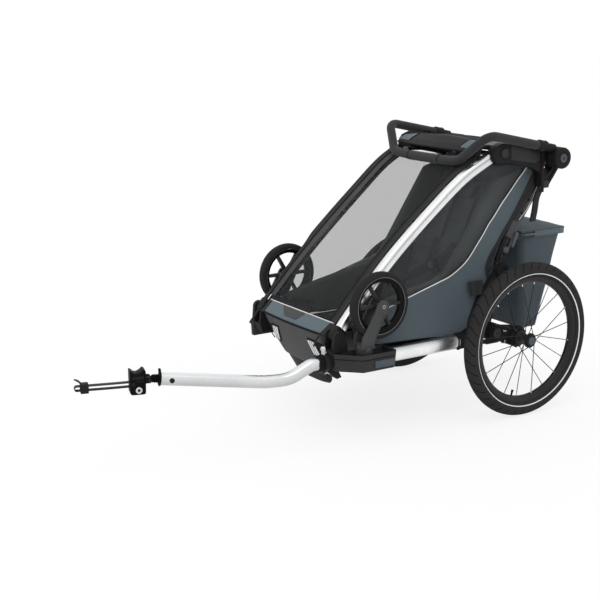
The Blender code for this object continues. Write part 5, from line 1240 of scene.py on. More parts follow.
@dataclass
class RearStrut:
    """A telescoping rear strut with its lock collar, lever, cable and bag bar."""

    side: int
    tag: str
    x: float = 0.1962
    bow: float = 0.0190
    boss_at: Point = (-0.0300, 0.4600)

    def _line(self, side: int) -> list[Vector]:
        """The strut's middle line, which bows forwards below its collar."""
        foot, head = Vector((side * self.x, *STRUT_FOOT)), Vector((side * self.x, *STRUT_HEAD))
        line = []
        for i in range(41):
            share = i / 40
            bow = self.bow * math.sin(math.pi * share ** 0.75)
            line.append(foot.lerp(head, share) + Vector((0, -bow * 0.87, bow * 0.49)))
        return line

    def build(self) -> list[Piece]:
        """Turn the strut and its collar, and bend the cable beside it."""
        s, tag = self.side, self.tag
        foot, head = Vector((s * self.x, *STRUT_FOOT)), Vector((s * self.x, *STRUT_HEAD))
        way = (head - foot).normalized()
        line = self._line(s)
        strut = rod(f"rear_strut_{tag}_tube", [line], 0.0112, 6)
        sleeve = sweep(f"strut_sleeve_{tag}", line[4:15], soft_section(0.0105, 0.0165, 0.0060, 4))
        collar = sweep(f"strut_collar_{tag}", line[14:22], soft_section(0.0145, 0.0150, 0.0050, 4))
        slots = [bar(f"sleeve_slot_{tag}_{k}", line[k] + Vector((s * 0.0090, 0.004, 0)),
                     line[k] + Vector((s * 0.0118, 0.004, 0)), 0.0046, 0.0004, 20) for k in (7, 11, 25, 31)]
        pin = bar(f"strut_pin_{tag}", foot, (s * 0.2065, *STRUT_FOOT), 0.0060)
        seat = foot + way * 0.110
        holder = rod(f"bag_bar_{tag}",
                     [[(s * 0.1808, seat.y - 0.004, seat.z), (s * 0.1808, 0.1400, seat.z)]], 0.0045, 4)
        beside = ((22, 0.0125, 0.006), (27, 0.0150, 0.014), (33, 0.0130, 0.010), (38, 0.0110, 0.004))
        run = smooth_route([line[k] + Vector((s * out, back, 0)) for k, out, back in beside], 18)
        cable = rod(f"lock_cable_{tag}", [run], 0.0016, 2)
        sling = skin(f"strut_sling_{tag}",
                     [[p + Vector((-s * 0.012, 0.0090 + 0.0085 * k, -0.0050 - 0.0055 * k)) for k in range(4)]
                      for p in line[9:41]], thickness=0.0016)
        boss = lathe(f"strut_foot_boss_{tag}",
                     [(-0.0080, 0.0200), (-0.0060, 0.0250), (0.0080, 0.0255), (0.0130, 0.0225),
                      (0.0140, 0.0110), (0.0120, 0.0100)], (s * 0.2215, *self.boss_at), (s, 0, 0), 44)
        guard = block(f"collar_guard_{tag}", line[9] + Vector((s * 0.0090, -0.0060, -0.0100)),
                      line[9] + Vector((s * 0.0165, 0.0130, 0.0080)), 0.0025)
        return [dress(strut, NYLON_PALER, "rear_struts", (f"rear_strut_{tag}",)),
                dress(sleeve, NYLON, "rear_struts"), dress(collar, FORK_NYLON, "rear_struts"),
                dress(join(f"sleeve_slots_{tag}", slots), BLACK_AND_SHADE_NYLON, "rear_struts"),
                dress(sling, SLATE_CLOTH, "rear_struts"),
                dress(pin, SPOKE_STEEL, "rear_struts"), dress(holder, STEEL_PAINT, "rear_struts"),
                dress(cable, BRIGHT_STEEL, "rear_struts"), dress(guard, GREY_PLASTIC, "rear_struts"),
                dress(boss, NYLON, "chassis"), dress_node(f"lock_lever_{tag}", GREY_PLASTIC)]


# Soft goods

@dataclass
class SidePanel:
    """A cabin side: slate cloth below white piping, clear film above it, and a padded wing."""

    side: int
    tag: str
    x: float = 0.1995
    piping: tuple[Point, ...] = (
        (-0.600, 0.362), (-0.500, 0.383), (-0.430, 0.402), (-0.356, 0.423), (-0.310, 0.436),
        (-0.263, 0.449), (-0.239, 0.4555), (-0.215, 0.4655), (-0.191, 0.479), (-0.1675, 0.495),
        (-0.144, 0.518), (-0.1206, 0.548), (-0.097, 0.577), (-0.074, 0.610), (-0.050, 0.637),
        (-0.0265, 0.667), (-0.0026, 0.6935), (0.0214, 0.720), (0.0454, 0.747), (0.0697, 0.771),
        (0.0833, 0.788))
    hem: tuple[Point, ...] = (
        (-0.606, 0.352), (-0.604, 0.318), (-0.585, 0.301), (-0.530, 0.291), (-0.360, 0.284),
        (-0.170, 0.272), (-0.155, 0.312), (-0.125, 0.362), (-0.085, 0.402), (-0.070, 0.450),
        (-0.056, 0.513), (-0.020, 0.559), (0.012, 0.602), (0.043, 0.638), (0.080, 0.692), (0.100, 0.7405),
        (0.107, 0.788))
    wing: tuple[Point, ...] = (
        (-0.590, 0.380), (-0.501, 0.403), (-0.283, 0.447), (-0.240, 0.462), (-0.215, 0.485),
        (-0.190, 0.520), (-0.036, 0.753), (0.060, 0.775), (0.035, 0.720), (-0.010, 0.640), (-0.060, 0.560),
        (-0.095, 0.480), (-0.112, 0.400), (-0.112, 0.330), (-0.200, 0.300), (-0.480, 0.300),
        (-0.500, 0.345), (-0.590, 0.352))
    border: tuple[Point, ...] = (
        (0.1059, 0.7768), (0.0887, 0.7405), (0.0602, 0.6923), (0.0245, 0.6381), (-0.0030, 0.6018),
        (-0.0342, 0.5594), (-0.0679, 0.5129), (-0.0844, 0.4719), (-0.0738, 0.4310))
    border_rear: tuple[Point, ...] = (
        (0.1120, 0.7860), (0.1120, 0.7405), (0.0810, 0.6923), (0.0440, 0.6381), (0.0130, 0.6018),
        (-0.0190, 0.5594), (-0.0550, 0.5129), (-0.0720, 0.4719), (-0.0640, 0.4310))

    def build(self) -> list[Piece]:
        """Sew the side's cloth, border, film, piping, tab and wing."""
        tag, s = self.tag, self.side
        cloth = skin(f"side_cloth_{tag}", self._cloth_rows(), thickness=0.0016)
        film = skin(f"side_window_{tag}", self._film_rows(), thickness=0.0006)
        line = [Vector((s * (self.x + 0.0010), *p[:2]))
                for p in (read_line(self.piping, i / 70) for i in range(71))]
        cord = rod(f"side_piping_{tag}", [line], 0.0019, 2)
        # A dark rod just beside the white piping: painted shade along it
        shade = rod(f"side_piping_shade_line_{tag}", [[p + Vector((s * -0.0004, -0.0018, 0.0022)) for p in line]],
                    0.0011, 1)
        border = skin(f"side_border_{tag}", self._border_rows(), thickness=0.0012)
        edge = rod(f"side_binding_{tag}", [[self._edge(i / 80, 1.0) for i in range(81)]], 0.0019, 2)
        tab = skin(f"side_tab_{tag}", self._tab_rows(), thickness=0.0024)
        wing = slab(f"side_wing_{tag}", "x", self.wing, s * 0.1600, s * 0.1880, 0.009, 4)
        pieces = [dress(cloth, SLATE_CLOTH, None, (f"side_panel_{tag}",)), dress(film, CLEAR_FILM, None),
                  dress(cord, PIPING, None), dress(edge, BLACK_PIPING, None), dress(tab, WEBBING, None),
                  dress(wing, PAD_CLOTH, None), dress(shade, BLACK_AND_SHADE_NYLON, None),
                  dress(border, DARK_CLOTH, None)]
        for piece in pieces:
            hang(piece)
        return pieces

    def _edge(self, share: float, out: float) -> Vector:
        """A point between the piping, 0, and the hem, 1, at a share along both."""
        inner, outer = read_line(self.piping, share), read_line(self.hem, share)
        point = inner.lerp(outer, out)
        low = max(0.0, min(1.0, (0.42 - point.y) / 0.13))
        rear = max(0.0, min(1.0, (point.x + 0.20) / 0.15)) * (1 - low)
        flare = out ** 1.6 * (0.0235 * low + 0.004 * rear)
        ripple = 0.0016 * math.sin(math.pi * min(out * 1.3, 1.0)) * math.sin(9.0 * share + 3.0 * out)
        crease = 0.0010 * noise.noise(Vector((point.x * 16, point.y * 26, 3.0)))
        return Vector((self.side * (self.x + flare + ripple + crease * (1 - out)), point.x, point.y))

    def _border_rows(self) -> list[list[Vector]]:
        """Rows of the black border down the cloth's rear edge."""
        rows = []
        for i in range(41):
            inner, outer = read_line(self.border, i / 40), read_line(self.border_rear, i / 40)
            spots = [inner.lerp(outer, j / 5) for j in range(6)]
            rows.append([Vector((self.side * (self.x + 0.0062 + 0.0008 * math.sin(i * 0.9 + j)), p.x, p.y))
                         for j, p in enumerate(spots)])
        return facing(rows, -self.side)

    def _tab_rows(self) -> list[list[Vector]]:
        """Rows of the folded tab that ties the cloth's lower corner to the suspension's mount."""
        rows = []
        for i in range(9):
            row = []
            for j in range(13):
                across, down = -0.1566 + 0.0583 * j / 12, i / 8
                fold = 0.0022 * math.sin(across * 210 + 2 * down)
                row.append(Vector((self.side * (0.2080 + 0.0130 * down + fold), across,
                                   0.4351 - 0.0423 * down)))
            rows.append(row)
        return facing(rows, self.side)

    def _cloth_rows(self) -> list[list[Vector]]:
        """Rows of the slate cloth from its front to its top."""
        return [[self._edge(i / 90, j / 14) for j in range(15)] for i in range(91)]

    def _film_rows(self) -> list[list[Vector]]:
        """Rows of the clear film, from the front tube's rear edge to the piping."""
        rows = []
        for i in range(61):
            share = i / 60
            tube = tube_at(0.10 + 0.86 * share, -0.0165)
            pipe = read_line(self.piping, share)
            row = []
            for j in range(17):
                across = j / 16
                y, z = tube.y + (pipe.x - tube.y) * across, tube.z + (pipe.y - tube.z) * across
                free = math.sin(math.pi * across)
                sag = free * (0.0030 + 0.0035 * noise.noise(Vector((y * 9 + z * 5, z * 3, 1.5))))
                fold = 0.0022 * free * noise.noise(Vector(((y - z) * 30, (y + z) * 7, 8.0)))
                row.append(Vector((self.side * (self.x - 0.0006 - sag - fold), y, z)))
            rows.append(row)
        return rows


@dataclass
class FrontCover:
    """The see-through front cover between the tubes, with its hem, bands and piping."""

    start: float = 0.045
    end: float = 0.945
    hem_half: float = 0.1790
    hem_end: float = 0.65
    nose: Point = (-0.6850, 0.3330)
    tube_inset: float = 0.0156

    def build(self) -> list[Piece]:
        """Sew the mesh, the pale hem, the bands over the tubes, and the straps."""
        low = [[self._on_hem(-1 + j / 12, self.hem_end + (1 - self.hem_end) * i / 4) for j in range(25)]
               for i in range(4)]
        mesh = skin("front_cover_mesh", low + [self._row(i / 46) for i in range(47)], thickness=0.0008)
        hem = skin("front_cover_hem", self._hem_rows(), thickness=0.0016)
        pieces = [dress(mesh, COVER_MESH, None, ("front_cover",)), dress(hem, LIGHT_SLATE, None)]
        top = [self._on_hem((-1 + j / 12) * 0.96, self.hem_end, 0.0016) for j in range(25)]
        pieces.append(dress(rod("hem_piping", [top], 0.0016, 2), PIPING, None))
        patch = [[self._on_hem(-0.48 + 0.68 * j / 8 + (0.20 - 0.31 * j / 8) * (1 - i / 5),
                               0.22 + 0.38 * i / 5, 0.0017)
                  for j in range(9)] for i in range(6)]
        pieces.append(dress(skin("hem_patch", patch, thickness=0.0012), FORK_NYLON, None))
        for side, tag in SIDES:
            border = [[self._on_hem(side * (0.89 + 0.11 * j / 3), self.hem_end * i / 6, 0.0012)
                       for j in range(4)]
                      for i in range(7)]
            border = facing(border, side)
            pieces.append(dress(skin(f"hem_border_{tag}", border, thickness=0.0014), DARK_CLOTH, None))
            band, cords = self._band(side)
            pieces.append(dress(skin(f"cover_band_{tag}", band, thickness=0.0014), DARK_CLOTH, None))
            pieces.append(dress(rod(f"cover_piping_{tag}", cords, 0.0016, 2), BLACK_PIPING, None))
        # A dark sheet over the right tube's front and inner side, laid on that side alone
        dark_sheet = [[Vector((-(p.x + across), p.y, p.z)) for across, p in
                   ((across, tube_at(0.03 + 0.92 * i / 46, ahead)) for across, ahead in
                    ((-0.0320, 0.0118), (-0.0210, 0.0160), (-0.0130, 0.0170)))][::-1] for i in range(47)]
        pieces.append(dress(skin("right_tube_dark_sheet", dark_sheet, thickness=0.0010), FORK_NYLON, None))
        near = [[(0.172, -0.6905, 0.3400), (0.164, -0.7020, 0.3180), (0.156, -0.7040, 0.2980)]]
        far = [[(-0.190, -0.6610, 0.3620), (-0.190, -0.6950, 0.3270), (-0.192, -0.7130, 0.3040),
                (-0.192, -0.7210, 0.2940)]]
        tail = [[(-0.190, -0.6840, 0.3180), (-0.190, -0.6580, 0.2790), (-0.190, -0.6280, 0.2330)]]
        for name, line, radius, sides in (("hem_toggle_left", near, 0.0028, 2),
                                          ("hem_toggle_right", far, 0.0034, 2),
                                          ("hem_tail_right", tail, 0.0017, 1)):
            pieces.append(dress(rod(name, line, radius, sides), WEBBING, None))
        for piece in pieces:
            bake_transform(piece)
        return pieces

    def _row(self, share: float) -> list[Vector]:
        """One row of the mesh, at a share of its height."""
        at = self.start + (self.end - self.start) * share
        half = tube_at(at).x - self.tube_inset
        row = []
        for j in range(25):
            u = -1 + j / 12
            point = tube_at(at, 0.006 + 0.008 * (1 - u ** 2))
            row.append(Vector((half * u, point.y, point.z)))
        return row

    def _on_hem(self, u: float, v: float, lift: float = 0.0) -> Vector:
        """A point of the hem, across by u and up by v, lifted off it."""
        top = tube_at(self.start, 0.006)
        y = self.nose[0] + (top.y - self.nose[0]) * v
        z = self.nose[1] + (top.z - self.nose[1]) * v
        bow = 1 - u ** 2
        half = self.hem_half + (tube_at(self.start).x - self.tube_inset - self.hem_half) * v
        return Vector((half * u, y - bow * (0.006 + 0.002 * v) - lift, z + bow * 0.0055 * v + lift * 0.4))

    def _hem_rows(self) -> list[list[Vector]]:
        """Rows of the pale hem, from the nose up to the mesh."""
        return [[self._on_hem(-1 + j / 12, self.hem_end * i / 6) for j in range(25)] for i in range(7)]

    def _band(self, side: int) -> tuple[list[list[Vector]], list[list[Vector]]]:
        """The dark band that wraps one tube's front, and the piping along its edges."""
        rows, outer, inner = [], [], []
        for i in range(47):
            at = 0.002 + 0.958 * i / 46
            spots = []
            wide = 0.0060 + 0.0095 * max(0.0, min(1.0, (at - 0.30) / 0.06))
            section = ((-0.0120, 0.0182), (-0.0060, 0.0182), (0.0010, 0.0180), (wide, 0.0174))
            if side > 0:
                section = ((-0.0500, 0.0104), (-0.0380, 0.0096), (-0.0260, 0.0098), (-0.0180, 0.0140),
                           (-0.0118, 0.0172))
            for across, ahead in section:
                point = tube_at(at, ahead)
                spots.append(Vector((side * (point.x + across), point.y, point.z)))
            rows.append(spots if side > 0 else spots[::-1])
            outer.append(spots[-1])
            inner.append(spots[0] + Vector((0, -0.0008, 0.0008)))
        return rows, [outer, inner]


@dataclass
class Canopy:
    """The crowned roof: dark cloth over two ribs, slate side strips, hem and bound edges."""

    front: Point = (-0.1000, 0.8580)
    rear: Point = (0.1020, 0.8350)
    half: float = 0.2060
    slope: tuple[tuple[float, float, float, float], ...] = (
        (-0.1280, 0.8400, 0.0330, 0.0030), (-0.1180, 0.8500, 0.0200, 0.0080),
        (-0.1000, 0.8580, 0.0, 0.0180))
    crown: float = 0.018
    ribs: tuple[float, float] = (0.34, 0.66)
    rib_rise: float = 0.0048
    rib_width: float = 0.045
    strip_front: float = -0.72
    strip_length: float = 1.60
    gusset_across: tuple[float, float, float, float] = (0.70, 0.80, 0.90, 0.98)
    gusset_inset: float = 0.0900
    gusset_foot: float = 0.0960

    def build(self) -> list[Piece]:
        """Stretch the roof, and sew its strips, gussets, hem and bindings."""
        rows = [[self._roof(-1 + j / 20, -1 + i / 8) for j in range(41)] for i in range(8)]
        rows += [[self._roof(-1 + j / 20, i / 40) for j in range(41)] for i in range(41)]
        rows += [[p + Vector((0, 0.0015 * k, -0.0100 * k)) for p in rows[48]] for k in (1, 2, 3, 4)]
        roof = skin("canopy_roof", rows, thickness=0.0022)
        front = rod("canopy_front_binding", [[self._roof(-1 + j / 20, -1.0) for j in range(41)]], 0.0030, 2)
        pieces = [dress(roof, DARK_CLOTH, "upper_frame", ("canopy",)),
                  dress(front, BLACK_PIPING, "upper_frame")]
        for side, tag in SIDES:
            strip = [[self._roof(side * (0.62 + 0.36 * j / 8), self.strip_front + self.strip_length * i / 32,
                                 0.0022) for j in range(9)]
                     for i in range(33)]
            strip = facing(strip, side)
            pieces.append(dress(skin(f"canopy_strip_{tag}", strip, thickness=0.0016), LIGHT_SLATE,
                                "upper_frame"))
            edges = [[self._roof(side * u, self.strip_front + self.strip_length * i / 32, 0.0030)
                      for i in range(33)] for u in (0.615, 0.985)]
            pieces.append(dress(rod(f"canopy_edge_{tag}", edges, 0.0017, 2), BLACK_PIPING, "upper_frame"))
            gusset = [[self._roof(side * u, -1.0).lerp(self._tube_top(side, u), k / 4)
                       for u in self.gusset_across] for k in range(5)]
            gusset = facing(gusset, side)
            pieces.append(dress(skin(f"canopy_gusset_{tag}", gusset, thickness=0.0014), DARK_CLOTH,
                                "upper_frame"))
        for number, at in enumerate(self.ribs):
            seam = [[self._roof(-0.60 + 1.2 * j / 20, at + way * 0.055, 0.0012) for j in range(21)]
                    for way in (-1, 1)]
            pieces.append(dress(rod(f"canopy_seam_{number}", seam, 0.0009, 1), BLACK_PIPING, "upper_frame"))
        pieces.append(dress_node("canopy_bar", STEEL_PAINT))
        return pieces

    def _tube_top(self, side: int, u: float) -> Vector:
        """The gusset's foot beside one front tube's top."""
        top = tube_at(0.965, 0.0130)
        first, last = self.gusset_across[0], self.gusset_across[-1]
        return Vector((side * (top.x - self.gusset_inset + self.gusset_foot * (u - first) / (last - first)),
                       top.y, top.z))

    def _roof(self, u: float, share: float, lift: float = 0.0) -> Vector:
        """A point of the roof, across by u and back by a share, lifted off it; -1 is the hem."""
        if share < 0:
            place = (1 + share) * 2
            a, b = self.slope[int(place)], self.slope[int(place) + 1]
            y, z, ahead, rise = (p + (q - p) * (place - int(place)) for p, q in zip(a, b))
            wave = 0.0010 * noise.noise(Vector((u * 5, share * 3, 2.0)))
            high = 1 - u ** 2
            return Vector((self.half * u, y - ahead * high - lift * 0.6,
                           z + rise * high + wave * high + lift * 0.8))
        y = self.front[0] + (self.rear[0] - self.front[0]) * share
        z = self.front[1] + (self.rear[1] - self.front[1]) * share
        bow = 1 - u ** 2
        rib = self.rib_rise * sum(math.exp(-((share - at) / self.rib_width) ** 2) for at in self.ribs)
        crease = 0.0012 * noise.noise(Vector((u * 2.4, share * 16, 2.0))) * bow * min(1.0, share * 8)
        return Vector((self.half * u, y, z + self.crown * bow + rib * (0.3 + 0.7 * bow) + crease + lift))


@dataclass
class BackCloth:
    """The cabin's rear wall, with a seam down each side."""

    line: tuple[Point, ...] = ((0.0900, 0.7900), (0.0500, 0.7000), (0.0100, 0.6100), (-0.0350, 0.5100),
                               (-0.0780, 0.4200), (-0.1000, 0.3400), (-0.0920, 0.2890))
    half: float = 0.1965
    slack: float = 0.005
    crease: float = 0.0024
    seam_at: float = 0.80

    def build(self) -> list[Piece]:
        """Hang the wall, which sags a little between its edges."""
        rows, seams = [], [[], []]
        for i in range(41):
            point = read_line(self.line, i / 40)
            row = []
            for j in range(25):
                u = -1 + j / 12
                slack = self.slack * (1 - u ** 2) * math.sin(math.pi * i / 40)
                crease = self.crease * noise.noise(Vector((u * 4, i * 0.22, 5.0))) * (1 - u ** 2)
                row.append(Vector((self.half * u, point.x + slack + crease, point.y)))
            rows.append(row)
            for k, u in enumerate((-self.seam_at, self.seam_at)):
                seams[k].append(Vector((self.half * u, point.x + 0.0032, point.y)))
        wall = dress(skin("rear_wall", rows, thickness=0.0018), SLATE_CLOTH, None, ("back_cloth",))
        seam = dress(rod("rear_wall_seams", seams, 0.0012, 1), BLACK_PIPING, None)
        return [hang(wall), hang(seam)]


@dataclass
class Seat:
    """A seat cushion, a seat back and a five-point harness with its buckle."""

    half: float = 0.1550
    seat_middle: tuple[float, float, float] = (0.0, -0.3050, 0.2783)
    seat_depth: float = 0.2700
    back_middle: Point = (-0.0450, 0.5387)
    back_length: float = 0.4300
    lean: float = 65.6

    def build(self) -> list[Piece]:
        """Stuff the cushions by simulation, sew their channels, and lay the harness."""
        level = Matrix.Translation(Vector(self.seat_middle))
        turn = Matrix.Rotation(math.radians(self.lean), 4, "X")
        leaned = Matrix.Translation((0, *self.back_middle)) @ turn
        seat = self._pad("seat_pad", (2 * self.half, self.seat_depth, 0.044), 3, level, 0.006)
        back = self._pad("seat_back_pad", (2 * self.half, self.back_length, 0.036), 5, leaned, 0.006)
        pieces = [dress(seat, PAD_CLOTH, "chassis", ("seat_cushion",), 60),
                  crumple(dress(back, PAD_CLOTH, "chassis", ("seat_back",), 60))]
        return pieces + self._harness()

    def _pad(self, name: str, size: tuple[float, float, float], channels: int, place: Matrix,
             cap: float) -> Piece:
        """Make one pad: a rounded block, puffed by Cloth, then sewn across.

        Args:
            name: The pad's name.
            size: Width, length and thickness.
            channels: Sewn channels along its length.
            place: Where it lies.
            cap: How far the simulation may move a point.

        Returns:
            The pad.
        """
        wide, long, thick = size
        pad = block(name, (-wide / 2 + 0.004, -long / 2 + 0.004, -thick / 2 + 0.001),
                    (wide / 2 - 0.004, long / 2 - 0.004, thick / 2 - 0.004), 0.014, 4)
        apply_modifier(pad, "REMESH", mode="VOXEL", voxel_size=0.006)
        rest = [v.co.copy() for v in pad.data.vertices]
        take(pad)
        cloth = pad.modifiers.new("Cloth", "CLOTH")
        cloth.settings.use_pressure = True
        cloth.settings.uniform_pressure_force = 4
        cloth.settings.effector_weights.gravity = 0
        for step in range(1, 21):
            bpy.context.scene.frame_set(step)
        bpy.ops.object.modifier_apply(modifier=cloth.name)
        bpy.context.scene.frame_set(1)
        for vert, start in zip(pad.data.vertices, rest):
            move = vert.co - start
            if move.length > cap:
                vert.co = start + move.normalized() * cap
        for vert in pad.data.vertices:
            if vert.co.z > 0:
                at = (vert.co.y / long + 0.5) * channels
                near = abs(at - round(at)) if 0.4 < at < channels - 0.4 else 0.5
                groove = math.exp(-(near / 0.045) ** 2)
                fall = 1 - (abs(vert.co.x) / (wide / 2)) ** 6
                vert.co.z -= groove * 0.0075 * max(0.0, fall)
                vert.co.z += 0.0012 * noise.noise(Vector((vert.co.x * 22, vert.co.y * 22, 4.0)))
            vert.co.z = max(vert.co.z, -thick / 2)
        apply_modifier(pad, "SUBSURF", levels=1, render_levels=1)
        pad.data.transform(place)
        return pad

    def _on_back(self, x: float, along: float, lift: float) -> Vector:
        """A point in front of the seat back's middle plane."""
        lean = math.radians(self.lean)
        up, ahead = Vector((0, math.cos(lean), math.sin(lean))), Vector((0, -math.sin(lean), math.cos(lean)))
        return Vector((x, *self.back_middle)) + up * along + ahead * lift

    def _harness(self) -> list[Piece]:
        """Lay the webs, shoulder pads and buckle."""
        lift = 0.0250
        buckle = self._on_back(0, -0.1150, lift + 0.0185)
        web = soft_section(0.0125, 0.0009, 0.0005, 2)
        webs, pads = [], []
        for side, tag in SIDES:
            route = smooth_route([buckle + Vector((side * 0.014, 0, 0.018)),
                                  self._on_back(side * 0.046, -0.03, lift + 0.003),
                                  self._on_back(side * 0.050, 0.080, lift + 0.003),
                                  self._on_back(side * 0.050, 0.180, lift)], 24)
            webs.append(sweep(f"shoulder_web_{tag}", route, web))
            belt = smooth_route([buckle + Vector((side * 0.024, 0, -0.004)),
                                 self._on_back(side * 0.080, -0.150, lift + 0.004),
                                 self._on_back(side * 0.135, -0.185, lift)], 16)
            webs.append(sweep(f"lap_web_{tag}", belt, web))
            pad = sweep(f"shoulder_pad_{tag}", route[8:20], soft_section(0.0210, 0.0050, 0.0045, 4))
            pads.append(crumple(dress(pad, PAD_CLOTH, "chassis")))
        crotch = smooth_route([(0, -0.2380, 0.3060), buckle - Vector((0, -0.002, 0.034)),
                               buckle - Vector((0, 0, 0.018))], 12)
        webs.append(sweep("crotch_web", crotch, web))
        straps = crumple(dress(join("harness_webs", webs), WEBBING, "chassis", ("harness",)))
        body = block("buckle_body", buckle - Vector((0.026, 0.008, 0.025)),
                     buckle + Vector((0.026, 0.007, 0.025)), 0.006)
        button = lathe("buckle_button", [(0, 0.0125), (0.0030, 0.0120), (0.0040, 0.0105)],
                       buckle + Vector((0, -0.0075, 0)), (0, -1, 0), 40)
        return [straps, *pads, crumple(dress(body, NYLON, "chassis")),
                crumple(dress(button, GREY_PLASTIC, "chassis"))]


@dataclass
class CargoBag:
    """The slate cargo bag behind the seat, its rolled rim and its soft lid."""

    half: float = 0.1755
    floor_z: float = 0.2350
    top_z: float = 0.5600
    front_y: Point = (0.1200, 0.0900)
    rear_y: Point = (0.2000, 0.2800)

    def build(self) -> list[Piece]:
        """Loft the sagging shell, and lay the rim and lid on it."""
        shell = skin("cargo_bag_shell", [self._ring(i / 36) for i in range(37)], ring=True)
        edit(shell)
        bpy.ops.mesh.select_all(action="DESELECT")
        bpy.ops.object.mode_set(mode="OBJECT")
        for edge in shell.data.edges:
            edge.select = all(shell.data.vertices[v].co.z < self.floor_z + 1e-4 for v in edge.vertices)
        bpy.ops.object.mode_set(mode="EDIT")
        bpy.ops.mesh.edge_face_add()
        bpy.ops.mesh.inset(thickness=0.012)
        bpy.ops.mesh.select_all(action="SELECT")
        bpy.ops.mesh.normals_make_consistent(inside=False)
        bpy.ops.object.mode_set(mode="OBJECT")
        apply_modifier(shell, "SOLIDIFY", thickness=0.0022, offset=-1.0)
        rim = sweep("cargo_bag_rim", [p + Vector((0, 0, -0.006)) for p in self._ring(1.0)],
                    soft_section(0.0024, 0.0085, 0.002, 3), (0, 0, 1))
        corners = [[self._ring(i / 30)[k] for i in range(31)] for k in (6, 18)]
        seam = rod("cargo_bag_seams", corners, 0.0011, 1)
        lid = skin("cargo_lid_top", self._lid_rows(), thickness=0.0060)
        flap = skin("cargo_lid_flap", self._flap_rows(), thickness=0.0022)
        band = [[Vector((self.half + 0.0022 + 0.0008 * math.sin(5 * i), 0.1500 + 0.1320 * i / 16,
                         self.top_z + 0.0040 - 0.0048 * k)) for i in range(17)] for k in range(5)]
        band = skin("cargo_lid_band", band[::-1], thickness=0.0016)
        pull = block("cargo_lid_pull", (-0.0110, 0.2820, 0.5340), (0.0110, 0.2860, 0.5640), 0.0018)
        pieces = [self._flat(dress(shell, BAG_CLOTH, "chassis", ("cargo_bag",), 60)),
                  self._flat(dress(rim, LIGHT_SLATE, "chassis")),
                  self._flat(dress(seam, BLACK_PIPING, "chassis")),
                  self._flat(dress(lid, BAG_CLOTH, "bag_lid", ("bag_lid",), 60)),
                  self._flat(dress(flap, LIGHT_SLATE, "bag_lid")),
                  self._flat(dress(band, LIGHT_SLATE, "bag_lid")),
                  self._flat(dress(pull, WEBBING, "bag_lid"))]
        return pieces

    def _flat(self, piece: Piece) -> Piece:
        """Give a bag piece a mesh of its own."""
        return crumple(piece)

    def _ring(self, share: float) -> list[Vector]:
        """One level ring of the shell, slack in its middle and creased down its corners."""
        front = self.front_y[0] + (self.front_y[1] - self.front_y[0]) * share
        rear = self.rear_y[0] + (self.rear_y[1] - self.rear_y[0]) * share ** 0.85
        half = self.half * (0.93 + 0.07 * share)
        z = self.floor_z + (self.top_z - self.floor_z) * share
        corner, slack = 0.024, math.sin(math.pi * share)
        corners = (((half - corner, rear - corner), 0), ((-half + corner, rear - corner), 90),
                   ((-half + corner, front + corner), 180), ((half - corner, front + corner), 270))
        flat = []
        for (x, y), start in corners:
            flat += arc((x, y), corner, 7, start, start + 90)
        points = []
        for k, (x, y) in enumerate(flat):
            nx, ny = flat[(k + 1) % len(flat)]
            steps = 8 if math.hypot(nx - x, ny - y) > 0.03 else 1
            points += [(x + (nx - x) * t / steps, y + (ny - y) * t / steps) for t in range(steps)]
        ring = []
        for x, y in points:
            fold = 0.0050 * slack * noise.noise(Vector((x * 13, z * 9, y * 13)))
            tight = 0.0030 * slack * math.sin(x * 52 + 5 * share)
            out = Vector((x / half * 0.6, (y - (front + rear) / 2) / (rear - front), 0))
            out = out.normalized() if out.length else out
            ring.append(Vector((x, y, z)) - out * (0.0050 * slack + fold + tight * 0.4 + 0.0006))
        return [*ring, ring[0].copy()]

    def _lid_rows(self) -> list[list[Vector]]:
        """Rows of the crowned lid, wrinkled towards its hinge."""
        rows = []
        for i in range(25):
            share = i / 24
            row = []
            for j in range(33):
                u = -1 + j / 16
                swell = (1 - u ** 4) * (1 - (2 * share - 1) ** 4)
                crease = 0.0034 * noise.noise(Vector((u * 5, share * 4, 7.0))) * swell
                crease += 0.0014 * noise.noise(Vector((u * 13, share * 9, 2.0))) * swell ** 0.5
                row.append(Vector(((self.half + 0.001) * u, 0.0910 + 0.1920 * share,
                                   self.top_z + 0.0045 + 0.0150 * swell + crease)))
            rows.append(row)
        return rows

    def _flap_rows(self) -> list[list[Vector]]:
        """Rows of the flap that hangs over the bag's rear edge."""
        rows = []
        for i in range(7):
            row = []
            for j in range(33):
                u = -1 + j / 16
                wave = 0.0014 * math.sin(u * 9) * i / 6
                row.append(Vector(((self.half + 0.001) * u, 0.2838 - 0.0010 * i + wave,
                                   self.top_z + 0.0050 - 0.0034 * i)))
            rows.append(row)
        return rows


@dataclass
class WristStrap:
    """A web loop that hangs from the left shoulder."""

    x: float = 0.2240

    def build(self) -> list[Piece]:
        """Sew the two plies and the loop's turned foot."""
        y, z = STRUT_HEAD[0], STRUT_HEAD[1] - 0.0210
        route = smooth_route([(self.x, y - 0.008, z), (self.x + 0.001, y - 0.024, z - 0.030),
                              (self.x + 0.001, y - 0.030, z - 0.070), (self.x, y - 0.036, z - 0.104)], 20)
        plies = [sweep(f"wrist_ply_{n}", [p + Vector((off, 0, 0)) for p in route],
                       soft_section(0.0011, 0.0112, 0.0009, 3))
                 for n, off in enumerate((-0.0022, 0.0022))]
        foot = route[-1]
        plies.append(bar("wrist_turn", foot + Vector((0, 0.0108, 0.0010)),
                         foot - Vector((0, 0.0108, -0.0010)), 0.0033, 0.0004, 20))
        strap = join("wrist_strap_web", plies)
        tab = block("wrist_tab", (self.x - 0.0046, y - 0.0210, z - 0.0140),
                    (self.x + 0.0046, y + 0.0040, z + 0.0004), 0.002)
        return [dress(strap, WEBBING, "upper_frame", ("wrist_strap",)), dress(tab, NYLON, "upper_frame")]


# Nose and towing

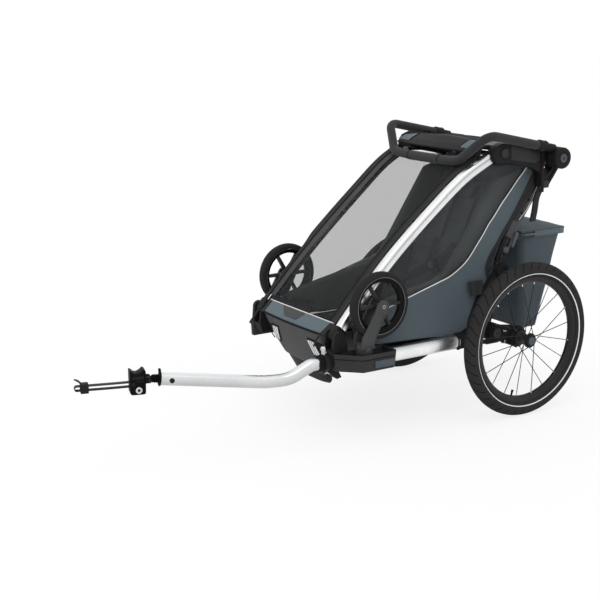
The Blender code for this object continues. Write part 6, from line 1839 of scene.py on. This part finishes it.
@dataclass
class Nose:
    """The moulded nose and footwell, its trim, reflectors and front bracket."""

    top: Point = (-0.6840, 0.3300)
    foot: Point = (-0.6050, 0.1470)
    rear_y: float = -0.4999
    half_top: float = 0.1760
    narrowing: float = 0.0760
    floor_z: float = 0.2090
    chin_wall: float = 0.0050
    splay: float = 0.0120

    def build(self) -> list[Piece]:
        """Mould the shell and the chin plate, and fit reflectors, bracket and flap."""
        floor_share = (self.top[1] - self.floor_z) / (self.top[1] - self.foot[1])
        rows = [self._row(floor_share * i / 24) for i in range(25)]
        low = [Vector((p.x * 0.975, p.y + (0.003 if p.y < self.rear_y - 0.02 else 0.0), p.z - 0.0035))
               for p in rows[-1]]
        shell = skin("nose_shell", [*rows, low], thickness=0.0034)
        floor = slab("footwell_floor", "z", [(p.x * 0.985, p.y + 0.002) for p in low[::2]], 0.2052, 0.2086)
        trim = rod("nose_trim", [[p + Vector((0, -0.0030, 0.0030)) for p in rows[0][6:-6]]], 0.0036, 3)
        chin = skin("nose_chin", self._chin_rows(floor_share), thickness=self.chin_wall)
        lugs = [block(f"chin_lug_{n}", (x - 0.007, -0.6440, 0.1930), (x + 0.007, -0.6380, 0.1985), 0.0014)
                for n, x in enumerate((0.098, 0.122))]
        flap = slab("chin_flap", "x",
                    [(-0.6560, 0.2140), (-0.6420, 0.2140), (-0.6300, 0.1860), (-0.6380, 0.1840)],
                    0.0850, 0.1280, 0.003)
        pieces = [dress(shell, NOSE_PLASTIC, "chassis", ("footwell",), 60),
                  dress(floor, NOSE_PLASTIC, "chassis"),
                  dress(trim, BLACK_AND_SHADE_NYLON, "chassis"), dress(chin, NYLON, "chassis"),
                  dress(flap, NYLON, "chassis"), dress(join("chin_lugs", lugs), BRIGHT_STEEL, "chassis")]
        for side, tag in SIDES:
            pieces += self._side(side, tag)
        bracket = block("tow_bracket", (0.1930, -0.6990, 0.2800), (0.2330, -0.6600, 0.2960), 0.003)
        pin = lathe("tow_bracket_pin", [(0, 0.0080), (0.0016, 0.0092), (0.0040, 0.0088), (0.0052, 0.0050)],
                    (0.2090, -0.6985, 0.2880), (0, -1, 0), 32)
        flap = slab("tow_flap", "x",
                    [(-0.7050, 0.2400), (-0.6620, 0.2400), (-0.6450, 0.2080), (-0.6620, 0.2040)],
                    0.1960, 0.2200, 0.003)
        stud = bar("tow_flap_stud", (0.2080, -0.6900, 0.2290), (0.2080, -0.6780, 0.2230), 0.0042)
        return pieces + [dress(bracket, NYLON, "chassis"), dress(pin, BRIGHT_STEEL, "chassis"),
                         dress(flap, NYLON, "chassis"), dress(stud, BRIGHT_STEEL, "chassis"),
                         dress_node("front_knuckles", NYLON), dress_node("rear_beam", STEEL_PAINT),
                         dress_node("floor_pan", NYLON), dress_node("brake_pedal", NYLON_PALER)]

    def _row(self, share: float) -> list[Vector]:
        """One level row round the nose, from its right rear corner to its left."""
        y = self.top[0] + (self.foot[0] - self.top[0]) * share
        z = self.top[1] + (self.foot[1] - self.top[1]) * share
        half = self.half_top - self.narrowing * share ** 1.3
        bend = 0.0060 * math.sin(math.pi * share)
        right = [(half + 0.004, self.rear_y), (half + 0.002, (y + self.rear_y) / 2),
                 (half - 0.001, y + 0.034),
                 (half - 0.005, y + 0.016), (half - 0.014, y + 0.005), (half - 0.028, y)]
        keys = [(-x, b) for x, b in right] + [(-half * 0.4, y - 0.0045), (0, y - 0.0060),
                                              (half * 0.4, y - 0.0045)]
        keys += right[::-1]
        return [Vector((p.x, p.y - bend, z)) for p in smooth_route([(a, b, z) for a, b in keys], 57)]

    def _chin_rows(self, floor_share: float) -> list[list[Vector]]:
        """Rows of the chin plate, below the tub."""
        rows = []
        for i in range(15):
            share = floor_share - 0.10 + (1.10 - floor_share) * i / 14
            y = self.top[0] + (self.foot[0] - self.top[0]) * share
            z = self.top[1] + (self.foot[1] - self.top[1]) * share
            half = (self.half_top - self.narrowing * share ** 1.3) * (0.95 - 0.11
                                                                      * max(0.0, (share - 0.94) / 0.06))
            rows.append([Vector((half * u, y - 0.004 + 0.014 * u ** 4, z))
                         for u in (-1 + k / 14 for k in range(29))])
        return rows

    def _side(self, side: int, tag: str) -> list[Piece]:
        """One upright reflector with its frame and dark splits, and the pocket beside it."""
        def panel(name: str, low: float, high: float, foot: float, head: float, lift: float,
                  wall: float) -> Piece:
            spots = [low + (high - low) * k / 4 for k in range(5)]
            rows = [[self._face(side * (x + self.splay * k / 4), head + (foot - head) * k / 4, lift)
                     for x in spots]
                    for k in range(5)]
            return skin(name, facing(rows, side), thickness=wall)
        lens = panel(f"nose_reflector_{tag}", 0.087, 0.117, 0.254, 0.299, 0.0030, 0.0030)
        seat = panel(f"reflector_seat_{tag}", 0.0835, 0.1205, 0.249, 0.304, 0.0012, 0.0024)
        pocket = panel(f"nose_pocket_{tag}", 0.1240, 0.1500, 0.262, 0.300, 0.0008, 0.0022)
        splits = [[self._face(side * x, 0.2985, 0.0046), self._face(side * (x + self.splay), 0.2545, 0.0046)]
                  for x in (0.0965, 0.1075)]
        split = rod(f"reflector_split_{tag}", splits, 0.0011, 1)
        return [dress(lens, REFLECTOR, "chassis"), dress(seat, BLACK_AND_SHADE_NYLON, "chassis"),
                dress(split, BLACK_AND_SHADE_NYLON, "chassis"), dress(pocket, BLACK_AND_SHADE_NYLON, "chassis")]

    def _face(self, x: float, z: float, lift: float) -> Vector:
        """A point on the front face at a given x and z, lifted off it."""
        share = (z - self.top[1]) / (self.foot[1] - self.top[1])
        row = self._row(share)
        for a, b in zip(row, row[1:]):
            if (a.x - x) * (b.x - x) <= 0 and a.y < self.rear_y - 0.05:
                point = a.lerp(b, (x - a.x) / (b.x - a.x) if b.x != a.x else 0)
                return point + Vector((0, -0.92, -0.39)) * (lift + 0.0017)
        return Vector((x, self.top[0], z))


@dataclass
class TowArm:
    """The bent tow arm in its receiver, with the receiver's pin and the arm's button."""

    route: tuple[tuple[float, float, float], ...] = (
        (0.2200, -0.7380, 0.2640), (0.2200, -0.7600, 0.2630), (0.2090, -0.8200, 0.2330),
        (0.1950, -0.8800, 0.2290), (0.1850, -0.9130, 0.2310), (0.1741, -0.9490, 0.2355),
        (0.1440, -1.0480, 0.2480), (0.1030, -1.1830, 0.2650))

    def build(self) -> list[Piece]:
        """Bend the arm and turn its fittings."""
        bent = smooth_route(self.route, 46)
        line = [Vector((0.22, -0.6953 - 0.0132 * i, 0.264))
                for i in range(4)] + [read_line(bent[::3], i / 45) for i in range(46)]
        arm = sweep("tow_arm_extrusion", line, soft_section(0.0172, 0.0172, 0.0105, 5), (0, 0, 1))
        mouth = lathe("receiver_tube", [(0.0, 0.0180), (0.0, 0.0236), (0.0012, 0.0246), (0.0100, 0.0246),
                                        (0.0112, 0.0233), (0.0445, 0.0233), (0.0445, 0.0180)],
                      (0.22, -0.735, 0.264), (0, 1, 0), 56, True)
        lip = lathe("receiver_clamp",
                    [(0.0160, 0.0236), (0.0160, 0.0262), (0.0300, 0.0262), (0.0300, 0.0236)],
                    (0.22, -0.735, 0.264), (0, 1, 0), 56, True)
        pin = lathe("tow_lock_pin_form",
                    [(0.0236, 0.0060), (0.0376, 0.0060), (0.0386, 0.0085), (0.0470, 0.0085),
                     (0.0480, 0.0072), (0.0500, 0.0060)], (0.22, -0.71265, 0.264), (0, 0, 1), 32)
        knob = lathe("arm_button_form",
                     [(0.0142, 0.0060), (0.0192, 0.0060), (0.0200, 0.0052), (0.0200, 0.0030)],
                     HEAD - ALONG * 0.030, ACROSS, 28)
        ring = lathe("arm_button_ring", [(0.0168, 0.0064), (0.0182, 0.0076), (0.0182, 0.0064)],
                     HEAD - ALONG * 0.030, ACROSS, 28, True)
        return [dress(arm, ARM_ALUMINIUM, "tow_arm", ("tow_arm",), 30),
                dress(mouth, BLACK_AND_SHADE_NYLON, "chassis", ("tow_receiver",), 30), dress(lip, NYLON, "chassis"),
                dress(pin, BRIGHT_STEEL, "tow_lock_pin", ("tow_lock_pin",), 30),
                dress(knob, NYLON, "tow_arm_button", ("tow_arm_button",), 30),
                dress(ring, NYLON_PALER, "tow_arm")]


HEAD = Vector((0.103, -1.183, 0.265))
ALONG = Vector((-0.28850, -0.94990, 0.12022))
ACROSS = Vector((0.95684, -0.29060, 0.0))
BACK = Vector((0.2906, 0.9568, 0.0))


@dataclass
class Hitch:
    """The tow head: a ribbed neck, the jaw on its pin, and the strap keeper's plate."""

    start: float = -0.0180
    front: float = -0.0620
    top: float = 0.0307
    foot: float = -0.0397
    strap_start: float = -0.0623

    def place(self) -> Matrix:
        """The hitch's own frame, whose -Y points ahead."""
        origin = HEAD + ALONG * 0.0263
        turned = Matrix((ACROSS, BACK, Vector((0, 0, 1)))).transposed().to_4x4()
        return Matrix.Translation(origin) @ turned

    def _set(self, piece: Piece) -> Piece:
        """Move a piece from the hitch's own frame onto the arm's head."""
        piece.data.transform(self.place())
        return piece

    def build(self) -> list[Piece]:
        """Mould the neck, jaw, disc and relief."""
        neck = lathe("coupling_neck_form", [
            (0.0003, 0.0178), (0.0003, 0.0200), (0.0012, 0.0214), (0.0042, 0.0214), (0.0056, 0.0190),
            (0.0080, 0.0120), (0.0100, 0.0112), (0.0110, 0.0128), (0.0122, 0.0128), (0.0132, 0.0110),
            (0.0150, 0.0110), (0.0160, 0.0126), (0.0172, 0.0126), (0.0182, 0.0108), (0.0200, 0.0108),
            (0.0210, 0.0122), (0.0222, 0.0122), (0.0232, 0.0104), (0.0260, 0.0100)], HEAD, ALONG, 44)
        tongue = block("coupling_tongue", (-0.0060, -0.0150, -0.0068), (0.0060, 0.0060, 0.0068), 0.002)
        tongue = self._set(tongue)
        tip = self._set(block("collar_tip", (-0.0070, 0.0205, 0.0150), (0.0070, 0.0275, 0.0262), 0.0024))
        s, f, t, b = self.start, self.front, self.top, self.foot
        outline = [(s + 0.001, t - 0.004), (s - 0.004, t + 0.001), (s - 0.008, t), (s - 0.012, t - 0.0045),
                   (s - 0.018, t - 0.0085), (s - 0.024, t - 0.0105), (s - 0.031, t - 0.0090),
                   (s - 0.038, t - 0.003),
                   (f + 0.003, t), (f, t - 0.003), (f, b + 0.006), (f + 0.0018, b + 0.0018), (f + 0.006, b),
                   (s - 0.006, b), (s - 0.0014, b + 0.0016), (s, b + 0.006)]
        jaw = slab("hitch_jaw_form", "x", outline, -0.0200, 0.0200, 0.0024, 3)
        cheeks = [slab(f"jaw_cheek_{n}", "x",
                       [(s - 0.004, 0.0085), (-0.0080, 0.0085), *arc((-0.008, 0), 0.0085, 9, 75, -75),
                        (s - 0.004, -0.0085)], sign * 0.0072, sign * 0.0200, 0.0014)
                  for n, sign in enumerate((1, -1))]
        jaw = self._set(join("hitch_jaw_form", [jaw, *cheeks]))
        disc = self._set(lathe("jaw_disc",
                               [(0.0196, 0.0094), (0.0218, 0.0092), (0.0224, 0.0085), (0.0224, 0.0045),
                                (0.0216, 0.0038)], (0, -0.0378, -0.0258), (1, 0, 0), 40))
        dot = self._set(lathe("jaw_disc_dot", [(0.0216, 0.0036), (0.0222, 0.0036), (0.0226, 0.0030)],
                              (0, -0.0378, -0.0258), (1, 0, 0), 24))
        pin = self._set(lathe("jaw_pin",
                              [(-0.0218, 0.0030), (-0.0208, 0.0042), (0.0208, 0.0042), (0.0218, 0.0030)],
                              (0, -0.0080, 0), (1, 0, 0), 28))
        relief = [self._set(block("jaw_relief", (0.0188, -0.0585, -0.0140), (0.0212, -0.0475, -0.0020),
                                  0.0010)),
                  self._set(block("jaw_slot", (0.0190, -0.0440, -0.0020), (0.0209, -0.0240, 0.0012),
                                  0.0008)),
                  self._set(block("jaw_step", (0.0190, -0.0560, 0.0050), (0.0208, -0.0240, 0.0140), 0.0012))]
        keep = self._keeper()
        return [dress(neck, JAW_NYLON, "coupling_neck", ("coupling_neck",), 30),
                dress(tongue, JAW_NYLON, "coupling_neck"),
                dress(tip, JAW_NYLON, "coupling_neck"), dress(jaw, JAW_NYLON, "hitch", ("hitch_jaw",), 30),
                dress(disc, BRIGHT_STEEL, "hitch", angle=30), dress(dot, STEEL_PAINT, "hitch"),
                dress(pin, SPOKE_STEEL, "hitch"),
                *(dress(piece, NYLON, "hitch") for piece in relief), *keep]

    def _keeper(self) -> list[Piece]:
        """Mould the keeper that holds the strap's plies, with its tails, and lay the strap."""
        y = self.strap_start - 0.15 + 0.026
        ring = slab("strap_keeper_form", "x",
                    [(y - 0.0110, -0.0255), (y + 0.0120, -0.0255), (y + 0.0120, 0.0015),
                     (y - 0.0110, 0.0015)], -0.0135, 0.0135, 0.0024)
        slot = block("keeper_tool", (-0.0104, y - 0.03, -0.0194), (0.0104, y + 0.03, -0.0046), 0.001)
        ring = self._set(cut(ring, slot))
        tails = [[(0.0100, y - 0.0080, 0.0005), (0.0120, y - 0.0140, 0.0100), (0.0110, y - 0.0220, 0.0150)],
                 [(-0.0060, y - 0.0080, 0.0005), (-0.0080, y - 0.0160, 0.0080),
                  (-0.0100, y - 0.0260, 0.0110)]]
        tail = self._set(rod("keeper_tails", [smooth_route(t, 8) for t in tails], 0.0024, 2))
        turn_y, reach = self.strap_start - 0.15 + 0.0055, 0.0063
        line = [Vector((0, self.strap_start + (turn_y - self.strap_start) * i / 16, -0.012 + reach))
                for i in range(17)]
        line += [Vector((0, turn_y - reach * math.sin(math.pi * i / 12),
                         -0.012 + reach * math.cos(math.pi * i / 12)))
                 for i in range(1, 12)]
        line += [Vector((p.x, p.y, -0.012 - reach)) for p in line[16::-1]]
        for k, place in enumerate(line):
            swing = 0.0009 * math.sin(math.pi * min(1.0, (self.strap_start - place.y) / 0.12))
            line[k] = place + Vector((swing, 0, 0))
        strap = self._set(sweep("safety_strap_web", line, soft_section(0.0100, 0.0008, 0.0006, 3)))
        strap = dress(strap, WEBBING, "hitch", ("safety_strap",))
        keeper = dress(ring, NYLON, "hitch", ("strap_keeper",), 30)
        tail = dress(tail, WEBBING, "hitch")
        return [strap, keeper, tail]


# Studio

@dataclass
class Studio:
    """A white sweep, soft light and the photograph's camera."""

    eye: tuple[float, float, float] = (2.9600, -2.0594, 1.2640)
    right: tuple[float, float, float] = (0.54024, 0.84151, 0.0)
    up: tuple[float, float, float] = (-0.20073, 0.12887, 0.97113)
    forward: tuple[float, float, float] = (-0.81722, 0.52465, -0.23853)
    lens: float = 70.5
    sensor_width: float = 36.0
    backdrop_share: float = 0.8
    room_strength: float = 0.84
    lamp_energy: float = 0.75
    lamp_width_deg: float = 60
    lamp_tilt_deg: tuple[float, float] = (24, 22)
    floor_size: float = 60

    def camera(self) -> None:
        """Stand the camera where the photograph was taken."""
        deselect_all()
        bpy.ops.object.camera_add()
        camera = bpy.context.object
        camera.name = "photo_camera"
        turned = Matrix((Vector(self.right), Vector(self.up), -Vector(self.forward))).transposed().to_4x4()
        camera.matrix_world = Matrix.Translation(self.eye) @ turned
        camera.data.lens = self.lens
        camera.data.sensor_width = self.sensor_width
        bpy.context.scene.camera = camera
        LOG.info("camera: %.1f mm lens at %.2f m", self.lens, Vector(self.eye).length)

    def _seen(self, tree: bpy.types.NodeTree) -> bpy.types.NodeSocket:
        """A socket that is 1 for what the camera sees, directly, in metal or through glass."""
        path = add_node(tree, "ShaderNodeLightPath")
        seen = path.outputs["Is Camera Ray"]
        for name in ("Is Glossy Ray", "Is Transmission Ray"):
            seen = add_node(tree, "ShaderNodeMath", {0: seen, 1: path.outputs[name]},
                            operation="MAXIMUM").outputs[0]
        return seen

    def _sweep_paint(self) -> bpy.types.Material:
        """White floor paint, whose shadows are seen at a part of their depth."""
        paint = FLOOR.material()
        tree = paint.node_tree
        white = add_node(tree, "ShaderNodeEmission", {"Color": linear("ffffff"), "Strength": 1.0})
        share = add_node(tree, "ShaderNodeMath", {0: self._seen(tree), 1: self.backdrop_share},
                         operation="MULTIPLY")
        mixed = add_node(tree, "ShaderNodeMixShader", {0: share.outputs[0],
                                                       1: tree.nodes["Principled BSDF"].outputs[0],
                                                       2: white.outputs[0]})
        tree.links.new(mixed.outputs[0], tree.nodes["Material Output"].inputs["Surface"])
        return paint

    def light(self) -> None:
        """Light the trailer from a bright room and one soft lamp above its left side."""
        scene = bpy.context.scene
        world = bpy.data.worlds.new("studio")
        scene.world = world
        world.use_nodes = True
        tree = world.node_tree
        tree.nodes.clear()
        seen = self._seen(tree)
        white = linear("ffffff")
        room = add_node(tree, "ShaderNodeBackground", {"Color": white, "Strength": self.room_strength})
        backdrop = add_node(tree, "ShaderNodeBackground", {"Color": white, "Strength": 1.0})
        mixed = add_node(tree, "ShaderNodeMixShader", {0: seen, 1: room.outputs[0], 2: backdrop.outputs[0]})
        add_node(tree, "ShaderNodeOutputWorld", {0: mixed.outputs[0]})
        deselect_all()
        bpy.ops.object.light_add(type="SUN", location=(1.2, -1.4, 3.0))
        lamp = bpy.context.object
        lamp.name = "soft_box"
        lamp.data.energy = self.lamp_energy
        lamp.data.angle = math.radians(self.lamp_width_deg)
        lamp.rotation_euler = (*(math.radians(tilt) for tilt in self.lamp_tilt_deg), 0)
        deselect_all()
        bpy.ops.mesh.primitive_plane_add(size=self.floor_size)
        floor = made("white_floor")
        floor.data.materials.append(self._sweep_paint())
        scene.view_settings.view_transform = "Standard"
        LOG.info("studio: white room, one soft lamp, white floor")


def build_parts() -> list[tuple[str, object]]:
    """List every sub-assembly with its maker."""
    makers: list[tuple[str, object]] = [("tow arm", TowArm()), ("hitch and safety strap", Hitch())]
    for side, tag in SIDES:
        makers += [(f"{tag} main wheel", MainWheel(side, tag)), (f"{tag} suspension", Suspension(side, tag)),
                   (f"{tag} stroller wheel", StrollerWheel(side, tag)),
                   (f"{tag} front tube", FrontTube(side, tag)),
                   (f"{tag} shoulder", Shoulder(side, tag)), (f"{tag} rear strut", RearStrut(side, tag)),
                   (f"{tag} side panel", SidePanel(side, tag))]
    return makers + [("push bar", PushBar()), ("canopy", Canopy()), ("front cover", FrontCover()),
                     ("back cloth", BackCloth()), ("seat and harness", Seat()), ("cargo bag", CargoBag()),
                     ("wrist strap", WristStrap()), ("nose", Nose())]


def main() -> None:
    """Dress the frame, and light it."""
    logging.basicConfig(level=logging.INFO, format="%(name)s: %(message)s")
    studio = Studio()
    studio.camera()
    for name, maker in build_parts():
        pieces = maker.build()
        faces = sum(len(piece.data.polygons) for piece in pieces)
        LOG.info("%s: %d pieces, %d faces", name, len(pieces), faces)
    studio.light()


if __name__ == "__main__":
    main()
